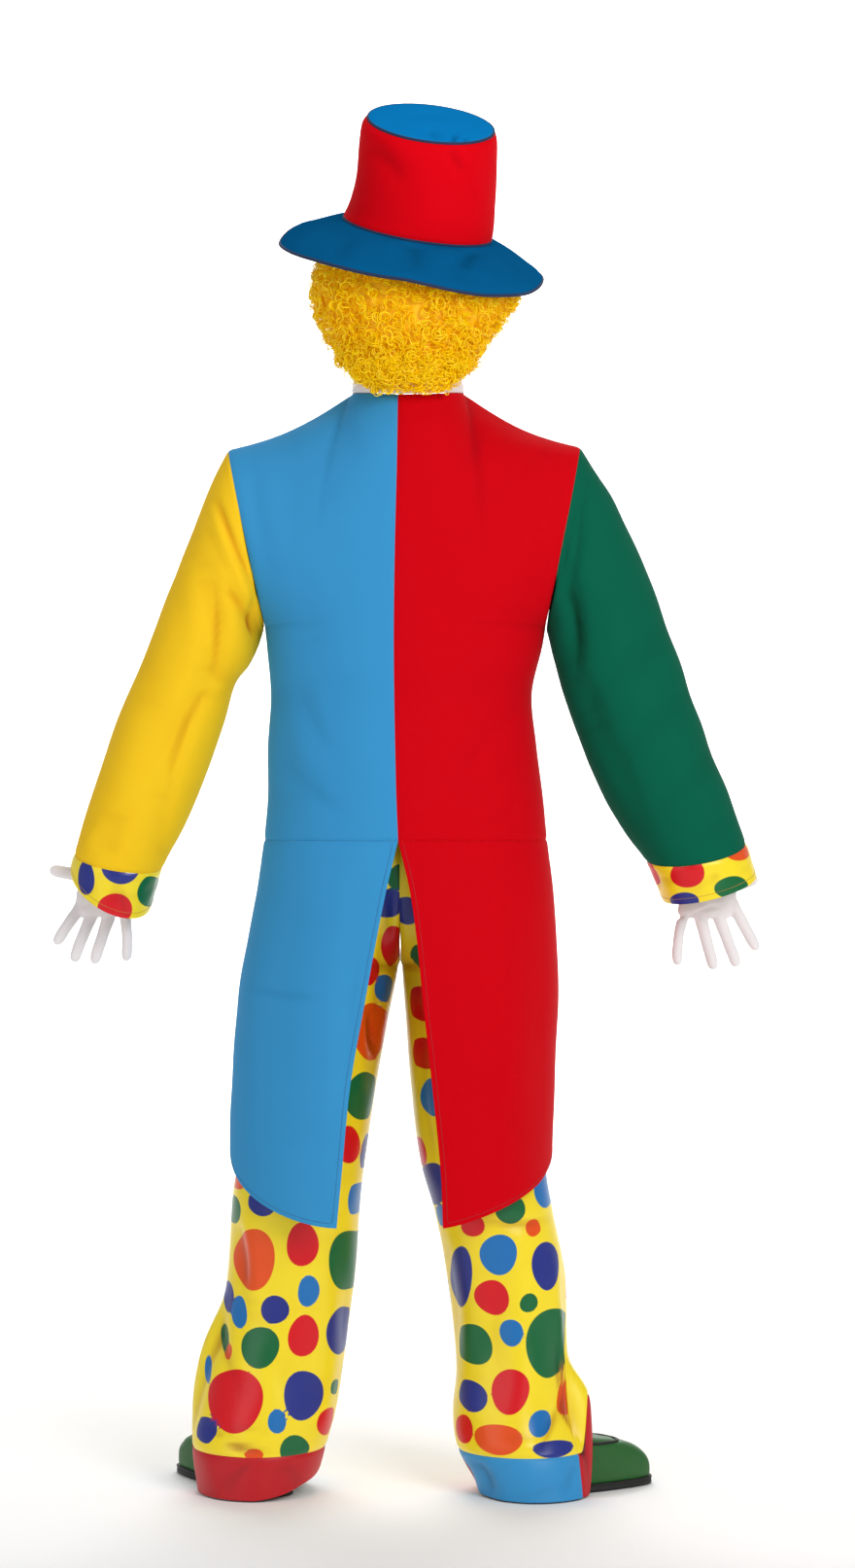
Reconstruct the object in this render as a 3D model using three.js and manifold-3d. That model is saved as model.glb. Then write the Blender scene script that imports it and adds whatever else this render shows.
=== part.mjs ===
// A worn clown costume, empty: hat, curly wig, stand collar, two-colour tailcoat, dotted trousers,
// gloves and shoes. Millimetres, +Z up, and the wearer would face +Y, so the back faces -Y.
// Left and right are the wearer's. Heights in the tables are above the floor under the soles;
// at the end the whole group moves so that the origin is the middle of the neck opening.

import * as THREE from 'three';
import { mergeVertices } from 'three/addons/utils/BufferGeometryUtils.js';
import Module from 'manifold-3d';

const wasm = await Module();
wasm.setup();

// Driving dimensions
const COAT_CLOTH = 2;
const TROUSER_CLOTH = 1.6;
const COLLAR_CLOTH = 2;
const HAT_CLOTH = 3;
const GLOVE_CLOTH = 1.5;
const UPPER_CLOTH = 3;
const SEAM_GAP = 0.3;
const NECK_X = 11;
const NECK_Z = 1500;
const WAIST_Z = 898;
const ARMPIT_Z = 1193;
const COLLAR_HEIGHT = 34;
const HEM_BAND = 60;
const HEM_LIFT = { left: 68, right: 74 };
const SOLE_HEIGHT = 11;
const WELD = 0.2;
const BUTTON_RADIUS = 15;
const BUTTON_HEIGHT = 5;
const BUTTON_SPAN = 0.025;

// Coat body by height: the two outlines seen from behind, and the depth at back and front
const BODY = [
  { z: 898, left: -190, right: 205, back: -138, front: 128 },
  { z: 960, left: -185, right: 199, back: -134, front: 126 },
  { z: 1030, left: -185, right: 190, back: -128, front: 124 },
  { z: 1100, left: -181, right: 184, back: -122, front: 126 },
  { z: 1167, left: -186, right: 199, back: -120, front: 130 },
  { z: 1193, left: -189, right: 203, back: -120, front: 131 },
  { z: 1300, left: -200, right: 214, back: -118, front: 128 },
  { z: 1400, left: -220, right: 232, back: -108, front: 108 },
  { z: 1455, left: -230, right: 244, back: -96, front: 84 },
  { z: 1512, left: -240, right: 251, back: -72, front: 70 },
];

// The centre-back seam wanders a little
const CENTRE_BACK = [
  { z: 898, x: -2 },
  { z: 975, x: -5 },
  { z: 1150, x: -8 },
  { z: 1280, x: -7 },
  { z: 1420, x: -4 },
  { z: 1512, x: -3 },
];
const CENTRE_FRONT_X = 7;

// Neckline: an oval, lower at the front
const NECK = { x: 11, y: 6, across: 79, deep: 78, backZ: 1512, sideZ: 1520, frontZ: 1455 };

// Sleeves by section: the outer and inner points seen from behind, half the depth, the middle's
// place in depth and how far the near side hangs below the far side. The first is the armhole.
const SLEEVE = {
  left: [
    { step: 0, outX: -240, outZ: 1441, inX: -189, inZ: 1193, deep: 75, y: 0, drop: 0 },
    { step: 1, outX: -263, outZ: 1394, inX: -193, inZ: 1180, deep: 78, y: 0, drop: 0 },
    { step: 2, outX: -289, outZ: 1330, inX: -199, inZ: 1163, deep: 78, y: 0, drop: 2 },
    { step: 3, outX: -316, outZ: 1262, inX: -211, inZ: 1140, deep: 74, y: 2, drop: 4 },
    { step: 4, outX: -343, outZ: 1194, inX: -231, inZ: 1113, deep: 70, y: 6, drop: 6 },
    { step: 5, outX: -376, outZ: 1113, inX: -247, inZ: 1058, deep: 67, y: 12, drop: 8 },
    { step: 6, outX: -407, outZ: 1031, inX: -277, inZ: 977, deep: 66, y: 20, drop: 10 },
    { step: 7, outX: -436, outZ: 950, inX: -304, inZ: 914, deep: 65, y: 30, drop: 12 },
    { step: 8, outX: -459, outZ: 877, inX: -335, inZ: 856, deep: 62, y: 38, drop: 13 },
    { step: 9, outX: -464, outZ: 857, inX: -351, inZ: 806, deep: 60, y: 43, drop: 36 },
  ],
  right: [
    { step: 0, outX: 251, outZ: 1445, inX: 203, inZ: 1193, deep: 75, y: 0, drop: 0 },
    { step: 1, outX: 278, outZ: 1400, inX: 207, inZ: 1180, deep: 78, y: 0, drop: 0 },
    { step: 2, outX: 304, outZ: 1357, inX: 211, inZ: 1163, deep: 78, y: 0, drop: 2 },
    { step: 3, outX: 343, outZ: 1276, inX: 217, inZ: 1138, deep: 74, y: 2, drop: 4 },
    { step: 4, outX: 373, outZ: 1194, inX: 226, inZ: 1100, deep: 72, y: 6, drop: 6 },
    { step: 5, outX: 403, outZ: 1113, inX: 246, inZ: 1045, deep: 69, y: 12, drop: 8 },
    { step: 6, outX: 432, outZ: 1031, inX: 277, inZ: 974, deep: 68, y: 20, drop: 10 },
    { step: 7, outX: 462, outZ: 957, inX: 310, inZ: 916, deep: 66, y: 30, drop: 13 },
    { step: 8, outX: 486, outZ: 892, inX: 345, inZ: 868, deep: 64, y: 38, drop: 17 },
    { step: 9, outX: 501, outZ: 846, inX: 369, inZ: 813, deep: 62, y: 43, drop: 15 },
  ],
};
const CUFF_STEP = 8;

// Tails by height: the vent edge, the outline at the side, and the depth at back and front
const TAIL = {
  left: [
    { z: 374, vent: -85, side: -238, back: -158, front: 120 },
    { z: 448, vent: -78, side: -238, back: -160, front: 124 },
    { z: 570, vent: -66, side: -235, back: -162, front: 128 },
    { z: 678, vent: -47, side: -226, back: -162, front: 130 },
    { z: 760, vent: -32, side: -213, back: -158, front: 130 },
    { z: 830, vent: -18, side: -200, back: -150, front: 129 },
    { z: 898, vent: -2, side: -190, back: -138, front: 128 },
  ],
  right: [
    { z: 374, vent: 59, side: 212, back: -158, front: 120 },
    { z: 448, vent: 56, side: 213, back: -160, front: 124 },
    { z: 570, vent: 44, side: 217, back: -162, front: 128 },
    { z: 678, vent: 32, side: 221, back: -162, front: 130 },
    { z: 760, vent: 24, side: 219, back: -158, front: 130 },
    { z: 830, vent: 14, side: 213, back: -150, front: 129 },
    { z: 898, vent: -2, side: 205, back: -138, front: 128 },
  ],
};
const TAIL_WRAP_TOP = 170;
const TAIL_WRAP_HEM = 97;
const TAIL_HEM = { z: 374, left: { rise: 108, bend: 1.66 }, right: { rise: 100, bend: 1.3 } };

// Trouser legs by height: outer and inner outline, the depth at back and front, and how far the
// side seam lies round to the back, in degrees
const LEG = {
  left: [
    { z: 0, out: -280, inner: -120, back: -140, front: 50, seam: 0 },
    { z: 62, out: -288, inner: -102, back: -134, front: 56, seam: 0 },
    { z: 108, out: -282, inner: -89, back: -125, front: 58, seam: 0 },
    { z: 163, out: -269, inner: -80, back: -114, front: 62, seam: 0 },
    { z: 244, out: -246, inner: -69, back: -104, front: 68, seam: 0 },
    { z: 298, out: -240, inner: -62, back: -102, front: 72, seam: 0 },
    { z: 407, out: -233, inner: -54, back: -102, front: 74, seam: 0 },
    { z: 470, out: -222, inner: -46, back: -103, front: 76, seam: 0 },
    { z: 550, out: -210, inner: -34, back: -106, front: 82, seam: 0 },
    { z: 640, out: -197, inner: -18, back: -112, front: 90, seam: 0 },
    { z: 726, out: -188, inner: -2, back: -122, front: 100, seam: 0 },
    { z: 790, out: -184, inner: 0, back: -130, front: 106, seam: 0 },
    { z: 860, out: -176, inner: 0, back: -124, front: 108, seam: 0 },
    { z: 945, out: -158, inner: 0, back: -104, front: 104, seam: 0 },
  ],
  right: [
    { z: 0, out: 266, inner: 108, back: -152, front: 20, seam: 36 },
    { z: 62, out: 260, inner: 79, back: -143, front: 34, seam: 33 },
    { z: 108, out: 236, inner: 73, back: -128, front: 46, seam: 24 },
    { z: 163, out: 231, inner: 78, back: -114, front: 58, seam: 14 },
    { z: 217, out: 231, inner: 74, back: -106, front: 66, seam: 6 },
    { z: 298, out: 229, inner: 64, back: -102, front: 70, seam: 0 },
    { z: 380, out: 213, inner: 48, back: -102, front: 73, seam: 0 },
    { z: 450, out: 202, inner: 28, back: -103, front: 76, seam: 0 },
    { z: 550, out: 204, inner: 15, back: -106, front: 82, seam: 0 },
    { z: 640, out: 204, inner: 8, back: -112, front: 90, seam: 0 },
    { z: 726, out: 198, inner: 2, back: -122, front: 100, seam: 0 },
    { z: 790, out: 192, inner: 0, back: -130, front: 106, seam: 0 },
    { z: 860, out: 180, inner: 0, back: -124, front: 108, seam: 0 },
    { z: 945, out: 160, inner: 0, back: -104, front: 104, seam: 0 },
  ],
};
const TROUSER_WAIST_Z = 945;
const WAISTBAND_HEIGHT = 38;
const SEAT_TOP_Z = 850;
const CROTCH_Z = 726;

// The seat and fly seam by height
const RISE = [
  { z: 726, back: 0, front: 0 },
  { z: 750, back: -72, front: 58 },
  { z: 790, back: -112, front: 94 },
  { z: 860, back: -122, front: 107 },
  { z: 945, back: -104, front: 104 },
];

// Hat sections from the brim seam up: the middle, half the width and depth, and the lean back and
// to the side in degrees
const CROWN = [
  { step: 0, x: 24, y: 15, z: 1753, wide: 106, deep: 110, lean: 18, roll: 9.8 },
  { step: 0.35, x: 31, y: 6, z: 1777, wide: 101.5, deep: 106.5, lean: 19.4, roll: 9.4 },
  { step: 0.8, x: 35.5, y: -6, z: 1808, wide: 97.5, deep: 102.5, lean: 21.2, roll: 8.9 },
  { step: 1.5, x: 39, y: -25, z: 1856, wide: 96, deep: 98.5, lean: 24, roll: 8.2 },
  { step: 1.85, x: 41, y: -34, z: 1880, wide: 94, deep: 96, lean: 25.4, roll: 7.8 },
  { step: 2, x: 43, y: -38, z: 1890, wide: 89, deep: 92, lean: 26, roll: 7.6 },
];
const CROWN_ROWS = 5;
const TOP_DOME = 5;

// Brim edge by the angle round the head from the back: how far out and how far down
const BRIM = [
  { angle: 0, out: 82, down: 38 },
  { angle: 45, out: 86, down: 47 },
  { angle: 90, out: 76, down: 36 },
  { angle: 135, out: 76, down: 28 },
  { angle: 180, out: 82, down: 36 },
  { angle: 225, out: 82, down: 28 },
  { angle: 270, out: 82, down: 48 },
  { angle: 315, out: 84, down: 42 },
  { angle: 360, out: 82, down: 38 },
];

// Wig sections: middle, half width, the depth at back and front, and how far the hair reaches round
// each side, in degrees from the back. Low down it hangs behind the collar alone.
const WIG = [
  { z: 1518, x: 12, wide: 92, back: -94.4, front: 60, open: 36 },
  { z: 1545, x: 12, wide: 96, back: -116, front: 70, open: 60 },
  { z: 1575, x: 10, wide: 100, back: -124, front: 84, open: 108 },
  { z: 1613, x: 14, wide: 126, back: -130, front: 100, open: 128 },
  { z: 1650, x: 20, wide: 142, back: -130, front: 106, open: 130 },
  { z: 1690, x: 22, wide: 140, back: -118, front: 108, open: 140 },
  { z: 1722, x: 22, wide: 112, back: -98, front: 108, open: 172 },
  { z: 1760, x: 22, wide: 92, back: -92, front: 104, open: 176 },
  { z: 1800, x: 26, wide: 76, back: -84, front: 82, open: 176 },
  { z: 1826, x: 28, wide: 46, back: -64, front: 42, open: 176 },
];
const WIG_DEPTH = 22;
const CURL_GAP = 1.5;

// Gloves: the middle line of each finger, from knuckle to tip, with its radius
const HAND = {
  left: {
    wrist: [-428.4, 42, 880], palm: [-418, 50, 838], knuckles: [-419, 55, 797],
    fingers: [
      { name: 'thumb', base: [-432, 54, 842], mid: [-474, 64, 850], tip: [-497, 62, 853], radius: 9 },
      { name: 'index', base: [-449, 56, 806], mid: [-474, 56, 770], tip: [-487, 52, 748], radius: 8 },
      { name: 'middle', base: [-434, 55, 794], mid: [-452, 55, 752], tip: [-461, 50, 724], radius: 8 },
      { name: 'ring', base: [-412, 55, 787], mid: [-424, 55, 751], tip: [-433, 50, 721], radius: 8 },
      { name: 'little', base: [-389, 54, 788], mid: [-386, 55, 752], tip: [-388, 51, 725], radius: 7.5 },
    ],
  },
  right: {
    wrist: [456.3, 42, 884], palm: [438, 50, 838], knuckles: [431, 55, 795],
    fingers: [
      { name: 'thumb', base: [451, 57, 825], mid: [487, 64, 836], tip: [506, 64, 842], radius: 9 },
      { name: 'index', base: [467, 56, 808], mid: [491, 56, 764], tip: [503, 52, 740], radius: 8 },
      { name: 'middle', base: [448, 55, 791], mid: [464, 55, 748], tip: [475, 50, 717], radius: 8 },
      { name: 'ring', base: [424, 55, 786], mid: [435, 55, 742], tip: [443, 50, 713], radius: 8 },
      { name: 'little', base: [398, 55, 785], mid: [391, 54, 746], tip: [392, 51, 719], radius: 7.5 },
    ],
  },
};
const PALM = { wristWide: 27, wristDeep: 21, midWide: 36, midDeep: 17, wide: 41, deep: 13 };

// Shoes: the middles of the heel's and the toe's round ends on the floor
const SHOE = {
  left: { heel: [-181, -72], toe: [-270, 70] },
  right: { heel: [172, -80], toe: [301, 2] },
};
const SHOE_HEEL_RADIUS = 33;
const SHOE_TOE_RADIUS = 47;
const SHOE_THROAT = { back: 4, length: 92, wide: 27, heelZ: 84, frontZ: 72 };

const COLOURS = {
  blue: '#3a97cf', red: '#c80414', yellow: '#fbcb2e', green: '#0c5e48', satin: '#fadc30',
  hatBlue: '#0f78c0', hatRed: '#d90012', white: '#ece8e8', curls: '#f2c010', bandRed: '#b80416',
  bandBlue: '#2a8cc8', shoe: '#1f6420', sole: '#15130f', button: '#f7c51c',
};

// A table read between its rows: every column as a smooth curve through the rows' values
function lookUp(rows, key, at) {
  const last = rows.length - 1;
  const value = Math.min(Math.max(at, rows[0][key]), rows[last][key]);
  let k = 0;
  while (k < last - 1 && value > rows[k + 1][key]) k += 1;
  const span = rows[k + 1][key] - rows[k][key];
  const t = (value - rows[k][key]) / span;
  const slope = (name, i) => {
    const a = rows[Math.max(i - 1, 0)];
    const b = rows[Math.min(i + 1, last)];
    return (b[name] - a[name]) / (b[key] - a[key]);
  };
  const result = {};
  for (const name of Object.keys(rows[0])) {
    const a = rows[k][name];
    const b = rows[k + 1][name];
    const [ma, mb] = [slope(name, k) * span, slope(name, k + 1) * span];
    const [t2, t3] = [t * t, t * t * t];
    const values = (2 * t3 - 3 * t2 + 1) * a + (3 * t2 - 2 * t3) * b;
    result[name] = values + (t3 - 2 * t2 + t) * ma + (t3 - t2) * mb;
  }
  return result;
}

const V = (x, y, z) => new THREE.Vector3(x, y, z);
const radians = (degrees) => degrees * Math.PI / 180;
const mix = (a, b, t) => a + (b - a) * t;
const ease = (from, to, at) => {
  const t = Math.min(Math.max((at - from) / (to - from), 0), 1);
  return t * t * (3 - 2 * t);
};

// A closed mesh from points and triangles, turned so that its faces point out
function closedGeometry(points, triangles) {
  let volume = 0;
  for (const [a, b, c] of triangles) {
    volume += points[a].dot(points[b].clone().cross(points[c]));
  }
  const position = [];
  for (const [a, b, c] of triangles) {
    const order = volume > 0 ? [a, b, c] : [a, c, b];
    for (const i of order) position.push(points[i].x, points[i].y, points[i].z);
  }
  const geometry = new THREE.BufferGeometry();
  geometry.setAttribute('position', new THREE.Float32BufferAttribute(position, 3));
  return geometry;
}

// A wall of cloth. `point(u, v)` is its outer face, with u across and v along, both 0 to 1.
// `inside(u, v)` is a point on the hollow's side. `edge(u, v, side)` may give the direction in
// which the cloth's cut edge runs from the outer to the inner face, so that two pieces meet flush;
// side is 'start' or 'end' for u = 0 or 1, and 'first' or 'last' for v = 0 or 1.
// `square` measures the seam's gap at right angles to a slanted edge, not along the cloth's rows.
function clothWall({ across, along, point, inside, thickness, edge, round = false, square = false }) {
  const columns = round ? across : across + 1;
  const grid = [];
  for (let j = 0; j <= along; j += 1) {
    const row = [];
    for (let i = 0; i < columns; i += 1) row.push(point(i / across, j / along));
    grid.push(row);
  }
  const at = (i, j) => {
    const column = round ? (i + columns) % columns : Math.min(Math.max(i, 0), columns - 1);
    return grid[Math.min(Math.max(j, 0), along)][column];
  };
  const inward = (i, j) => {
    const [u, v] = [i / across, j / along];
    let side = null;
    if (j === 0) side = 'first';
    if (j === along) side = 'last';
    if (!round && i === 0) side = 'start';
    if (!round && i === columns - 1) side = 'end';
    const given = side && edge ? edge(u, v, side) : null;
    if (given) return given.normalize();
    const du = at(i + 1, j).clone().sub(at(i - 1, j));
    const dv = at(i, j + 1).clone().sub(at(i, j - 1));
    const normal = du.cross(dv).normalize();
    const toward = inside(u, v).clone().sub(at(i, j));
    return normal.dot(toward) < 0 ? normal.negate() : normal;
  };
  const outer = [];
  const inner = [];
  for (let j = 0; j <= along; j += 1) {
    for (let i = 0; i < columns; i += 1) {
      const p = at(i, j).clone();
      const step = V(0, 0, 0);
      const shift = (q, edgeWay) => {
        const way = q.clone().sub(at(i, j));
        if (square) way.addScaledVector(edgeWay, -way.dot(edgeWay) / edgeWay.lengthSq());
        step.add(way.setLength(SEAM_GAP / 2));
      };
      const rowWay = at(i + 1, j).clone().sub(at(i - 1, j));
      const columnWay = at(i, j + 1).clone().sub(at(i, j - 1));
      if (j === 0) shift(at(i, 1), rowWay);
      if (j === along) shift(at(i, along - 1), rowWay);
      if (!round && i === 0) shift(at(1, j), columnWay);
      if (!round && i === columns - 1) shift(at(columns - 2, j), columnWay);
      p.add(step);
      outer.push(p);
      inner.push(p.clone().addScaledVector(inward(i, j), thickness));
    }
  }
  const count = outer.length;
  const triangles = [];
  const quad = (a, b, c, d) => triangles.push([a, b, c], [a, c, d]);
  const id = (i, j) => j * columns + (round ? i % columns : i);
  for (let j = 0; j < along; j += 1) {
    for (let i = 0; i < across; i += 1) {
      quad(id(i, j), id(i + 1, j), id(i + 1, j + 1), id(i, j + 1));
      quad(count + id(i, j), count + id(i, j + 1), count + id(i + 1, j + 1), count + id(i + 1, j));
    }
  }
  for (let i = 0; i < across; i += 1) {
    quad(id(i, 0), count + id(i, 0), count + id(i + 1, 0), id(i + 1, 0));
    quad(id(i + 1, along), count + id(i + 1, along), count + id(i, along), id(i, along));
  }
  if (!round) {
    for (let j = 0; j < along; j += 1) {
      quad(id(0, j + 1), count + id(0, j + 1), count + id(0, j), id(0, j));
      quad(id(across, j), count + id(across, j), count + id(across, j + 1), id(across, j + 1));
    }
  }
  return closedGeometry([...outer, ...inner], triangles);
}

// A closed solid through rings of equal count, with a fan on each end, or with its last ring joined
// to its first where it is a hollow ring itself
function loft(rings, joined = false) {
  const count = rings[0].length;
  const points = rings.flat();
  const triangles = [];
  const bands = joined ? rings.length : rings.length - 1;
  for (let j = 0; j < bands; j += 1) {
    const above = ((j + 1) % rings.length) * count;
    for (let i = 0; i < count; i += 1) {
      const next = (i + 1) % count;
      triangles.push([j * count + i, j * count + next, above + next]);
      triangles.push([j * count + i, above + next, above + i]);
    }
  }
  if (joined) return closedGeometry(points, triangles);
  const middle = (ring) => ring.reduce((sum, p) => sum.add(p), V(0, 0, 0)).divideScalar(count);
  const first = points.push(middle(rings[0])) - 1;
  const last = points.push(middle(rings[rings.length - 1])) - 1;
  const top = (rings.length - 1) * count;
  for (let i = 0; i < count; i += 1) {
    const next = (i + 1) % count;
    triangles.push([first, next, i], [last, top + i, top + next]);
  }
  return closedGeometry(points, triangles);
}

function toManifold(geometry) {
  const merged = mergeVertices(geometry, 1e-4);
  const mesh = new wasm.Mesh({
    numProp: 3,
    vertProperties: new Float32Array(merged.attributes.position.array),
    triVerts: new Uint32Array(merged.index.array),
  });
  return new wasm.Manifold(mesh);
}

function fromManifold(solid) {
  const mesh = solid.getMesh();
  const geometry = new THREE.BufferGeometry();
  geometry.setAttribute('position', new THREE.Float32BufferAttribute(mesh.vertProperties, 3));
  geometry.setIndex(Array.from(mesh.triVerts));
  return geometry;
}

const costume = new THREE.Group();
const fitted = new THREE.Group();
fitted.position.set(-NECK_X, 0, -NECK_Z);
costume.add(fitted);

function addPiece(name, geometry, colour, roughness = 0.85) {
  const material = new THREE.MeshStandardMaterial({ color: colour, roughness, metalness: 0 });
  const mesh = new THREE.Mesh(geometry, material);
  mesh.name = name;
  fitted.add(mesh);
}

// The neckline at an angle round the neck, measured from the back towards +X
function neckPoint(angle) {
  const turn = Math.abs(angle);
  const z = turn < 90
    ? mix(NECK.backZ, NECK.sideZ, ease(0, 90, turn))
    : mix(NECK.sideZ, NECK.frontZ, ease(90, 180, turn));
  const a = radians(angle);
  return V(NECK.x + NECK.across * Math.sin(a), NECK.y - NECK.deep * Math.cos(a), z);
}
const neckInward = (angle) => V(-Math.sin(radians(angle)), Math.cos(radians(angle)), 0);

// A sleeve section: an oval from the outer point (0 degrees) over the back (90) to the inner (180)
function sleevePoint(side, step, angle) {
  const row = lookUp(SLEEVE[side], 'step', step);
  const a = radians(angle);
  const middle = V((row.outX + row.inX) / 2, row.y, (row.outZ + row.inZ) / 2);
  const reach = V((row.outX - row.inX) / 2, 0, (row.outZ - row.inZ) / 2);
  return middle.addScaledVector(reach, Math.cos(a))
    .add(V(0, -row.deep * Math.sin(a), -row.drop * Math.sin(a)));
}
function sleeveMiddle(side, step) {
  const row = lookUp(SLEEVE[side], 'step', step);
  return V((row.outX + row.inX) / 2, row.y, (row.outZ + row.inZ) / 2);
}
function armholeInward(side, angle) {
  const towardBody = side === 'left' ? 1 : -1;
  const share = 0.1 + 0.9 * ((1 - Math.cos(radians(angle))) / 2) ** 3;
  const radial = sleeveMiddle(side, 0).sub(sleevePoint(side, 0, angle)).normalize();
  return radial.add(V(towardBody * share, 0, 0));
}

// Coat bodice panel. u runs from the centre seam to the side, v from the waist to the shoulder.
const BODICE_COLUMNS = 9;
const NECK_COLUMNS = 4;
const SIDE_ROWS = 5;
const ARM_ROWS = 8;
const BODICE_ROWS = SIDE_ROWS + ARM_ROWS;

const NECK_SHARE = NECK_COLUMNS / BODICE_COLUMNS;
const SHOULDER_SAG = 11;

// The angle on the neckline where a seam at a given x meets it, from the back
const seamAngle = (x) => THREE.MathUtils.radToDeg(Math.asin((x - NECK.x) / NECK.across));
const backOffset = seamAngle(lookUp(CENTRE_BACK, 'z', NECK.backZ).x);
const frontOffset = seamAngle(CENTRE_FRONT_X);

function neckAngle(side, face, u) {
  const sign = side === 'left' ? -1 : 1;
  const from = face === 'back' ? backOffset : sign * 180 - frontOffset;
  return mix(from, sign * 90, u / NECK_SHARE);
}

function shoulderLine(side, face, u) {
  if (u <= NECK_SHARE) return neckPoint(neckAngle(side, face, u));
  const start = neckPoint(side === 'left' ? -90 : 90);
  const t = (u - NECK_SHARE) / (1 - NECK_SHARE);
  const point = start.lerp(sleevePoint(side, 0, 0), t);
  point.z -= SHOULDER_SAG * Math.sin(Math.PI * t);
  return point;
}

function bodicePoint(side, face, u, v) {
  const row = v * BODICE_ROWS;
  const topZ = face === 'back' ? NECK.backZ : NECK.frontZ;
  const inArm = Math.max(row - SIDE_ROWS, 0) / ARM_ROWS;
  const centreZ = row <= SIDE_ROWS
    ? mix(WAIST_Z, ARMPIT_Z, row / SIDE_ROWS)
    : mix(ARMPIT_Z, topZ, inArm);
  const body = lookUp(BODY, 'z', centreZ);
  const seamX = face === 'back' ? lookUp(CENTRE_BACK, 'z', centreZ).x : CENTRE_FRONT_X;
  const centre = V(seamX, face === 'back' ? body.back : body.front, centreZ);
  let edge = V(side === 'left' ? body.left : body.right, 0, centreZ);
  if (row > SIDE_ROWS) {
    const angle = 180 * (1 - inArm);
    edge = sleevePoint(side, 0, face === 'back' ? angle : 360 - angle);
  }
  const roundness = (1 - inArm) ** 1.5;
  const quarter = u * Math.PI / 2;
  const x = roundness * Math.sin(quarter) + (1 - roundness) * u;
  const y = roundness * (1 - Math.cos(quarter)) + (1 - roundness) * u ** 2.2;
  const point = V(mix(centre.x, edge.x, x), mix(centre.y, edge.y, y), mix(centre.z, edge.z, u ** 1.5));
  if (inArm >= 1) return shoulderLine(side, face, u);
  const correction = shoulderLine(side, face, u).sub(bodiceTop(side, face, u));
  return point.addScaledVector(correction, inArm ** 3);
}

// Where the panel's top row would lie without its neckline and shoulder
function bodiceTop(side, face, u) {
  const topZ = face === 'back' ? NECK.backZ : NECK.frontZ;
  const body = lookUp(BODY, 'z', topZ);
  const seamX = face === 'back' ? lookUp(CENTRE_BACK, 'z', topZ).x : CENTRE_FRONT_X;
  const edge = sleevePoint(side, 0, 0);
  const depth = face === 'back' ? body.back : body.front;
  return V(mix(seamX, edge.x, u), mix(depth, edge.y, u ** 2.2), mix(topZ, edge.z, u ** 1.5));
}

// Both the bodice and the tails use this for the waist seam's cut edge: inward of the waist's oval
const WAIST_OVAL = { x: 7, y: -5, wide: 195, deep: 132 };
function waistInward(point) {
  const { x, y, wide, deep } = WAIST_OVAL;
  return V(-(point.x - x) / wide ** 2, -(point.y - y) / deep ** 2, 0);
}

function bodiceEdge(side, face, u, v, where) {
  if (where === 'start') return V(0, face === 'back' ? 1 : -1, 0);
  if (where === 'end') {
    const row = v * BODICE_ROWS;
    if (row < SIDE_ROWS - 0.5) return V(side === 'left' ? 1 : -1, 0, 0);
    const angle = 180 * (1 - Math.max(row - SIDE_ROWS, 0) / ARM_ROWS);
    return armholeInward(side, face === 'back' ? angle : 360 - angle);
  }
  if (where === 'first') return waistInward(bodicePoint(side, face, u, 0));
  if (u < NECK_SHARE - 0.01) return neckInward(neckAngle(side, face, u));
  if (u < NECK_SHARE + 0.01) return neckInward(neckAngle(side, face, u)).add(V(0, 0, -1));
  return V(0, 0, -1);
}

for (const face of ['back', 'front']) {
  for (const side of ['left', 'right']) {
    const geometry = clothWall({
      across: BODICE_COLUMNS,
      along: BODICE_ROWS,
      point: (u, v) => bodicePoint(side, face, u, v),
      inside: (u, v) => V(mix(0, side === 'left' ? -120 : 130, u), 0, mix(WAIST_Z, 1400, v)),
      edge: (u, v, where) => bodiceEdge(side, face, u, v, where),
      thickness: COAT_CLOTH,
    });
    addPiece(`coat_${face}_${side}`, geometry, side === 'left' ? COLOURS.blue : COLOURS.red);
  }
}

// Tails. u turns round the hip from the vent, v runs from the waist seam to the hem, and the front
// edge sweeps from near the centre front at the waist to the side at the hem.
function tailPoint(side, u, v) {
  const wrap = mix(TAIL_WRAP_TOP, TAIL_WRAP_HEM, Math.sin(v * Math.PI / 2));
  const turn = u * wrap;
  const { rise, bend } = TAIL_HEM[side];
  const hemZ = TAIL_HEM.z + rise * Math.min(turn / TAIL_WRAP_HEM, 1) ** bend;
  const z = mix(WAIST_Z, hemZ, v);
  const row = lookUp(TAIL[side], 'z', z);
  const a = radians(turn);
  if (turn <= 90) return V(mix(row.vent, row.side, Math.sin(a)), row.back * Math.cos(a), z);
  return V(mix(CENTRE_FRONT_X, row.side, Math.sin(a)), -row.front * Math.cos(a), z);
}

const TAIL_COLUMNS = 17;
const TAIL_ROWS = 8;
for (const side of ['left', 'right']) {
  const geometry = clothWall({
    across: TAIL_COLUMNS,
    along: TAIL_ROWS,
    point: (u, v) => tailPoint(side, u, v),
    inside: (u, v) => V(mix(0, side === 'left' ? -120 : 120, u), 0, mix(WAIST_Z, TAIL_HEM.z, v)),
    edge: (u, v, where) => {
      if (v === 0 && where !== 'start') return waistInward(tailPoint(side, u, 0));
      return where === 'start' ? V(0, 1, 0) : null;
    },
    thickness: COAT_CLOTH,
  });
  addPiece(`tail_${side}`, geometry, side === 'left' ? COLOURS.blue : COLOURS.red);
}

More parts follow.
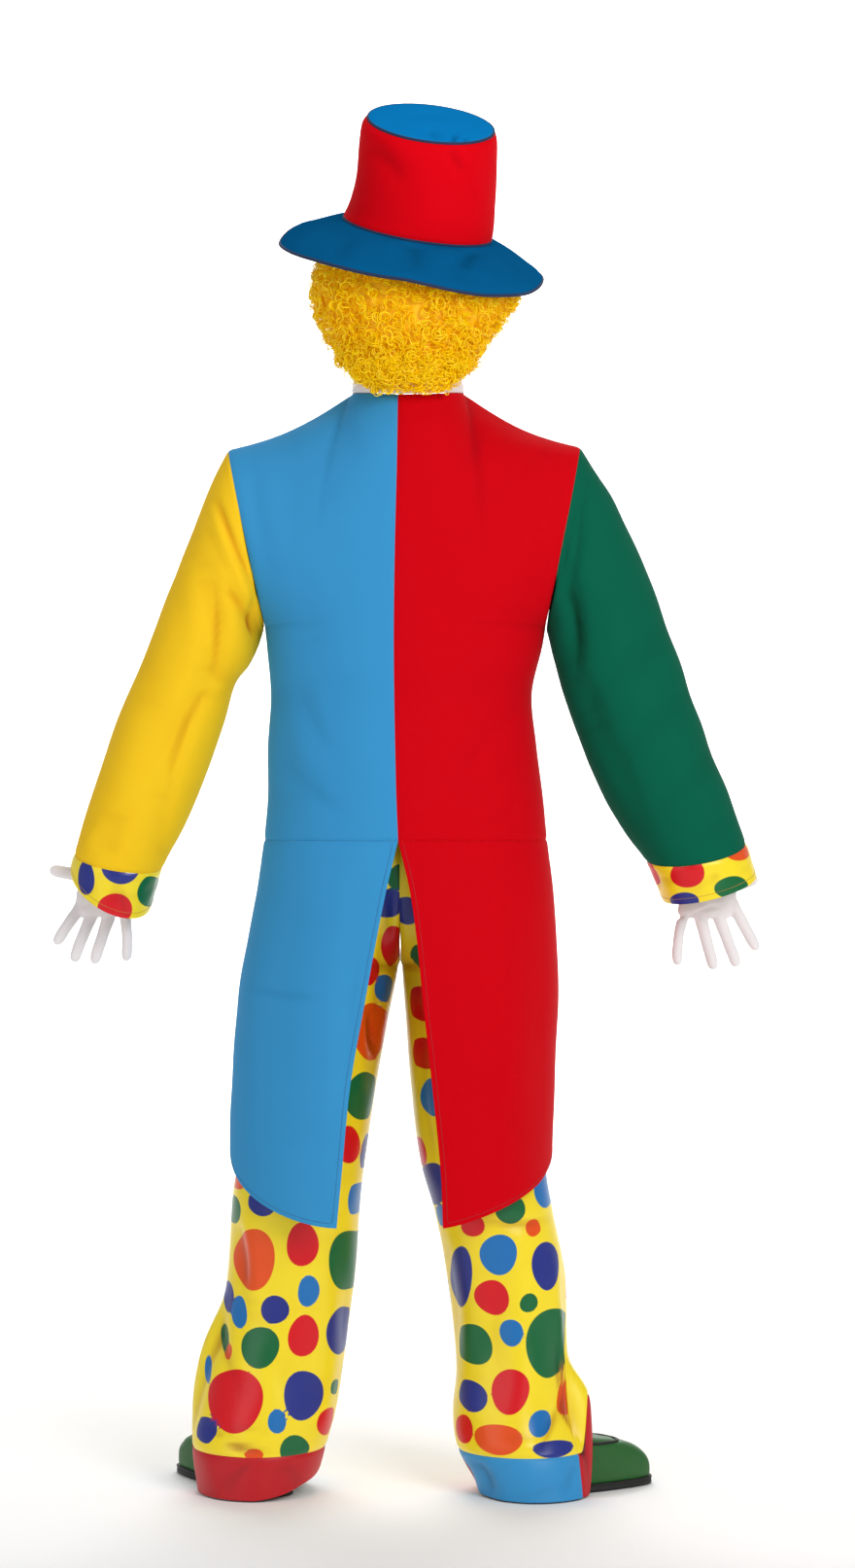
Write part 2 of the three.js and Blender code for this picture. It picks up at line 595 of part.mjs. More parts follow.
// Sleeves and their cuffs
const SLEEVE_ROWS = 12;
const CUFF_ROWS = 2;
for (const side of ['left', 'right']) {
  const sleeve = clothWall({
    across: 2 * ARM_ROWS,
    along: SLEEVE_ROWS,
    round: true,
    point: (u, v) => sleevePoint(side, v * CUFF_STEP, 360 * u),
    inside: (u, v) => sleeveMiddle(side, v * CUFF_STEP),
    edge: (u, v, where) => (where === 'first' ? armholeInward(side, 360 * u) : null),
    thickness: COAT_CLOTH,
  });
  addPiece(`sleeve_${side}`, sleeve, side === 'left' ? COLOURS.yellow : COLOURS.green);
  const cuff = clothWall({
    across: 2 * ARM_ROWS,
    along: CUFF_ROWS,
    round: true,
    point: (u, v) => sleevePoint(side, CUFF_STEP + v, 360 * u),
    inside: (u, v) => sleeveMiddle(side, CUFF_STEP + v),
    thickness: COAT_CLOTH,
  });
  addPiece(`cuff_${side}`, cuff, COLOURS.satin, 0.4);
}

// Stand collar: it rises from the neckline and leans in a little
const COLLAR_COLUMNS = 4 * NECK_COLUMNS;
const COLLAR_LEAN = 10;
function collarAngle(u) {
  const quarter = u * 4;
  if (quarter <= 1) return mix(backOffset, 90, quarter);
  if (quarter <= 2) return mix(90, 180 - frontOffset, quarter - 1);
  if (quarter <= 3) return mix(180 - frontOffset, 270, quarter - 2);
  return mix(270, 360 + backOffset, quarter - 3);
}
const shortAngle = (angle) => (angle > 180 ? angle - 360 : angle);
function collarPoint(u, v) {
  const angle = shortAngle(collarAngle(u));
  const base = neckPoint(angle);
  base.addScaledVector(neckInward(angle), COLLAR_LEAN * v ** 1.5);
  base.z += COLLAR_HEIGHT * v;
  return base;
}
const collar = clothWall({
  across: COLLAR_COLUMNS,
  along: 2,
  round: true,
  point: collarPoint,
  inside: (u, v) => V(NECK.x, NECK.y, collarPoint(u, v).z),
  edge: (u, v, where) => (where === 'first' ? neckInward(collarAngle(u)) : null),
  thickness: COLLAR_CLOTH,
});
addPiece('collar', collar, COLOURS.white, 0.35);

// Trouser legs. u runs from the side seam to the inseam or seat seam; z is the height.
// The hem rides up over the shoe, in full within the first angle of the toe, not past the second.
const LIFT_ANGLES = { left: [radians(40), radians(68)], right: [radians(32), radians(58)] };
const LIFT_FADES_AT = 340;
const INSEAM_BLEND = 620;
const BAND_FOOT = 2;
const INSEAM_RISE = { left: 90, right: 0 };
const RISES_FROM = 0.5;
const FRONT_SPREAD = 1.3;
function hemLift(side, x, y) {
  const { heel, toe } = SHOE[side];
  const { out, inner, back, front } = LEG[side][0];
  const [mx, my] = [(out + inner) / 2, (back + front) / 2];
  const ahead = Math.atan2(toe[0] - heel[0], toe[1] - heel[1]);
  const turn = Math.atan2(x - mx, y - my) - ahead;
  const off = Math.abs(Math.atan2(Math.sin(turn), Math.cos(turn)));
  return HEM_LIFT[side] * (1 - ease(...LIFT_ANGLES[side], off));
}

// The hem's height above the floor, which rises towards the inseam
function bandZ(side, u, v) {
  const foot = BAND_FOOT + INSEAM_RISE[side] * Math.max(u - RISES_FROM, 0) ** 1.5;
  return mix(HEM_BAND, foot, v);
}

function legPoint(side, face, u, z) {
  const row = lookUp(LEG[side], 'z', z);
  const rise = lookUp(RISE, 'z', z);
  const sideY = (row.back + row.front) / 2;
  const split = 1 - ease(CROTCH_Z, SEAT_TOP_Z, z);
  const joined = 1 - ease(INSEAM_BLEND, CROTCH_Z, z);
  const innerY = mix(face === 'back' ? rise.back : rise.front, sideY, joined);
  const innerX = z >= CROTCH_Z ? 0 : row.inner;
  const seam = face === 'back' ? radians(row.seam) : -radians(row.seam);
  const turn = mix(seam, Math.PI, face === 'back' ? u : u ** FRONT_SPREAD);
  const half = Math.abs(turn);
  const depth = (face === 'back') === (turn >= 0) ? row.back : row.front;
  const chord = mix(sideY, innerY, (1 - Math.cos(half)) / 2);
  const rounded = V(
    (row.out + innerX) / 2 + (row.out - innerX) / 2 * Math.cos(half),
    chord + (depth - chord) * Math.sin(half),
    z,
  );
  const quarter = V(
    mix(innerX, row.out, Math.cos(half / 2)),
    mix(sideY, innerY, Math.sin(half / 2)),
    z,
  );
  const point = quarter.lerp(rounded, split);
  point.z += hemLift(side, point.x, point.y) * (1 - ease(HEM_BAND, LIFT_FADES_AT, z));
  return point;
}

function legEdge(side, face, u, z, where) {
  const outward = side === 'left' ? -1 : 1;
  if (where === 'start' && z < CROTCH_Z) return legMiddle(side, z).sub(legPoint(side, face, 0, z)).setZ(0);
  if (where === 'start') return V(-outward, 0, 0);
  if (where === 'end') {
    if (z < CROTCH_Z - 1) return V(outward, 0, 0);
    const up = 1 - ease(CROTCH_Z, SEAT_TOP_Z, z);
    const share = z < CROTCH_Z + 1 ? 0.6 : 0;
    return V(outward * share, (face === 'back' ? 1 : -1) * (1 - up), up);
  }
  return null;
}

const LEG_COLUMNS = 8;
const RISE_ROWS = 4;
const LEG_ROWS = 11;
const legZ = (v) => {
  const row = v * (RISE_ROWS + LEG_ROWS);
  return row <= RISE_ROWS
    ? mix(TROUSER_WAIST_Z, CROTCH_Z, row / RISE_ROWS)
    : mix(CROTCH_Z, HEM_BAND, (row - RISE_ROWS) / LEG_ROWS);
};
const TROUSER_WAIST = { wide: 160, deep: 104 };
function trouserInward(point) {
  return V(-point.x / TROUSER_WAIST.wide ** 2, -point.y / TROUSER_WAIST.deep ** 2, 0);
}
const legMiddle = (side, z) => {
  const row = lookUp(LEG[side], 'z', z);
  return V((row.out + (z > CROTCH_Z ? 0 : row.inner)) / 2, (row.back + row.front) / 2, z);
};
function hemInward(side, face, u) {
  const toward = legMiddle(side, HEM_BAND).sub(legPoint(side, face, u, HEM_BAND));
  return toward.setZ(0);
}
for (const face of ['back', 'front']) {
  for (const side of ['left', 'right']) {
    const leg = clothWall({
      square: true,
      across: LEG_COLUMNS,
      along: RISE_ROWS + LEG_ROWS,
      point: (u, v) => legPoint(side, face, u, legZ(v)),
      inside: (u, v) => legMiddle(side, legZ(v)),
      edge: (u, v, where) => {
        if (where === 'last') return hemInward(side, face, u);
        if (v === 0) return trouserInward(legPoint(side, face, u, TROUSER_WAIST_Z));
        return legEdge(side, face, u, legZ(v), where);
      },
      thickness: TROUSER_CLOTH,
    });
    addPiece(`trouser_${face}_${side}`, leg, COLOURS.satin, 0.35);
    const band = clothWall({
      square: true,
      across: LEG_COLUMNS,
      along: 2,
      point: (u, v) => legPoint(side, face, u, bandZ(side, u, v)),
      inside: (u, v) => legMiddle(side, mix(HEM_BAND, BAND_FOOT, v)),
      edge: (u, v, where) => {
        if (where === 'first') return hemInward(side, face, u);
        return legEdge(side, face, u, bandZ(side, u, v), where);
      },
      thickness: TROUSER_CLOTH,
    });
    const red = (side === 'left') === (face === 'back');
    addPiece(`hem_band_${face}_${side}`, band, red ? COLOURS.bandRed : COLOURS.bandBlue, 0.5);
  }
}

// Waistband, hidden under the coat
function waistbandPoint(u, v) {
  const quarter = Math.min(Math.floor(u * 4), 3);
  const part = u * 4 - quarter;
  const side = quarter === 0 || quarter === 3 ? 'right' : 'left';
  const face = quarter < 2 ? 'back' : 'front';
  const toSeat = quarter === 0 || quarter === 2;
  const point = legPoint(side, face, toSeat ? part : 1 - part, TROUSER_WAIST_Z);
  point.z += WAISTBAND_HEIGHT * v;
  return point;
}
const waistband = clothWall({
  across: 4 * LEG_COLUMNS,
  along: 1,
  round: true,
  point: waistbandPoint,
  inside: (u, v) => V(0, 0, TROUSER_WAIST_Z + v),
  edge: (u, v) => trouserInward(waistbandPoint(u, v)),
  thickness: TROUSER_CLOTH,
});
addPiece('waistband', waistband, COLOURS.satin, 0.4);

// Hat. The angle runs round the head from the back towards +X.
function hatFrame(row) {
  const [lean, roll] = [radians(row.lean), radians(row.roll)];
  const up = V(Math.sin(roll) * Math.cos(lean), -Math.sin(lean), Math.cos(roll) * Math.cos(lean));
  const right = V(Math.cos(roll), 0, -Math.sin(roll));
  return { up, right, ahead: up.clone().cross(right), middle: V(row.x, row.y, row.z) };
}
function crownPoint(step, angle, size = 1) {
  const row = lookUp(CROWN, 'step', step);
  const { right, ahead, middle } = hatFrame(row);
  const a = radians(angle);
  return middle.addScaledVector(right, size * row.wide * Math.sin(a))
    .addScaledVector(ahead, -size * row.deep * Math.cos(a));
}
function brimPoint(angle, v) {
  const row = lookUp(CROWN, 'step', 0);
  const edge = lookUp(BRIM, 'angle', ((angle % 360) + 360) % 360);
  const { up, right, ahead } = hatFrame(row);
  const a = radians(angle);
  return crownPoint(0, angle)
    .addScaledVector(right, edge.out * v * Math.sin(a))
    .addScaledVector(ahead, -edge.out * v * Math.cos(a))
    .addScaledVector(up, -edge.down * (0.75 * v + 0.25 * v * v));
}
const HAT_COLUMNS = 28;
const crownMiddle = (v) => hatFrame(lookUp(CROWN, 'step', 2 * v)).middle;
addPiece('hat_crown', clothWall({
  across: HAT_COLUMNS,
  along: CROWN_ROWS,
  round: true,
  point: (u, v) => crownPoint(2 * v, 360 * u),
  inside: (u, v) => crownMiddle(v),
  edge: (u, v, where) => (where === 'first' ? crownMiddle(0).sub(crownPoint(0, 360 * u)) : null),
  thickness: HAT_CLOTH,
}), COLOURS.hatRed);
addPiece('hat_brim', clothWall({
  across: HAT_COLUMNS,
  along: 3,
  round: true,
  point: (u, v) => brimPoint(360 * u, v),
  inside: (u, v) => brimPoint(360 * u, v).sub(hatFrame(CROWN[0]).up),
  edge: (u, v, where) => (where === 'first' ? hatFrame(CROWN[0]).up.negate() : null),
  thickness: HAT_CLOTH,
}), COLOURS.hatBlue);

// The top is a shallow dome, sewn to the crown's upper edge
function topRing(size, lift) {
  const { up } = hatFrame(CROWN[CROWN.length - 1]);
  const ring = [];
  for (let i = 0; i < HAT_COLUMNS; i += 1) {
    ring.push(crownPoint(2, 360 * i / HAT_COLUMNS, size).addScaledVector(up, lift));
  }
  return ring;
}
addPiece('hat_top', loft([
  topRing(0.5, TOP_DOME * 0.8 - HAT_CLOTH),
  topRing(0.97, SEAM_GAP),
  topRing(1, SEAM_GAP),
  topRing(0.98, TOP_DOME * 0.5 + SEAM_GAP),
  topRing(0.5, TOP_DOME),
]), COLOURS.hatBlue);

// Wig: a thick curly shell, open at the face and below
function wigPoint(u, z, inset) {
  const row = lookUp(WIG, 'z', z);
  const a = radians(mix(-row.open, row.open, u));
  const middleY = (row.back + row.front) / 2;
  return V(
    row.x + (row.wide - inset) * Math.sin(a),
    middleY - ((row.front - row.back) / 2 - inset) * Math.cos(a),
    z,
  );
}
const WIG_COLUMNS = 20;
const WIG_ROWS = 10;
const wigZ = (v) => mix(WIG[0].z, WIG[WIG.length - 1].z, v);
const wigShell = clothWall({
  across: WIG_COLUMNS,
  along: WIG_ROWS,
  point: (u, v) => wigPoint(u, wigZ(v), 0),
  inside: (u, v) => V(20, 0, mix(1560, 1700, v)),
  edge: (u, v, where) => {
    if (where === 'first' || where === 'last') return wigPoint(u, wigZ(v), 1).sub(wigPoint(u, wigZ(v), 0));
    return null;
  },
  thickness: WIG_DEPTH,
});
const crownRow = WIG[WIG.length - 1];
const CAP_RINGS = [{ rise: -12, size: 1.3 }, { rise: 2, size: 1.02 }, { rise: 8, size: 0.5 }];
const wigCap = loft(CAP_RINGS.map(({ rise, size }) => {
  const middleY = (crownRow.back + crownRow.front) / 2;
  const deep = size * (crownRow.front - crownRow.back) / 2;
  const ring = [];
  for (let i = 0; i < WIG_COLUMNS; i += 1) {
    const a = 2 * Math.PI * i / WIG_COLUMNS;
    const x = crownRow.x + size * crownRow.wide * Math.sin(a);
    ring.push(V(x, middleY - deep * Math.cos(a), crownRow.z + rise));
  }
  return ring;
}));

// The room that the hat takes, a little larger than its cloth: the curls are pressed clear of it
function hatRing(size, lift) {
  const { up } = hatFrame(CROWN[0]);
  const ring = [];
  for (let i = 0; i < HAT_COLUMNS; i += 1) {
    ring.push(brimPoint(360 * i / HAT_COLUMNS, size).addScaledVector(up, lift));
  }
  return ring;
}
const crownLining = (step) => {
  const ring = [];
  for (let i = 0; i < HAT_COLUMNS; i += 1) {
    const point = crownPoint(step, 360 * i / HAT_COLUMNS);
    const middle = hatFrame(lookUp(CROWN, 'step', step)).middle;
    ring.push(point.addScaledVector(middle.sub(point).normalize(), HAT_CLOTH + CURL_GAP));
  }
  return ring;
};
const UNDER_BRIM = 2;
const OVER_BRIM = 60;
const liningSteps = Array.from({ length: CROWN_ROWS }, (_, k) => 2 * (CROWN_ROWS - k) / CROWN_ROWS);
const hatRoom = loft([
  crownLining(0).map((p) => p.add(V(0, 0, -HAT_CLOTH - UNDER_BRIM / 2))),
  hatRing(0.35, -HAT_CLOTH - UNDER_BRIM),
  hatRing(1, -HAT_CLOTH - UNDER_BRIM),
  hatRing(1, OVER_BRIM),
  ...liningSteps.map(crownLining),
], true);
const hair = toManifold(wigShell).add(toManifold(wigCap)).subtract(toManifold(hatRoom));
const hairPieces = hair.decompose().sort((a, b) => b.volume() - a.volume());
addPiece('wig', fromManifold(hairPieces[0].simplify(WELD)), COLOURS.curls, 0.9);

// Gloves: the palm and the fingers joined, then hollowed the same way. Rings of different widths
// start at different turns, and a finger starts some way into the palm.
const TURN_BY_WIDTH = 1 / 40;
const FINGER_ROOT = 0.22;
const KNUCKLE_CAP = 9;
function ovalRing(middle, wide, deep, count, tilt = V(1, 0, 0)) {
  const ring = [];
  for (let i = 0; i < count; i += 1) {
    const a = 2 * Math.PI * i / count + wide * TURN_BY_WIDTH;
    ring.push(middle.clone().addScaledVector(tilt, wide * Math.cos(a)).add(V(0, deep * Math.sin(a), 0)));
  }
  return ring;
}
const FINGER_SIDES = 7;
const PALM_SIDES = 12;
function fingerSolid(finger, heart, inset) {
  const [base, mid, tip] = [finger.base, finger.mid, finger.tip].map((p) => V(...p));
  base.lerp(V(...heart), FINGER_ROOT);
  const along = tip.clone().sub(base).normalize();
  const tilt = V(0, 1, 0).cross(along).normalize();
  const radius = finger.radius - inset;
  const end = tip.clone().addScaledVector(along, -inset);
  const pad = end.clone().addScaledVector(along, -radius);
  return loft([
    ovalRing(base, radius * 1.05, radius, FINGER_SIDES, tilt),
    ovalRing(mid, radius, radius, FINGER_SIDES, tilt),
    ovalRing(pad, radius * 0.9, radius * 0.85, FINGER_SIDES, tilt),
    ovalRing(end, radius * 0.42, radius * 0.42, FINGER_SIDES, tilt),
  ]);
}
function handSolid(side, inset) {
  const { wrist, palm, knuckles, fingers } = HAND[side];
  const opening = V(...wrist).add(V(0, 0, inset > 0 ? 12 : 0));
  const [wide, deep] = [PALM.wide - inset, PALM.deep - inset];
  const cap = V(...knuckles).add(V(0, 0, inset - KNUCKLE_CAP));
  let solid = toManifold(loft([
    ovalRing(opening, PALM.wristWide - inset, PALM.wristDeep - inset, PALM_SIDES),
    ovalRing(V(...palm), PALM.midWide - inset, PALM.midDeep - inset, PALM_SIDES),
    ovalRing(V(...knuckles), wide, deep, PALM_SIDES),
    ovalRing(cap, wide * 0.85, deep * 0.6, PALM_SIDES),
  ]));
  for (const finger of fingers) {
    const heart = finger.name === 'thumb' ? palm : knuckles;
    solid = solid.add(toManifold(fingerSolid(finger, heart, inset)));
  }
  return solid;
}
for (const side of ['left', 'right']) {
  const glove = handSolid(side, 0).subtract(handSolid(side, GLOVE_CLOTH));
  addPiece(`glove_${side}`, fromManifold(glove.simplify(WELD)), COLOURS.white, 0.8);
}

// Shoes. The outline is the line round two circles, heel and toe; the angle runs from the toe.
// The upper bulges over the sole before it rises to the rim of the foot opening.
const HEEL_TO_TOE = 1.25;
const UPPER_BULGE = 3;
const RIM_BEHIND = 4;
const SOLE_FLARE = 3;
function shoeFrame(side) {
  const heel = V(SHOE[side].heel[0], SHOE[side].heel[1], 0);
  const toe = V(SHOE[side].toe[0], SHOE[side].toe[1], 0);
  const ahead = toe.clone().sub(heel).normalize();
  return { heel, toe, ahead, across: V(ahead.y, -ahead.x, 0) };
}
function solePoint(side, angle, grow = 0) {
  const { heel, toe, ahead, across } = shoeFrame(side);
  const a = radians(angle);
  const blend = ease(-1, 1, Math.cos(a) * HEEL_TO_TOE);
  const middle = heel.lerp(toe, blend);
  const radius = mix(SHOE_HEEL_RADIUS, SHOE_TOE_RADIUS, blend) + grow;
  return middle.addScaledVector(ahead, radius * Math.cos(a)).addScaledVector(across, radius * Math.sin(a));
}
function throatPoint(side, angle) {
  const { heel, ahead, across } = shoeFrame(side);
  const a = radians(angle);
  const halfLength = SHOE_THROAT.length / 2;
  const behind = SHOE_HEEL_RADIUS - SHOE_THROAT.back - RIM_BEHIND;
  const middle = heel.addScaledVector(ahead, halfLength - behind);
  const point = middle.addScaledVector(ahead, halfLength * Math.cos(a));
  point.addScaledVector(across, SHOE_THROAT.wide * Math.sin(a));
  point.z = mix(SHOE_THROAT.heelZ, SHOE_THROAT.frontZ, (1 + Math.cos(a)) / 2);
  return point;
}
function upperPoint(side, angle, v) {
  const base = solePoint(side, angle);
  const rim = throatPoint(side, angle);
  const low = SOLE_HEIGHT + SEAM_GAP;
  const bulge = UPPER_BULGE * Math.sin(Math.PI * Math.min(v * 1.6, 1));
  const a = v * Math.PI / 2;
  const point = base.clone().lerp(V(rim.x, rim.y, 0), 1 - Math.cos(a) ** 0.9);
  const out = base.clone().sub(V(rim.x, rim.y, 0)).setLength(bulge);
  point.add(out);
  point.z = mix(low, rim.z, Math.sin(a) ** 0.8);
  return point;
}
const SHOE_COLUMNS = 18;
for (const side of ['left', 'right']) {
  const ring = (grow, z) => {
    const points = [];
    for (let i = 0; i < SHOE_COLUMNS; i += 1) {
      const point = solePoint(side, 360 * i / SHOE_COLUMNS, grow);
      point.z = z;
      points.push(point);
    }
    return points;
  };
  const sole = loft([
    ring(SOLE_FLARE - 2, 0),
    ring(SOLE_FLARE, 3),
    ring(SOLE_FLARE, SOLE_HEIGHT - 2),
    ring(SOLE_FLARE - 1, SOLE_HEIGHT),
  ]);
  addPiece(`sole_${side}`, sole, COLOURS.sole);
  const shoeInside = (u, v) => {
    const across = throatPoint(side, 360 * u + 180);
    return upperPoint(side, 360 * u, v).lerp(across, 0.4).setZ(30 * (1 - v));
  };
  addPiece(`shoe_${side}`, clothWall({
    across: SHOE_COLUMNS,
    along: 5,
    round: true,
    point: (u, v) => upperPoint(side, 360 * u, v),
    inside: shoeInside,
    edge: (u, v, where) => {
      const { heel, toe } = shoeFrame(side);
      if (where === 'first') return heel.lerp(toe, 0.5).sub(solePoint(side, 360 * u));
      return V(0, 0, -1);
    },
    thickness: UPPER_CLOTH,
  }), COLOURS.shoe, 0.5);
}

// Three plain buttons down the front, on the right panel's edge
const BUTTON_HEIGHTS = [0.1, 0.36, 0.62];
for (const [k, v] of BUTTON_HEIGHTS.entries()) {
  const column = 1 / BODICE_COLUMNS;
  const seat = bodicePoint('right', 'front', column, v);
  const heights = [v - BUTTON_SPAN, v, v + BUTTON_SPAN].map((at) => {
    const [centre, next] = [0, column].map((u) => bodicePoint('right', 'front', u, at));
    return mix(next.y, centre.y, BUTTON_RADIUS / (next.x - centre.x));
  });
  seat.y = Math.max(...heights);
  const button = new THREE.CylinderGeometry(BUTTON_RADIUS * 0.8, BUTTON_RADIUS, BUTTON_HEIGHT, 20);
  button.translate(seat.x, seat.y + BUTTON_HEIGHT / 2 + SEAM_GAP, seat.z);
  addPiece(`coat_button_${k + 1}`, button, COLOURS.button, 0.4);
}

export default costume;
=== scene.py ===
"""A worn clown costume, empty and held as it is worn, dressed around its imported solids.

Every surface is worked out in millimetres above the floor, as the garments' sizes are, with +X to
the wearer's right and +Y the way the wearer faces, and `to_frame` moves it into the part's frame.
"""

import logging
import math
from dataclasses import dataclass, field, replace
from enum import Enum

import bpy
import numpy as np
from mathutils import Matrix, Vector


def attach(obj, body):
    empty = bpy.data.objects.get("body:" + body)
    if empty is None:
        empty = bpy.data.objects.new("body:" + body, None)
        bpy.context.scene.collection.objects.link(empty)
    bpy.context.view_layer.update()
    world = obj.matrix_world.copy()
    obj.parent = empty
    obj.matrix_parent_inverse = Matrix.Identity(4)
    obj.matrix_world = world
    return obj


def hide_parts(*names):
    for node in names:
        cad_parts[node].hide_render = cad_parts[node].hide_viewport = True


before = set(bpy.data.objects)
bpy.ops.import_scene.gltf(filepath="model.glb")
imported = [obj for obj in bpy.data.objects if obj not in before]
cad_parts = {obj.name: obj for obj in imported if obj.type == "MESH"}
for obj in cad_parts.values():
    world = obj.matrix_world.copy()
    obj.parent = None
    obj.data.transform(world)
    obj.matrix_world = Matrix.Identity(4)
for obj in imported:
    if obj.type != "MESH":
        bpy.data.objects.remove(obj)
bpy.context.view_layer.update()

logging.basicConfig(level=logging.INFO, format="%(message)s")
LOG = logging.getLogger("costume")

Array = np.ndarray
FRAME_ORIGIN = np.array([11.0, 0.0, 1500.0])
ROOT = "root"


class Side(Enum):
    """The wearer's two sides, as the sign of X."""

    LEFT = -1
    RIGHT = 1

    @property
    def word(self) -> str:
        """The side's name in the names of nodes."""
        return self.name.lower()


class Face(Enum):
    """Back and front panels, as the sign of Y."""

    BACK = -1
    FRONT = 1

    @property
    def word(self) -> str:
        """The face's name in the names of nodes."""
        return self.name.lower()


class Dye(Enum):
    """The colours of the printed dots."""

    ORANGE = "#e8500c"
    RED = "#d90014"
    GREEN = "#0a6636"
    BLUE = "#1670b8"
    NAVY = "#232e86"


def to_frame(points: Array) -> Array:
    """Moves points from millimetres above the floor to metres in the part's frame.

    Args:
        points: any array of points, its last axis X, Y, Z.

    Returns:
        The same points less the frame's origin, times 0.001.
    """
    return (points - FRAME_ORIGIN) * 0.001


def ease(start: float, end: float, at: Array | float) -> Array:
    """A smooth step, t squared times (3 less 2t), of t running 0 to 1 from start to end.

    Args:
        start: where the step begins.
        end: where it is complete.
        at: the values to read it at.

    Returns:
        The step's height at each value.
    """
    t = np.clip((np.asarray(at, float) - start) / (end - start), 0, 1)
    return t * t * (3 - 2 * t)


def mix(a: Array | float, b: Array | float, t: Array | float) -> Array:
    """A straight blend, a at t = 0 and b at t = 1."""
    return a + (b - a) * t


def points_of(x: Array | float, y: Array | float, z: Array | float) -> Array:
    """Joins three coordinates, broadcast to one shape, into points."""
    return np.stack(np.broadcast_arrays(x, y, z), axis=-1).astype(float)


def unit(vectors: Array) -> Array:
    """Each vector over its own length."""
    return vectors / np.maximum(np.linalg.norm(vectors, axis=-1, keepdims=True), 1e-9)


def spaced(count: int, fine_ends: bool = True) -> Array:
    """Places from 0 to 1, closer together at the two ends, where cloth rolls into its seams.

    Args:
        count: how many even steps there are between the ends.
        fine_ends: whether the first and last steps are cut into three.

    Returns:
        The places, in order.
    """
    even = np.linspace(0, 1, count + 1)
    if not fine_ends:
        return even
    step = even[1]
    near = np.array([0.3, 0.62]) * step
    return np.sort(np.concatenate([even, near, 1 - near]))


@dataclass(frozen=True)
class Table:
    """Rows of named columns, the first of them the key, read between rows as a smooth curve."""

    columns: tuple[str, ...]
    rows: tuple[tuple[float, ...], ...]

    def read(self, at: Array | float) -> dict[str, Array]:
        """Reads every column by a cubic through the rows, with each row's slope its neighbours'.

        Args:
            at: the key values, held within the table's ends.

        Returns:
            Each column's values, by its name.
        """
        data = np.array(self.rows, float)
        key = data[:, 0]
        order = np.arange(len(key))
        high, low = np.minimum(order + 1, order[-1]), np.maximum(order - 1, 0)
        slopes = (data[high] - data[low]) / (key[high] - key[low])[:, None]
        at = np.clip(np.asarray(at, float), key[0], key[-1])
        k = np.clip(np.searchsorted(key, at, side="right") - 1, 0, len(key) - 2)
        span = (key[k + 1] - key[k])[..., None]
        t = (at - key[k])[..., None] / span
        values = (
            (2 * t**3 - 3 * t**2 + 1) * data[k]
            + (t**3 - 2 * t**2 + t) * span * slopes[k]
            + (3 * t**2 - 2 * t**3) * data[k + 1]
            + (t**3 - t**2) * span * slopes[k + 1]
        )
        return {name: values[..., i] for i, name in enumerate(self.columns)}


@dataclass(frozen=True)
class Crease:
    """One soft trough or ridge, on a plane of two coordinates in millimetres.

    Its height is `height` times exp(-(d / width) squared), with d the distance to a bowed line from
    start to end, `near` the width on the line's left and `far` on its right, and it dies away
    towards both ends.
    """

    start: tuple[float, float]
    end: tuple[float, float]
    height: float
    near: float
    far: float
    bow: float = 0.0

    def at(self, a: Array, b: Array) -> Array:
        """The crease's height at each place of the plane.

        Args:
            a: the first coordinate.
            b: the second coordinate.

        Returns:
            Its height, below 0 in a trough.
        """
        run = np.subtract(self.end, self.start)
        length = float(np.hypot(*run))
        along = ((a - self.start[0]) * run[0] + (b - self.start[1]) * run[1]) / length**2
        off = ((a - self.start[0]) * run[1] - (b - self.start[1]) * run[0]) / length
        inside = np.clip(along, 0, 1)
        off = off - self.bow * 4 * inside * (1 - inside)
        width = np.where(off < 0, self.near, self.far)
        beyond = (along - inside) * length
        taper = np.sin(np.pi * (0.04 + 0.92 * inside)) ** 0.7
        return self.height * taper * np.exp(-((off / width) ** 2) - (beyond / self.far) ** 2)


def relief(creases: tuple[Crease, ...], a: Array, b: Array) -> Array:
    """The sum of the creases' heights at each place of their plane."""
    total = np.zeros(np.broadcast(a, b).shape)
    for crease in creases:
        total = total + crease.at(a, b)
    return total


def scattered(
    seed: int,
    count: int,
    low: tuple[float, float],
    high: tuple[float, float],
    run: tuple[float, float],
    height: float,
    width: float,
) -> tuple[Crease, ...]:
    """Creases for a side that is hidden, of the same kind as those that show.

    Args:
        seed: the draw's seed.
        count: how many there are.
        low: the lowest corner of the field they start in.
        high: its highest corner.
        run: the mean way from start to end.
        height: the greatest height, of either sign.
        width: the mean width.

    Returns:
        The creases, uneven in length, depth, bow and width.
    """
    draw = np.random.default_rng(seed)
    made = []
    for _ in range(count):
        start = draw.uniform(low, high)
        end = (
            start
            + np.array(run) * draw.uniform(0.5, 1.3)
            + draw.normal(0, 0.12, 2) * abs(max(run, key=abs))
        )
        size = float(draw.uniform(0.35, 1) * draw.choice([-1, -1, 1]) * height)
        near, far = width * draw.uniform(0.6, 1.4, 2)
        made.append(
            Crease(
                tuple(start), tuple(end), size, float(near), float(far), float(draw.normal(0, 0.3) * width)
            )
        )
    return tuple(made)


def waviness(a: Array, b: Array, seed: int, size: float, height: float) -> Array:
    """The small unevenness of hanging cloth: five sine waves, each of its own way and length.

    Args:
        a: the first coordinate, in mm.
        b: the second coordinate, in mm.
        seed: the draw's seed.
        size: the mean wave length.
        height: the mean height.

    Returns:
        The waves' sum at each place.
    """
    draw = np.random.default_rng(seed)
    turn, phase = draw.uniform(0, math.pi, 5), draw.uniform(0, 2 * math.pi, 5)
    length = size * draw.uniform(0.7, 1.7, 5)
    waves = [
        np.sin((a * np.cos(w) + b * np.sin(w)) * 2 * math.pi / s + p)
        for w, p, s in zip(turn, phase, length)
    ]
    return height * np.mean(waves, axis=0)


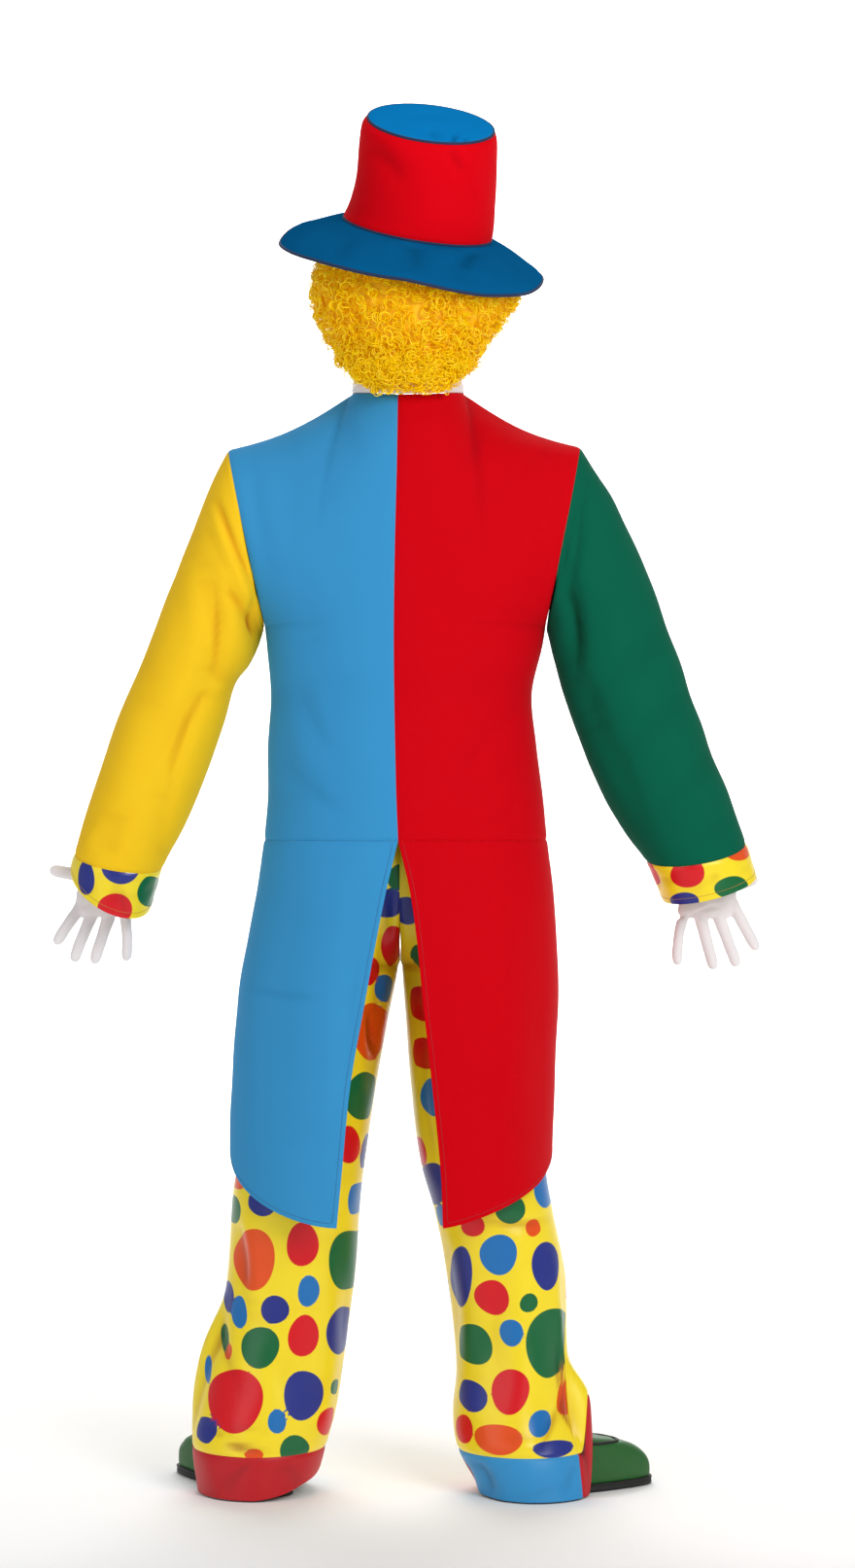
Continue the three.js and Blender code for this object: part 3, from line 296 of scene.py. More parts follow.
@dataclass
class Grid:
    """A surface on a grid of points, in mm: rows along it, columns across or round it.

    `hollow` is a point, or one for each row, on the side that the wall grows to, and `tube` says
    that the last column joins the first.
    """

    points: Array
    hollow: Array
    tube: bool = False

    def across(self) -> Array:
        """The distance along each row from its first column."""
        steps = np.linalg.norm(np.diff(self.points, axis=1), axis=2)
        return np.concatenate([np.zeros((len(steps), 1)), np.cumsum(steps, axis=1)], axis=1)

    def along(self) -> Array:
        """The distance down each column from its first row."""
        steps = np.linalg.norm(np.diff(self.points, axis=0), axis=2)
        return np.concatenate([np.zeros((1, steps.shape[1])), np.cumsum(steps, axis=0)], axis=0)

    def turned_out(self) -> bool:
        """Whether columns crossed with rows point away from the hollow."""
        return float(np.sum(self._crossed() * self._away())) > 0

    def normals(self) -> Array:
        """The unit vectors that point out of the surface, away from the hollow."""
        return self._crossed() if self.turned_out() else -self._crossed()

    def _crossed(self) -> Array:
        """The cross product of the way across and the way along, made unit."""
        if self.tube:
            across = np.roll(self.points, -1, axis=1) - np.roll(self.points, 1, axis=1)
        else:
            across = np.gradient(self.points, axis=1)
        return unit(np.cross(across, np.gradient(self.points, axis=0)))

    def _away(self) -> Array:
        """The vectors from the hollow's point to the surface."""
        hollow = np.asarray(self.hollow, float)
        return self.points - (hollow if hollow.ndim == 1 else hollow[:, None, :])

    def raised(self, heights: Array | float) -> "Grid":
        """The same surface moved out by a height at each point."""
        shift = self.normals() * np.broadcast_to(heights, self.points.shape[:2])[..., None]
        return replace(self, points=self.points + shift)

    def rolled(self, depth: float, width: float, edges: str = "lrtb") -> "Grid":
        """The surface with its sewn edges turned in.

        Args:
            depth: how far an edge turns in, in mm.
            width: how near to the edge the roll starts.
            edges: which edges roll: l and r for the first and last column, t and b for rows.

        Returns:
            The surface less depth times exp(-(distance to the edge / width) squared).
        """
        across, along = self.across(), self.along()
        sizes = {
            "l": across,
            "r": across[:, -1:] - across,
            "t": along,
            "b": along[-1:, :] - along,
        }
        heights = sum(-depth * np.exp(-((sizes[e] / width) ** 2)) for e in edges)
        return self.raised(heights)

    def path(self, row: Array, column: Array) -> tuple[Array, Array]:
        """Points and normals read between the grid's own, by whole and part rows and columns.

        Args:
            row: row numbers, which needn't be whole.
            column: column numbers.

        Returns:
            The points, and the unit normals there.
        """
        rows, columns = self.points.shape[:2]
        r0 = np.clip(np.floor(row).astype(int), 0, rows - 2)
        c0 = np.floor(column).astype(int)
        c0 = c0 % columns if self.tube else np.clip(c0, 0, columns - 2)
        c1 = (c0 + 1) % columns
        fr, fc = (row - r0)[:, None], (column - np.floor(column) if self.tube else column - c0)[:, None]
        found = []
        for values in (self.points, self.normals()):
            top = values[r0, c0] * (1 - fc) + values[r0, c1] * fc
            low = values[r0 + 1, c0] * (1 - fc) + values[r0 + 1, c1] * fc
            found.append(top * (1 - fr) + low * fr)
        return found[0], unit(found[1])


def grid_faces(rows: int, columns: int, tube: bool) -> Array:
    """The quads between the points of a grid, by their numbers."""
    i = np.arange(columns if tube else columns - 1)
    j = np.arange(rows - 1)[:, None]
    a, b = j * columns + i, j * columns + (i + 1) % columns
    return np.stack([a, b, b + columns, a + columns], axis=-1).reshape(-1, 4)


def new_object(
    name: str, points: Array, faces: list[Array], smooth_below: float = 40.0
) -> bpy.types.Object:
    """Makes a mesh object from whole arrays.

    Args:
        name: the piece's name.
        points: its vertices, in mm above the floor.
        faces: arrays of faces, each with its own count of corners.
        smooth_below: the angle in degrees past which an edge stays sharp.

    Returns:
        The object, linked to the scene and at the origin.
    """
    mesh = bpy.data.meshes.new(name)
    corners = np.concatenate([f.ravel() for f in faces]).astype(np.int32)
    sizes = np.concatenate([np.full(len(f), f.shape[1]) for f in faces])
    starts = np.concatenate([[0], np.cumsum(sizes)[:-1]]).astype(np.int32)
    mesh.vertices.add(len(points))
    mesh.vertices.foreach_set("co", to_frame(points).astype(np.float32).ravel())
    mesh.loops.add(len(corners))
    mesh.loops.foreach_set("vertex_index", corners)
    mesh.polygons.add(len(starts))
    mesh.polygons.foreach_set("loop_start", starts)
    mesh.update(calc_edges=True)
    mesh.shade_smooth()
    mesh.set_sharp_from_angle(angle=math.radians(smooth_below))
    made = bpy.data.objects.new(name, mesh)
    bpy.context.scene.collection.objects.link(made)
    return made


def wall(
    name: str, grid: Grid, thickness: float, marks: dict[str, Array] | None = None
) -> bpy.types.Object:
    """Makes a closed wall of cloth: the grid's face, one a thickness behind it, and rims between.

    Args:
        name: the piece's name.
        grid: the outer face.
        thickness: the cloth's thickness, in mm.
        marks: values or colours at each of the grid's points, kept as the mesh's attributes.

    Returns:
        The object.
    """
    rows, columns = grid.points.shape[:2]
    count = rows * columns
    outer = grid.points.reshape(-1, 3)
    inner = (grid.points - grid.normals() * thickness).reshape(-1, 3)
    face = grid_faces(rows, columns, grid.tube)
    ids = np.arange(count).reshape(rows, columns)
    borders = [(ids[0], False), (ids[-1], True)]
    if not grid.tube:
        borders += [(ids[:, 0], True), (ids[:, -1], False)]
    rims = []
    for line, flip in borders:
        nxt = np.roll(line, -1) if grid.tube else line[1:]
        here = line if grid.tube else line[:-1]
        rim = np.stack([here, here + count, nxt + count, nxt], axis=-1)
        rims.append(rim[:, ::-1] if flip else rim)
    faces = np.concatenate([face, face[:, ::-1] + count, *rims])
    if not grid.turned_out():
        faces = faces[:, ::-1]
    made = new_object(name, np.concatenate([outer, inner]), [faces])
    for mark, values in (marks or {}).items():
        flat = values.reshape(count, -1)
        set_mark(made, mark, np.concatenate([flat, flat]))
    return made


def set_mark(made: bpy.types.Object, name: str, values: Array) -> None:
    """Keeps a number, or a linear colour of four parts, at each vertex.

    Args:
        made: the object.
        name: the attribute's name.
        values: one row for each vertex, of 1 or 4 numbers.
    """
    kind, key = ("FLOAT", "value") if values.shape[1] == 1 else ("FLOAT_COLOR", "color")
    attribute = made.data.attributes.new(name, kind, "POINT")
    attribute.data.foreach_set(key, values.astype(np.float32).ravel())


def tube_along(
    name: str, line: Array, radius: float, sides: int = 6, ring: bool = False
) -> bpy.types.Object:
    """Makes a round cord along a line, its ends closed by caps, or its end joined to its start.

    Args:
        name: the piece's name.
        line: the middle line's points, in mm.
        radius: the cord's radius.
        sides: how many sides its section has.
        ring: whether the line closes on itself.

    Returns:
        The object. A point of it is the line's, plus radius times (cos of the angle times one way
        across, plus sin times the other).
    """
    ways = np.roll(line, -1, axis=0) - np.roll(line, 1, axis=0) if ring else np.gradient(line, axis=0)
    ways = unit(ways)
    first = unit(np.cross(ways, np.where(np.abs(ways[:, 2:]) > 0.8, [1.0, 0, 0], [0, 0, 1.0])))
    second = np.cross(ways, first)
    turn = np.linspace(0, 2 * math.pi, sides, endpoint=False)[:, None]
    section = np.cos(turn) * first[:, None, :] + np.sin(turn) * second[:, None, :]
    points = (line[:, None, :] + radius * section).reshape(-1, 3)
    ids = np.arange(len(line) * sides).reshape(len(line), sides)
    nxt = np.roll(ids, -1, axis=0) if ring else ids[1:]
    here = ids if ring else ids[:-1]
    quads = np.stack(
        [here, np.roll(here, -1, axis=1), np.roll(nxt, -1, axis=1), nxt], axis=-1
    ).reshape(-1, 4)
    faces = [quads]
    if not ring:
        faces += [ids[:1, ::-1], ids[-1:]]
    return new_object(name, points, faces, 70)


def stitches_on(
    name: str, points: Array, normals: Array, stitch: float = 3.2, radius: float = 0.45
) -> bpy.types.Object:
    """Makes a row of stitches along a line on cloth, each a small six-sided spindle.

    Args:
        name: the piece's name.
        points: the line's points, in mm.
        normals: the cloth's normals there.
        stitch: the length of a stitch and its gap.
        radius: half the thread's thickness.

    Returns:
        The joined stitches. Each is drawn round a short chord of the line, three quarters of a
        stitch long, and stands half out of the cloth.
    """
    reach = np.concatenate([[0], np.cumsum(np.linalg.norm(np.diff(points, axis=0), axis=1))])
    starts = np.arange(0, reach[-1] - stitch, stitch)
    share = np.array([0.0, 0.12, 0.5, 0.88, 1.0])
    thick = np.array([0.1, 0.8, 1.0, 0.8, 0.1]) * radius
    at = starts[:, None] + share * stitch * 0.75
    line = np.stack([np.interp(at, reach, points[:, k]) for k in range(3)], axis=-1)
    up = unit(np.stack([np.interp(at, reach, normals[:, k]) for k in range(3)], axis=-1))
    way = unit(line[:, -1:] - line[:, :1])
    aside = unit(np.cross(up, way))
    turn = np.linspace(0, 2 * math.pi, 6, endpoint=False)
    section = np.cos(turn)[:, None] * aside[:, :, None, :] + np.sin(turn)[:, None] * up[:, :, None, :]
    shape = line[:, :, None, :] + up[:, :, None, :] * radius * 0.3 + thick[:, None, None] * section
    rings, sides = len(share), len(turn)
    ids = np.arange(rings * sides).reshape(rings, sides)
    quads = np.stack(
        [ids[:-1], np.roll(ids, -1, 1)[:-1], np.roll(ids, -1, 1)[1:], ids[1:]], axis=-1
    ).reshape(-1, 4)
    base = (np.arange(len(starts)) * rings * sides)[:, None, None]
    faces = [(quads[None] + base).reshape(-1, 4)]
    faces += [
        (ids[None, 0, ::-1] + base[:, 0]).reshape(-1, sides),
        (ids[None, -1] + base[:, 0]).reshape(-1, sides),
    ]
    return new_object(name, shape.reshape(-1, 3), faces, 70)


def settle(piece: bpy.types.Object, finish: bpy.types.Material, slot: str, *nodes: str) -> bpy.types.Object:
    """Gives a piece its finish and its body, and hides the solids that it stands for.

    Args:
        piece: the piece.
        finish: its material.
        slot: not used.
        nodes: the solids that it replaces.

    Returns:
        The same piece.
    """
    piece.data.materials.append(finish)
    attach(piece, ROOT)
    if nodes:
        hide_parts(*nodes)
    return piece


def linear(code: str) -> tuple[float, float, float, float]:
    """Turns an sRGB hex colour to linear red, green, blue and an alpha of 1."""
    values = [int(code[i : i + 2], 16) / 255 for i in (1, 3, 5)]
    return (*(v / 12.92 if v <= 0.04045 else ((v + 0.055) / 1.055) ** 2.4 for v in values), 1.0)


def add(
    tree: bpy.types.NodeTree, kind: str, settings: dict | None = None, links: dict | None = None
) -> bpy.types.Node:
    """Adds a node to a tree.

    Args:
        tree: the material's node tree.
        kind: the node's type.
        settings: values by the names of the node's own settings, or of its sockets.
        links: output sockets by the name or number of the input they go to.

    Returns:
        The node.
    """
    node = tree.nodes.new(kind)
    for name, value in (settings or {}).items():
        if isinstance(name, str) and hasattr(node, name):
            setattr(node, name, value)
        else:
            node.inputs[name].default_value = value
    for socket, source in (links or {}).items():
        tree.links.new(source, node.inputs[socket])
    return node


def blank_material(name: str) -> tuple[bpy.types.Material, bpy.types.NodeTree]:
    """Makes a material whose node tree is empty.

    Args:
        name: the material's name.

    Returns:
        The material and its node tree.
    """
    made = bpy.data.materials.new(name)
    made.use_nodes = True
    made.node_tree.nodes.clear()
    return made, made.node_tree


def blended(
    tree: bpy.types.NodeTree, share: bpy.types.NodeSocket, a: object, b: object
) -> bpy.types.NodeSocket:
    """Mixes two colours, each a linear colour or a socket, by a share.

    Args:
        tree: the material's node tree.
        share: 0 gives a and 1 gives b.
        a: the first colour.
        b: the second colour.

    Returns:
        The mixed colour's socket.
    """
    node = add(tree, "ShaderNodeMix", {"data_type": "RGBA"}, {0: share})
    for place, value in ((6, a), (7, b)):
        if isinstance(value, bpy.types.NodeSocket):
            tree.links.new(value, node.inputs[place])
        else:
            node.inputs[place].default_value = value
    return node.outputs[2]


@dataclass(frozen=True)
class ClothFinish:
    """Cloth with a fine weave: its colour, with painted shade that deepens it in its troughs, over a soft
    sheen.

    `weave` is the size in mm at which the weave is drawn, coarser than its real threads of about
    0.3 mm, which are too fine to show.
    """

    name: str
    colour: str
    # the painted shade colour that creases are darkened towards
    deep: str
    roughness: float = 0.78
    sheen: float = 0.04
    sheen_roughness: float = 0.4
    specular: float = 0.05
    coat: float = 0.0
    weave: float = 2.2
    weave_height: float = 0.12
    mottle: float = 0.05

    def colour_socket(self, tree: bpy.types.NodeTree) -> bpy.types.NodeSocket:
        """The cloth's colour: the plain colour, going to the deep one, a painted shade colour, where
        `trough`, the painted crease shade, is high.

        Args:
            tree: the material's node tree.

        Returns:
            The colour's socket.
        """
        # painted shade: the `trough` mark darkens the colour towards `deep` in creases; the noise adds a
        # little random mottle
        trough = add(tree, "ShaderNodeAttribute", {"attribute_name": "trough"})
        place = add(tree, "ShaderNodeTexCoord")
        cloud = add(
            tree, "ShaderNodeTexNoise", {"Scale": 16.0, "Detail": 3.0}, {"Vector": place.outputs["Object"]}
        )
        uneven = add(
            tree, "ShaderNodeMapRange", {1: 0.3, 2: 0.7, 3: 0.0, 4: self.mottle}, {0: cloud.outputs[0]}
        )
        depth = add(
            tree,
            "ShaderNodeMath",
            {"operation": "ADD", "use_clamp": True},
            {0: trough.outputs["Fac"], 1: uneven.outputs[0]},
        )
        return blended(tree, depth.outputs[0], linear(self.colour), linear(self.deep))

    def make(self) -> bpy.types.Material:
        """Makes the material, its relief a noise of the weave's size."""
        made, tree = blank_material(self.name)
        place = add(tree, "ShaderNodeTexCoord").outputs["Object"]
        noise = add(
            tree,
            "ShaderNodeTexNoise",
            {"Scale": 1000 / self.weave, "Detail": 2.0, "Roughness": 0.6},
            {"Vector": place}
        )
        relief_node = add(
            tree,
            "ShaderNodeBump",
            {"Strength": self.weave_height, "Distance": 0.0006},
            {"Height": noise.outputs[0]},
        )
        shader = add(
            tree,
            "ShaderNodeBsdfPrincipled",
            {
                "Roughness": self.roughness,
                "Sheen Weight": self.sheen,
                "Sheen Roughness": self.sheen_roughness,
                "Specular IOR Level": self.specular,
                "Coat Weight": self.coat,
                "Coat Roughness": 0.3,
            },
            {"Base Color": self.colour_socket(tree), "Normal": relief_node.outputs[0]},
        )
        add(tree, "ShaderNodeOutputMaterial", {}, {"Surface": shader.outputs[0]})
        return made


@dataclass(frozen=True)
class PrintedSatin(ClothFinish):
    """Yellow polyester satin with printed dots.

    `dot_edge` is the distance in mm from the nearest dot's edge, below 0 inside the dot, and
    `dot_colour` is that dot's ink. The print's edge is half a millimetre soft.
    """

    def colour_socket(self, tree: bpy.types.NodeTree) -> bpy.types.NodeSocket:
        """The satin's colour, with painted crease shade, and the ink of the nearest dot, darkened by
        painted shade in troughs, inside its edge.
        """
        ground = super().colour_socket(tree)
        edge = add(tree, "ShaderNodeAttribute", {"attribute_name": "dot_edge"})
        ink = add(tree, "ShaderNodeAttribute", {"attribute_name": "dot_colour"})
        # painted shade: each dot's ink goes towards black by nearly half the `trough` mark
        trough = add(tree, "ShaderNodeAttribute", {"attribute_name": "trough"})
        half = add(tree, "ShaderNodeMath", {"operation": "MULTIPLY", 1: 0.45}, {0: trough.outputs["Fac"]})
        shaded = blended(tree, half.outputs[0], ink.outputs["Color"], (0.0, 0.0, 0.0, 1.0))
        inside = add(
            tree, "ShaderNodeMapRange", {1: -0.4, 2: 0.4, 3: 1.0, 4: 0.0}, {0: edge.outputs["Fac"]}
        )
        return blended(tree, inside.outputs[0], ground, shaded)


@dataclass(frozen=True)
class PlainFinish:
    """A surface of one colour with a fine grain: plastic, rubber, coated leather or thread."""

    name: str
    colour: str
    roughness: float
    ior: float = 1.5
    grain: float = 1.5
    grain_height: float = 0.1
    coat: float = 0.0
    sheen: float = 0.0

    def make(self) -> bpy.types.Material:
        """Makes the material, its relief a noise of the grain's size."""
        made, tree = blank_material(self.name)
        place = add(tree, "ShaderNodeTexCoord").outputs["Object"]
        noise = add(
            tree, "ShaderNodeTexNoise", {"Scale": 1000 / self.grain, "Detail": 3.0}, {"Vector": place}
        )
        bump = add(
            tree,
            "ShaderNodeBump",
            {"Strength": self.grain_height, "Distance": 0.0005},
            {"Height": noise.outputs[0]}
        )
        shader = add(
            tree,
            "ShaderNodeBsdfPrincipled",
            {
                "Base Color": linear(self.colour),
                "Roughness": self.roughness,
                "IOR": self.ior,
                "Coat Weight": self.coat,
                "Coat Roughness": 0.25,
                "Sheen Weight": self.sheen,
            },
            {"Normal": bump.outputs[0]},
        )
        add(tree, "ShaderNodeOutputMaterial", {}, {"Surface": shader.outputs[0]})
        return made


@dataclass(frozen=True)
class CurlFibre:
    """Crimped synthetic wig fibre: bright, a little glossy, with painted shade that deepens its colour
    towards the cap and the inner loops.

    `lift` is 0 at the cap and 1 at the outermost loops. `glow` stands for the light that clear
    fibres pass on to each other.
    """

    name: str = "crimped_wig_fibre"
    # root is the painted shade colour of the cap and the inner loops
    root: str = "#ffc000"
    tip: str = "#ffe000"
    roughness: float = 0.42
    glow: float = 0.05

    def make(self) -> bpy.types.Material:
        """Makes the material, its colour a blend from root to tip by `lift`."""
        made, tree = blank_material(self.name)
        lift = add(tree, "ShaderNodeAttribute", {"attribute_name": "lift"})
        colour = blended(tree, lift.outputs["Fac"], linear(self.root), linear(self.tip))
        shader = add(
            tree,
            "ShaderNodeBsdfPrincipled",
            {
                "Roughness": self.roughness,
                "Specular IOR Level": 0.25,
                "Emission Strength": self.glow,
            },
            {"Base Color": colour, "Emission Color": colour},
        )
        add(tree, "ShaderNodeOutputMaterial", {}, {"Surface": shader.outputs[0]})
        return made


@dataclass(frozen=True)
class Finishes:
    """The costume's materials, each made once."""

    # Smooth woven polyester: matte, with only a faint sheen at grazing angles
    blue_cloth: bpy.types.Material
    red_cloth: bpy.types.Material
    yellow_cloth: bpy.types.Material
    green_cloth: bpy.types.Material
    # Polyester satin: floating threads give a broad, soft gloss
    dotted_satin: bpy.types.Material
    white_satin: bpy.types.Material
    red_satin: bpy.types.Material
    blue_satin: bpy.types.Material
    # Brushed cloth bonded to foam: smooth, taut and matte
    hat_red: bpy.types.Material
    hat_blue: bpy.types.Material
    # dark cords that paint the shade of the hat's seams
    seam_shade_cord: bpy.types.Material
    curls: bpy.types.Material
    knit: bpy.types.Material
    shoe: bpy.types.Material
    shoe_trim: bpy.types.Material
    sole: bpy.types.Material
    button: bpy.types.Material
    blue_thread: bpy.types.Material
    red_thread: bpy.types.Material
    gold_thread: bpy.types.Material

    @staticmethod
    def all() -> "Finishes":
        """Makes every material of the costume."""
        satin = dict(roughness=0.33, sheen=0.0, specular=0.4, coat=0.04, weave=1.6, weave_height=0.06)
        return Finishes(
            # The second colour of each ClothFinish is its painted shade colour, which the `trough` mark
            # darkens creases towards.
            blue_cloth=ClothFinish("woven_polyester_blue", "#3a93ca", "#277aaa").make(),
            red_cloth=ClothFinish("woven_polyester_red", "#cd0010", "#a4000d").make(),
            yellow_cloth=ClothFinish("woven_polyester_yellow", "#fbcb22", "#c8780c").make(),
            green_cloth=ClothFinish("woven_polyester_green", "#065f47", "#053322").make(),
            dotted_satin=PrintedSatin("printed_polyester_satin", "#fbe021", "#b8780c", **satin).make(),
            white_satin=ClothFinish("white_polyester_satin", "#f3eeee", "#a79c9c", **satin).make(),
            red_satin=ClothFinish(
                "red_polyester_satin", "#c00315", "#5e0009", **{**satin, "roughness": 0.5}
            ).make(),
            blue_satin=ClothFinish(
                "blue_polyester_satin", "#2b90cc", "#0f4d78", **{**satin, "roughness": 0.5}
            ).make(),
            hat_red=ClothFinish(
                "foam_backed_cloth_red", "#de0011", "#a8000f", roughness=0.8, sheen=0.0
            ).make(),
            # its painted shade colour also darkens the whole brim, for the shade that the brim hangs in
            hat_blue=ClothFinish(
                "foam_backed_cloth_blue", "#0b7cc0", "#06456c", roughness=0.8, specular=0.0, sheen=0.0
            ).make(),
            # painted seam shade: the navy of the hat's seam cords
            seam_shade_cord=PlainFinish("navy_cord_painted_seam_shade", "#10284f", 0.75, grain=1.2).make(),
            curls=CurlFibre().make(),
            knit=ClothFinish(
                "fine_glove_knit", "#efe9ea", "#a59c9e", roughness=0.8, weave=1.4, weave_height=0.2
            ).make(),
            shoe=PlainFinish(
                "coated_leathercloth_green", "#165a1a", 0.62, grain=2.5, grain_height=0.15, coat=0.1
            ).make(),
            shoe_trim=PlainFinish("bias_tape_black", "#0d0d0b", 0.6).make(),
            sole=PlainFinish(
                "moulded_rubber_black", "#12110f", 0.6, ior=1.52, grain=3.0, grain_height=0.2
            ).make(),
            button=PlainFinish(
                "moulded_plastic_yellow", "#f7c51c", 0.25, ior=1.49, grain_height=0.02, coat=0.3
            ).make(),
            blue_thread=PlainFinish("sewing_thread_blue", "#1c5f96", 0.7, sheen=0.3).make(),
            red_thread=PlainFinish("sewing_thread_red", "#8f0412", 0.7, sheen=0.3).make(),
            gold_thread=PlainFinish("sewing_thread_gold", "#b9860f", 0.7, sheen=0.3).make(),
        )


@dataclass
class Neckline:
    """The oval in which the collar is sewn to the coat, lower at the front."""

    x: float = 11.0
    y: float = 6.0
    across: float = 79.0
    deep: float = 78.0
    back_z: float = 1512.0
    side_z: float = 1520.0
    front_z: float = 1455.0

    def point(self, angle: Array) -> Array:
        """Points of the neckline.

        Args:
            angle: degrees round the neck from the back towards +X, from -180 to 180.

        Returns:
            The oval's points, their height eased from back to side and from side to front.
        """
        turn, a = np.abs(angle), np.radians(angle)
        z = np.where(
            turn < 90,
            mix(self.back_z, self.side_z, ease(0, 90, turn)),
            mix(self.side_z, self.front_z, ease(90, 180, turn)),
        )
        return points_of(self.x + self.across * np.sin(a), self.y - self.deep * np.cos(a), z)

    def angle_at(self, x: float) -> float:
        """The angle in degrees off the oval's middle at which it passes an X near that middle."""
        return math.degrees(math.asin((x - self.x) / self.across))


SLEEVE_COLUMNS = ("step", "out_x", "out_z", "in_x", "in_z", "deep", "y", "drop")
SLEEVES = {
    Side.LEFT: Table(
        SLEEVE_COLUMNS,
        (
            (0, -240, 1441, -189, 1193, 75, 0, 0),
            (1, -263, 1394, -193, 1180, 78, 0, 0),
            (2, -289, 1330, -199, 1163, 78, 0, 2),
            (3, -316, 1262, -211, 1140, 74, 2, 4),
            (4, -343, 1194, -231, 1113, 70, 6, 6),
            (5, -376, 1113, -247, 1058, 67, 12, 8),
            (6, -407, 1031, -277, 977, 66, 20, 10),
            (7, -436, 950, -304, 914, 65, 30, 12),
            (8, -459, 877, -335, 856, 62, 38, 13),
            (9, -464, 857, -351, 806, 60, 43, 36),
        ),
    ),
    Side.RIGHT: Table(
        SLEEVE_COLUMNS,
        (
            (0, 251, 1445, 203, 1193, 75, 0, 0),
            (1, 278, 1400, 207, 1180, 78, 0, 0),
            (2, 304, 1357, 211, 1163, 78, 0, 2),
            (3, 343, 1276, 217, 1138, 74, 2, 4),
            (4, 373, 1194, 226, 1100, 72, 6, 6),
            (5, 403, 1113, 246, 1045, 69, 12, 8),
            (6, 432, 1031, 277, 974, 68, 20, 10),
            (7, 462, 957, 310, 916, 66, 30, 13),
            (8, 486, 892, 345, 868, 64, 38, 17),
            (9, 501, 846, 369, 813, 62, 43, 15),
        ),
    ),
}
CUFF_STEP = 8.0


def sleeve_point(side: Side, step: Array, angle: Array) -> Array:
    """Points of a sleeve and its cuff.

    Args:
        side: which sleeve.
        step: 0 at the armhole, 8 at the cuff's seam and 9 at the cuff's hem.
        angle: degrees round it, 0 on the outer line, 90 behind and 180 on the inner line.

    Returns:
        The section's middle, plus its half width times the cosine, less its half depth times the
        sine; the near side hangs lower by `drop` times the sine.
    """
    row = SLEEVES[side].read(step)
    c, s = np.cos(np.radians(angle)), np.sin(np.radians(angle))
    x = (row["out_x"] + row["in_x"]) / 2 + (row["out_x"] - row["in_x"]) / 2 * c
    z = (row["out_z"] + row["in_z"]) / 2 + (row["out_z"] - row["in_z"]) / 2 * c - row["drop"] * s
    return points_of(x, row["y"] - row["deep"] * s, z)


def sleeve_middle(side: Side, step: Array) -> Array:
    """The middle line of a sleeve at each step."""
    row = SLEEVES[side].read(step)
    return points_of((row["out_x"] + row["in_x"]) / 2, row["y"], (row["out_z"] + row["in_z"]) / 2)


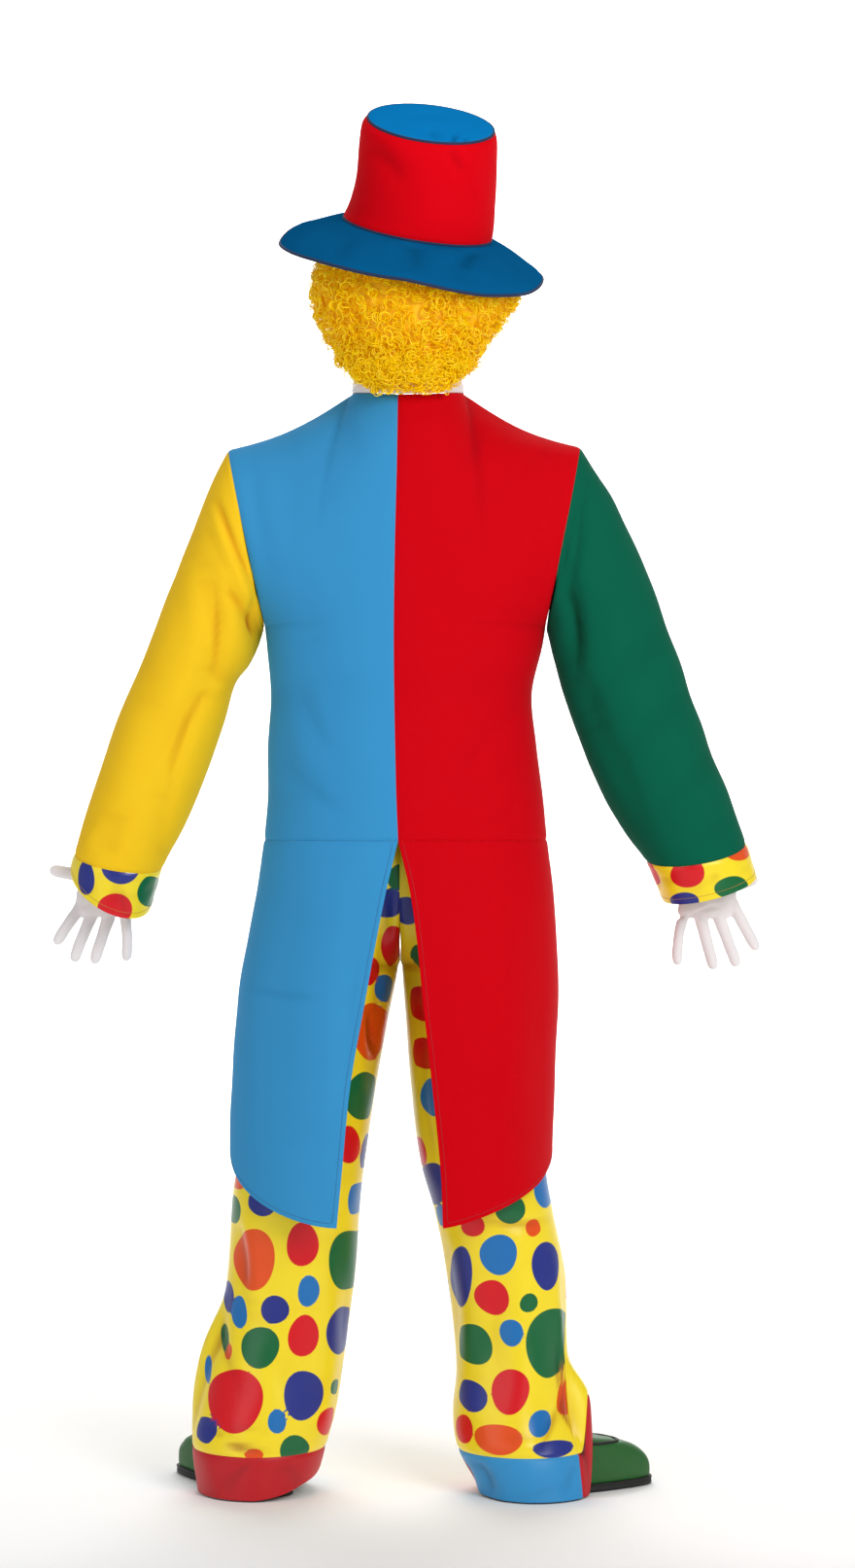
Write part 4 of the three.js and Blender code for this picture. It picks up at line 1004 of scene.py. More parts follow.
@dataclass
class Coat:
    """The two-colour tailcoat: four bodice panels, two tails and three front buttons."""

    neckline: Neckline = field(default_factory=Neckline)
    waist_z: float = 898.0
    armpit_z: float = 1193.0
    centre_front_x: float = 7.0
    cloth: float = 1.3
    neck_share: float = 4 / 9
    side_share: float = 5 / 13
    shoulder_sag: float = 11.0
    wrap_top: float = 170.0
    wrap_hem: float = 97.0
    hem_z: float = 374.0
    hem_rise: dict[Side, tuple[float, float]] = field(
        default_factory=lambda: {Side.LEFT: (108.0, 1.66), Side.RIGHT: (100.0, 1.3)}
    )
    button_heights: tuple[float, ...] = (0.1, 0.36, 0.62)
    button_radius: float = 15.0
    stitch_inset: float = 6.5
    body: Table = Table(
        ("z", "left", "right", "back", "front"),
        (
            (898, -190, 205, -138, 128),
            (960, -185, 199, -134, 126),
            (1030, -185, 190, -128, 124),
            (1100, -181, 184, -122, 126),
            (1167, -186, 199, -120, 130),
            (1193, -189, 203, -120, 131),
            (1300, -200, 214, -118, 128),
            (1400, -220, 232, -108, 108),
            (1455, -230, 244, -96, 84),
            (1512, -240, 251, -72, 70),
        ),
    )
    centre_back: Table = Table(
        ("z", "x"), ((898, -2), (975, -5), (1150, -8), (1280, -7), (1420, -4), (1512, -3))
    )
    tail: dict[Side, Table] = field(
        default_factory=lambda: {
            Side.LEFT: Table(
                ("z", "vent", "side", "back", "front"),
                (
                    (374, -85, -238, -158, 120),
                    (448, -78, -238, -160, 124),
                    (570, -66, -235, -162, 128),
                    (678, -47, -226, -162, 130),
                    (760, -32, -213, -158, 130),
                    (830, -18, -200, -150, 129),
                    (898, -2, -190, -138, 128),
                ),
            ),
            Side.RIGHT: Table(
                ("z", "vent", "side", "back", "front"),
                (
                    (374, 59, 212, -158, 120),
                    (448, 56, 213, -160, 124),
                    (570, 44, 217, -162, 128),
                    (678, 32, 221, -162, 130),
                    (760, 24, 219, -158, 130),
                    (830, 14, 213, -150, 129),
                    (898, -2, 205, -138, 128),
                ),
            ),
        }
    )
    back_creases: tuple[Crease, ...] = (
        Crease((-143, 1420), (-149, 1182), -3, 26, 34, 6),
        Crease((-158, 1301), (-153, 1089), 2.4, 22, 30, -5),
        Crease((-147, 1129), (-97, 1021), -3.2, 14, 24, 4),
        Crease((-166, 1017), (-73, 933), -2.6, 12, 22, 5),
        Crease((-81, 1481), (-52, 1421), -3, 18, 22, 4),
        Crease((-148, 1461), (-88, 1475), 2, 16, 20, 0),
        Crease((-41, 1354), (-52, 1037), 1.6, 30, 36, 5),
        Crease((-170, 1116), (-147, 904), -2, 14, 20, -4),
        Crease((-199, 1422), (-172, 1250), -2.2, 12, 18, 5),
        Crease((-108, 1248), (-78, 1116), 1.6, 20, 26, 0),
        Crease((115, 1477), (88, 1413), -3, 18, 22, -4),
        Crease((197, 1448), (144, 1422), 2, 16, 24, 0),
        Crease((181, 1301), (192, 1129), -2.4, 16, 22, 6),
        Crease((117, 1248), (102, 997), -1.6, 28, 34, 5),
        Crease((165, 1089), (78, 984), -1.8, 16, 26, 6),
        Crease((170, 997), (91, 917), 1.6, 14, 20, -5),
        Crease((25, 1301), (33, 1037), 1.2, 20, 30, 0),
        Crease((231, 1409), (206, 1236), -2, 10, 18, -5),
    )
    tail_creases: tuple[Crease, ...] = (
        Crease((-146, 878), (-164, 419), -2.4, 26, 34, 8),
        Crease((-93, 852), (-106, 406), 2.2, 24, 30, -6),
        Crease((-212, 697), (-117, 687), -1.6, 6, 10, 3),
        Crease((-46, 865), (-78, 458), -1.6, 16, 22, 5),
        Crease((-197, 773), (-202, 456), 2, 14, 18, 3),
        Crease((77, 865), (106, 419), -2.2, 26, 34, -6),
        Crease((143, 878), (154, 432), 2.2, 24, 30, 6),
        Crease((38, 852), (67, 432), -1.4, 16, 20, -5),
        Crease((191, 799), (196, 456), -2, 14, 18, 3),
        Crease((117, 536), (196, 418), 1.6, 14, 22, 4),
    )

    def shoulder_line(self, side: Side, face: Face, u: Array) -> Array:
        """The top edge of a bodice panel: the neckline, then the shoulder seam with a slight sag.

        Args:
            side: the wearer's side.
            face: back or front.
            u: 0 at the centre seam and 1 at the armhole.

        Returns:
            The neckline's points up to the neck's share of u, and past it a straight line to the
            armhole's outer point, lower by the sag times the sine of its way.
        """
        centre = (
            float(self.centre_back.read(self.neckline.back_z)["x"])
            if face is Face.BACK
            else self.centre_front_x
        )
        off = self.neckline.angle_at(centre)
        start = off if face is Face.BACK else side.value * (180 - side.value * off)
        neck = self.neckline.point(mix(start, side.value * 90.0, np.minimum(u / self.neck_share, 1)))
        t = np.maximum((u - self.neck_share) / (1 - self.neck_share), 0)
        end = sleeve_point(side, np.array(0.0), np.array(0.0))
        shoulder = mix(self.neckline.point(np.array(side.value * 90.0)), end, t[..., None])
        shoulder[..., 2] -= self.shoulder_sag * np.sin(math.pi * t)
        return np.where((u <= self.neck_share)[..., None], neck, shoulder)

    def plain_top(self, side: Side, face: Face, u: Array) -> Array:
        """Where a panel's top row would lie without its neckline and shoulder."""
        top_z = self.neckline.back_z if face is Face.BACK else self.neckline.front_z
        body = self.body.read(top_z)
        seam = self.centre_back.read(top_z)["x"] if face is Face.BACK else self.centre_front_x
        edge = sleeve_point(side, np.array(0.0), np.array(0.0))
        depth = body["back"] if face is Face.BACK else body["front"]
        return points_of(mix(seam, edge[0], u), mix(depth, edge[1], u**2.2), mix(top_z, edge[2], u**1.5))

    def bodice_point(self, side: Side, face: Face, u: Array, v: Array) -> Array:
        """Points of a bodice panel.

        Args:
            side: the wearer's side.
            face: back or front.
            u: 0 at the centre seam and 1 at the side seam or armhole.
            v: 0 at the waist and 1 at the shoulder.

        Returns:
            A blend of centre seam and side by a quarter oval in u, which flattens to a straight
            blend above the armpit, and is drawn to the shoulder line by the cube of the way up.
        """
        in_arm = np.maximum(v - self.side_share, 0) / (1 - self.side_share)
        top_z = self.neckline.back_z if face is Face.BACK else self.neckline.front_z
        low = mix(self.waist_z, self.armpit_z, np.minimum(v / self.side_share, 1))
        centre_z = np.where(v <= self.side_share, low, mix(self.armpit_z, top_z, in_arm))
        body = self.body.read(centre_z)
        seam = (
            self.centre_back.read(centre_z)["x"]
            if face is Face.BACK
            else np.full_like(v, self.centre_front_x)
        )
        centre = points_of(seam, body["back"] if face is Face.BACK else body["front"], centre_z)
        angle = 180 * (1 - in_arm)
        arm = sleeve_point(side, np.zeros_like(v), angle if face is Face.BACK else 360 - angle)
        edge = points_of(body["left"] if side is Side.LEFT else body["right"], 0.0, centre_z)
        edge = np.where((v > self.side_share)[..., None], arm, edge)
        roundness = (1 - in_arm) ** 1.5
        x = roundness * np.sin(u * math.pi / 2) + (1 - roundness) * u
        y = roundness * (1 - np.cos(u * math.pi / 2)) + (1 - roundness) * u**2.2
        share = np.stack([x, y, np.broadcast_to(u**1.5, x.shape)], axis=-1)
        correction = self.shoulder_line(side, face, u) - self.plain_top(side, face, u)
        return mix(centre, edge, share) + correction * (in_arm**3)[..., None]

    def tail_point(self, side: Side, u: Array, v: Array) -> Array:
        """Points of a tail.

        Args:
            side: the wearer's side.
            u: 0 at the vent and 1 at the front edge.
            v: 0 at the waist seam and 1 at the hem.

        Returns:
            A quarter oval from vent to side and another on to the front, turned by an angle that
            shrinks from the waist to the hem, its hem rising round the outer corner.
        """
        turn = u * mix(self.wrap_top, self.wrap_hem, np.sin(v * math.pi / 2))
        rise, bend = self.hem_rise[side]
        z = mix(self.waist_z, self.hem_z + rise * np.minimum(turn / self.wrap_hem, 1) ** bend, v)
        row = self.tail[side].read(z)
        a = np.radians(turn)
        behind = turn <= 90
        x = mix(np.where(behind, row["vent"], self.centre_front_x), row["side"], np.sin(a))
        y = np.where(behind, row["back"], -row["front"]) * np.cos(a)
        return points_of(x, y, z)

    def bodice_grid(self, side: Side, face: Face) -> Grid:
        """A bodice panel's outer face with its creases and its sewn edges rolled in."""
        down = spaced(104 if face is Face.BACK else 70)
        u, v = np.meshgrid(spaced(46 if face is Face.BACK else 32), down)
        points = self.bodice_point(side, face, u, v)
        hollow = points_of(-3.0 if side is Side.LEFT else 8.0, 0.0, mix(self.waist_z, 1400.0, down))
        grid = Grid(points, hollow)
        x, z = points[..., 0], points[..., 2]
        if face is Face.BACK:
            heights = relief(self.back_creases, x, z)
        else:
            low, high = (20.0, 930.0), (190.0, 1400.0)
            creases = scattered(11 + side.value, 9, low, high, (20.0, -130.0), 3.2, 20.0)
            heights = relief(creases, np.abs(x), z)
        heights = heights + waviness(x, z, 3 + side.value, 120.0, 1.0)
        fade = np.minimum(1, np.minimum(v, 1 - v) * 14) * np.minimum(1, np.minimum(u, 1 - u) * 8 + 0.1)
        return grid.raised(heights * fade).rolled(1.5, 3.0)

    def tail_grid(self, side: Side) -> Grid:
        """A tail's outer face, its waist seam rolled in and its edges turned under, a little thick."""
        u, v = np.meshgrid(spaced(72), spaced(116))
        points = self.tail_point(side, u, v)
        grid = Grid(points, points_of(0.0, 0.0, mix(self.waist_z, self.hem_z, spaced(116))))
        x, z = points[..., 0], points[..., 2]
        behind = ease(30, -40, points[..., 1])
        plain = relief(
            scattered(31 + side.value, 8, (60.0, 480.0), (220.0, 860.0), (10.0, -220.0), 3.0, 24.0),
            np.abs(x),
            z,
        )
        heights = behind * relief(self.tail_creases, x, z) + (1 - behind) * plain
        heights = heights + waviness(x, z, 7 + side.value, 130.0, 1.3) * np.minimum(1, v * 6)
        heights = heights * np.minimum(1, v * 10)
        grid = grid.raised(heights).rolled(1.5, 3.0, "t")
        across, along = grid.across(), grid.along()
        edge = np.minimum(np.minimum(across, across[:, -1:] - across), along[-1:] - along)
        groove = (
            -0.7 * np.exp(-(((edge - self.stitch_inset) / 1.3) ** 2)) - 0.9 * np.exp(-((edge / 1.0) ** 2))
        )
        return grid.raised(groove)

    def topstitch(self, grid: Grid) -> tuple[Array, Array]:
        """The line of stitching inside a tail's vent, hem and front edges.

        Args:
            grid: the tail's outer face.

        Returns:
            The line's points and normals, `stitch_inset` inside the cut edges.
        """
        across, along = grid.across(), grid.along()
        rows, columns = grid.points.shape[:2]
        inset = self.stitch_inset
        last = (
            rows
            - 1
            - np.array(
                [np.searchsorted(-(along[:, c] - along[-1, c])[::-1], inset) for c in range(columns)]
            )
        )
        down = np.arange(3, float(np.min(last)), 1.0)
        near = np.array([np.interp(inset, across[int(r)], np.arange(columns)) for r in down])
        far = np.array(
            [np.interp(across[int(r), -1] - inset, across[int(r)], np.arange(columns)) for r in down]
        )
        first, end = near[-1], far[-1]
        along_hem = np.arange(math.ceil(first), math.floor(end), 1.0)
        hem_rows = np.array(
            [np.interp(along[-1, int(c)] - inset, along[:, int(c)], np.arange(rows)) for c in along_hem]
        )
        row = np.concatenate([down, hem_rows, down[::-1]])
        column = np.concatenate([near, along_hem, far[::-1]])
        return grid.path(row, column)

    def button(self, name: str, height: float) -> bpy.types.Object:
        """A round front button with a raised rim round a shallow hollow, turned on its axis.

        Args:
            name: the piece's name.
            height: its place up the front panel, 0 at the waist and 1 at the shoulder.

        Returns:
            The button, a profile of radii and heights carried round in 48 steps.
        """
        column = np.array([0.0, 1 / 9])
        seat = self.bodice_point(Side.RIGHT, Face.FRONT, column, np.full(2, height))
        share = self.button_radius / (seat[1, 0] - seat[0, 0])
        y = mix(seat[1, 1], seat[0, 1], share) + 0.4
        radii = np.array([0.01, 4, 8, 10.5, 12.5, 14.3, 15.0, 14.6, 12.0, 0.01])
        rise = np.array([3.3, 3.3, 3.3, 3.8, 4.9, 4.8, 3.4, 1.4, 0.2, 0.2])
        turn = np.linspace(0, 2 * math.pi, 48, endpoint=False)
        x = seat[1, 0] + radii[:, None] * np.cos(turn)
        z = seat[1, 2] + radii[:, None] * np.sin(turn)
        points = points_of(x, y + rise[:, None], z)
        grid = Grid(points, np.array([seat[1, 0], y + 1.6, seat[1, 2]]), tube=True)
        faces = grid_faces(len(radii), 48, True)
        ids = np.arange(len(radii) * 48).reshape(len(radii), 48)
        caps = [ids[:1, ::-1], ids[-1:]]
        if not grid.turned_out():
            faces, caps = faces[:, ::-1], [c[:, ::-1] for c in caps]
        return new_object(name, points.reshape(-1, 3), [faces, *caps])

    def build(self, finishes: Finishes) -> None:
        """Builds and dresses the bodice, the tails and the buttons.

        Args:
            finishes: the costume's materials.
        """
        for side in Side:
            cloth = finishes.blue_cloth if side is Side.LEFT else finishes.red_cloth
            slot = "blue_cloth" if side is Side.LEFT else "red_cloth"
            thread = finishes.blue_thread if side is Side.LEFT else finishes.red_thread
            for face in Face:
                grid = self.bodice_grid(side, face)
                node = f"coat_{face.word}_{side.word}"
                # the `trough` mark paints shade into the bodice panel's creases
                piece = settle(
                    wall(f"cloth_{node}", grid, self.cloth, {"trough": trough_of(grid)}), cloth, slot, node
                )
                LOG.info("%s", piece.name)
            grid = self.tail_grid(side)
            node = f"tail_{side.word}"
            # the `trough` mark paints shade into the tail's creases
            piece = settle(
                wall(f"cloth_{node}", grid, self.cloth + 0.4, {"trough": trough_of(grid)}),
                cloth,
                slot,
                node,
            )
            stitching = stitches_on(f"topstitch_{node}", *self.topstitch(grid))
            settle(stitching, thread, slot)
            LOG.info("%s with its topstitching", piece.name)
        for k, height in enumerate(self.button_heights, start=1):
            settle(self.button(f"front_button_{k}", height), finishes.button, "button", f"coat_button_{k}")


def trough_of(grid: Grid, size: float = 5.0) -> Array:
    """How deep each point lies in a trough, from 0 to 1, which the finishes paint as shade.

    Args:
        grid: the finished surface.
        size: the depth in mm that counts as 1.

    Returns:
        The drop of each point below the mean of the points about 12 mm away, along the normal.
    """
    step = float(np.median(np.linalg.norm(np.diff(grid.points, axis=0), axis=2)))
    reach = max(int(round(12 / max(step, 0.5))), 1)
    p = grid.points
    low = np.clip(np.arange(len(p)) - reach, 0, len(p) - 1)
    high = np.clip(np.arange(len(p)) + reach, 0, len(p) - 1)
    columns = p.shape[1]
    around = np.arange(columns)
    if grid.tube:
        left, right = (around - reach) % columns, (around + reach) % columns
    else:
        left, right = np.clip(around - reach, 0, columns - 1), np.clip(around + reach, 0, columns - 1)
    drop_rows = ((p[low] + p[high]) / 2 - p) * grid.normals()
    drop_columns = ((p[:, left] + p[:, right]) / 2 - p) * grid.normals()
    depth = np.maximum(drop_rows.sum(-1), 0) + np.maximum(drop_columns.sum(-1), 0)
    return np.clip(depth / size, 0, 1)


@dataclass(frozen=True)
class Dot:
    """A printed dot: where its middle shows from behind, its half width and height, and its ink."""

    x: float
    z: float
    half_width: float
    half_height: float
    dye: Dye


@dataclass
class DotPrint:
    """The printed dots of one cut piece of satin.

    The dots that show are charted, as they look from straight behind. The rest are drawn
    with a seed at the same mean spacing and range of sizes. On an `upright` piece the print runs
    with the height and with the level way round, not with the rows.
    """

    dots: tuple[Dot, ...]
    seed: int
    spacing: float = 58.0
    clear_below: float = -1e9
    gap: float = 7.0
    upright: bool = False

    def on(self, grid: Grid, middle: int) -> dict[str, Array]:
        """Works out the print on a surface.

        Args:
            grid: the cloth's outer face.
            middle: the column that stands for the grain line.

        Returns:
            The marks `dot_edge`, the signed distance in mm to the nearest dot's edge, which is the
            wobbled radius share less 1, times the dot's half size, and `dot_colour`, its ink.
        """
        across, along = grid.across(), grid.along()
        if self.upright:
            level = np.linalg.norm(np.diff(grid.points[..., :2], axis=1), axis=2)
            across = np.concatenate([np.zeros((len(level), 1)), np.cumsum(level, axis=1)], axis=1)
        s = across - across[:, middle : middle + 1]
        t = (
            -grid.points[..., 2]
            if self.upright
            else np.broadcast_to(along[:, middle : middle + 1], s.shape)
        )
        nearest = np.full(s.shape, 1e3)
        colour = np.zeros((*s.shape, 4))
        draw = np.random.default_rng(self.seed + 1)

        def ink(ds: Array, dt: Array, size: float, dye: Dye, beyond: Array | float) -> None:
            """Lays one dot, its outline a little uneven, where it is nearer than those before."""
            angle = np.arctan2(dt, ds)
            p2, p3 = draw.uniform(0, 2 * math.pi, 2)
            wobble = 1 + 0.045 * np.cos(2 * angle + p2) + 0.025 * np.cos(3 * angle + p3)
            edge = np.maximum((np.hypot(ds, dt) / wobble - 1) * size, beyond)
            here = edge < nearest
            nearest[here] = edge[here]
            colour[here] = linear(dye.value)

        centres, sizes, facing = [], [], -grid.normals()[..., 1]
        for dot in self.dots:
            x, z = grid.points[..., 0] - dot.x, grid.points[..., 2] - dot.z
            place = np.unravel_index(np.argmin(np.hypot(x, z) + 400 * (facing < -0.1)), x.shape)
            centres.append((float(s[place]), float(t[place])))
            sizes.append((dot.half_width / max(float(facing[place]), 0.5), dot.half_height))
            reach = 1.35 * max(dot.half_width, dot.half_height)
            beyond = np.linalg.norm(grid.points - grid.points[place], axis=-1) - reach
            ink(
                x / dot.half_width,
                z / dot.half_height,
                min(dot.half_width, dot.half_height),
                dot.dye,
                beyond,
            )
        for (cs, ct), (rs, rt), dye in self._fill(grid, s, t, centres, sizes):
            ink((s - cs) / rs, (t - ct) / rt, min(rs, rt), dye, -1e3)
        return {"dot_edge": nearest, "dot_colour": colour}

    def _fill(self, grid: Grid, s: Array, t: Array, centres: list, sizes: list) -> list:
        """Draws seeded dots wherever the charted ones leave hidden cloth bare.

        Args:
            grid: the cloth's outer face.
            s: the distance across the flat cloth.
            t: the distance along it.
            centres: the charted dots' middles, to which the new ones are added.
            sizes: their half sizes, to which the new ones are added.

        Returns:
            Each new dot's middle, half sizes and ink.
        """
        draw = np.random.default_rng(self.seed)
        columns = np.arange(s.min(), s.max(), self.spacing)
        rows = np.arange(t.min(), t.max(), self.spacing * 0.9)
        order, made = list(Dye), []
        for k, row in enumerate(rows):
            for column in columns + (k % 2) * self.spacing / 2:
                cs, ct = column + draw.normal(0, 7), row + draw.normal(0, 6)
                size = float(draw.choice([14, 18, 22, 26, 34]) * draw.uniform(0.85, 1.1))
                place = np.unravel_index(np.argmin(np.hypot(s - cs, t - ct)), s.shape)
                if grid.points[place][2] < self.clear_below:
                    continue
                room = [math.hypot(cs - a, ct - b) - max(r) for (a, b), r in zip(centres, sizes)]
                size = min([size, *(r - self.gap for r in room)])
                if size < 9:
                    continue
                centres.append((cs, ct))
                sizes.append((size, size * float(draw.uniform(0.9, 1.25))))
                made.append((centres[-1], sizes[-1], order[int(draw.integers(len(order)))]))
        return made


def joined_print(mask: Array, here: dict[str, Array], elsewhere: dict[str, Array]) -> dict[str, Array]:
    """Joins two prints of the same cloth.

    Args:
        mask: where the first print shows.
        here: the first print's marks.
        elsewhere: the marks of the second, at least the same ones.

    Returns:
        The marks of the first print, taken from the second where the mask is off.
    """
    return {
        key: np.where(mask if here[key].ndim == 2 else mask[..., None], here[key], elsewhere[key])
        for key in here
    }


@dataclass
class Sleeve:
    """A set-in sleeve and its dotted cuff."""

    side: Side
    cloth: float = 1.3
    creases: dict[Side, tuple[Crease, ...]] = field(
        default_factory=lambda: {
            Side.LEFT: (
                Crease((-262, 1265), (-260, 1109), -9, 14, 26, -8),
                Crease((-261, 1118), (-321, 968), -7, 12, 22, 8),
                Crease((-295, 1291), (-275, 1131), 4, 20, 20, -6),
                Crease((-252, 1370), (-201, 1252), -4.5, 5, 8, 3),
                Crease((-260, 1354), (-206, 1236), 3, 6, 8, 3),
                Crease((-236, 1244), (-193, 1156), -9, 9, 14, -8),
                Crease((-223, 1266), (-188, 1185), 5, 10, 10, 4),
                Crease((-202, 1229), (-191, 1178), -12, 7, 8, 2),
                Crease((-351, 1091), (-391, 930), 3, 22, 26, 4),
                Crease((-381, 943), (-408, 868), -3, 12, 16, 2),
                Crease((-311, 984), (-338, 871), -3, 10, 18, 3),
                Crease((-425, 916), (-444, 871), 2, 8, 10, 0),
            ),
            Side.RIGHT: (
                Crease((252, 1374), (232, 1251), -6, 9, 18, -4),
                Crease((232, 1265), (242, 1123), -10, 10, 20, -8),
                Crease((229, 1338), (210, 1247), -5, 6, 10, -4),
                Crease((215, 1306), (222, 1198), 4, 8, 8, 4),
                Crease((242, 1131), (279, 1037), -5, 14, 26, -6),
                Crease((269, 1413), (306, 1225), 3, 24, 26, -8),
                Crease((306, 1305), (373, 1037), -2, 24, 34, -6),
                Crease((266, 1064), (340, 890), -5, 16, 28, -8),
                Crease((374, 1118), (414, 903), 3, 22, 26, 4),
            ),
        }
    )
    dots: dict[Side, tuple[Dot, ...]] = field(
        default_factory=lambda: {
            Side.LEFT: (
                Dot(-438, 844, 13, 23, Dye.NAVY),
                Dot(-388, 860, 26, 25, Dye.NAVY),
                Dot(-397, 802, 25, 20, Dye.RED),
                Dot(-348, 824, 20, 21, Dye.GREEN),
                Dot(-330, 862, 8, 9, Dye.RED),
            ),
            Side.RIGHT: (
                Dot(352, 848, 16, 17, Dye.RED),
                Dot(400, 851, 24, 20, Dye.RED),
                Dot(471, 884, 21, 16, Dye.ORANGE),
                Dot(462, 831, 24, 16, Dye.GREEN),
                Dot(397, 812, 20, 12, Dye.NAVY),
            ),
        }
    )

    def grid(self, first: float, last: float, rows: int, columns: int) -> Grid:
        """The outer face between two steps, without creases."""
        step, angle = np.meshgrid(
            mix(first, last, spaced(rows)), np.linspace(0, 360, columns, endpoint=False), indexing="ij"
        )
        return Grid(
            sleeve_point(self.side, step, angle),
            sleeve_middle(self.side, mix(first, last, spaced(rows))),
            tube=True,
        )

    def creased(self, grid: Grid, fade: Array) -> Grid:
        """Lays the creases on a sleeve: those that show behind, and like ones in front.

        Args:
            grid: the plain face.
            fade: how much of each height stays, for each row.

        Returns:
            The face moved out by the sum of the creases and the cloth's waviness.
        """
        x, z = grid.points[..., 0], grid.points[..., 2]
        behind = ease(-0.1, 0.35, -grid.normals()[..., 1])
        s = self.side.value
        low, high = (200.0, 900.0), (430.0, 1380.0)
        hidden = relief(scattered(51 + s, 12, low, high, (60.0, -150.0), 6.0, 16.0), np.abs(x), z)
        heights = behind * relief(self.creases[self.side], x, z) + (1 - behind) * hidden
        heights = heights + waviness(x, z, 61 + s, 110.0, 1.6)
        return grid.raised(heights * fade[:, None])

    def build(self, finishes: Finishes) -> None:
        """Builds and dresses the sleeve and its cuff.

        Args:
            finishes: the costume's materials.
        """
        word = self.side.word
        left = self.side is Side.LEFT
        plain = self.grid(0.0, CUFF_STEP, 120, 72)
        way = np.linspace(0, 1, len(plain.points))
        grid = self.creased(
            plain, np.minimum(np.minimum(way * 16, (1 - way) * 14), 1)
        ).rolled(1.6, 3.2, "tb")
        # the `trough` mark paints shade into the sleeve's creases
        piece = wall(f"cloth_sleeve_{word}", grid, self.cloth, {"trough": trough_of(grid)})
        cloth, slot = (
            (finishes.yellow_cloth, "yellow_cloth") if left else (finishes.green_cloth, "green_cloth")
        )
        settle(piece, cloth, slot, f"sleeve_{word}")
        LOG.info("%s", piece.name)
        cuff = self.grid(CUFF_STEP, CUFF_STEP + 1, 20, 120)
        gathers = waviness(cuff.across(), cuff.along(), 71 + self.side.value, 34.0, 1.0)
        fold = relief(
            scattered(75 + self.side.value, 10, (0.0, 0.0), (340.0, 50.0), (10.0, 30.0), 1.6, 8.0),
            cuff.across(),
            cuff.along(),
        )
        down = np.linspace(0, 1, len(cuff.points))[:, None]
        cuff = cuff.raised((gathers + fold) * np.sin(down * math.pi) + 0.6).rolled(1.6, 2.4, "t")
        marks = DotPrint(self.dots[self.side], 81 + self.side.value, clear_below=1e9).on(cuff, 0)
        hidden = DotPrint((), 83 + self.side.value, spacing=62).on(cuff, 60)
        behind = (cuff.normals()[..., 1] < 0.15) | (marks["dot_edge"] < 3)
        marks = joined_print(behind, marks, hidden)
        # the `trough` mark paints shade into the cuff's creases and dots
        piece = wall(f"satin_cuff_{word}", cuff, self.cloth, {"trough": trough_of(cuff), **marks})
        settle(piece, finishes.dotted_satin, "dotted_satin", f"cuff_{word}")
        columns = np.arange(0, 121, 1.0)
        along = cuff.along()
        rows = np.array(
            [
                np.interp(along[-1, int(c) % 120] - 8.0, along[:, int(c) % 120], np.arange(len(along)))
                for c in columns
            ]
        )
        stitching = stitches_on(f"hem_stitch_cuff_{word}", *cuff.path(rows, columns))
        settle(stitching, finishes.gold_thread, "dotted_satin")
        LOG.info("%s", piece.name)


@dataclass
class Collar:
    """The white satin stand collar, creased along its length as a soft folded band is."""

    neckline: Neckline = field(default_factory=Neckline)
    height: float = 34.0
    lean: float = 10.0
    cloth: float = 1.4
    creases: tuple[Crease, ...] = (
        Crease((-60, 9), (70, 11), -1.6, 2.2, 3.0, 2),
        Crease((-95, 20), (20, 23), -1.4, 2.0, 3.4, -2),
        Crease((10, 17), (110, 24), 1.5, 2.4, 3.0, 2),
        Crease((-30, 28), (90, 27), -1.2, 2.0, 2.6, 1),
        Crease((-110, 12), (-50, 26), -1.8, 3.0, 4.0, 2),
        Crease((70, 8), (120, 18), -1.6, 3.0, 3.6, -2),
        Crease((150, 10), (260, 14), -1.4, 2.2, 3.0, 2),
        Crease((-260, 22), (-150, 18), -1.4, 2.2, 3.0, -2),
        Crease((170, 25), (240, 22), 1.2, 2.4, 3.0, 1),
        Crease((-230, 10), (-140, 9), 1.2, 2.4, 3.0, 1),
    )

    def build(self, finishes: Finishes) -> None:
        """Builds the collar: the neckline carried up by its height and in by its lean.

        Args:
            finishes: the costume's materials.
        """
        v, angle = np.meshgrid(spaced(22), np.linspace(-180, 180, 140, endpoint=False), indexing="ij")
        base = self.neckline.point(angle)
        a = np.radians(angle)
        inward = points_of(-np.sin(a), np.cos(a), 0.0)
        points = base + inward * (self.lean * v**1.5)[..., None] + points_of(0.0, 0.0, self.height * v)
        middle = points_of(self.neckline.x, self.neckline.y, 1500.0 + self.height * spaced(22))
        grid = Grid(points, middle, tube=True)
        around, up = angle * 1.37, self.height * v
        heights = relief(self.creases, around, up) + waviness(around, up * 2, 91, 46.0, 0.5)
        bulge = 1.2 * np.sin(np.clip(v, 0, 1) * math.pi)
        grid = grid.raised(heights * np.minimum(1, v * 8) * np.minimum(1, (1 - v) * 5 + 0.2) + bulge)
        grid = grid.rolled(1.2, 2.0, "tb")
        # the `trough` mark paints shade into the collar's folds
        piece = wall("satin_collar", grid, self.cloth, {"trough": trough_of(grid, 3.0)})
        settle(piece, finishes.white_satin, "white_satin", "collar")
        LOG.info("%s", piece.name)


LEG_COLUMNS = ("z", "out", "inner", "back", "front", "seam")


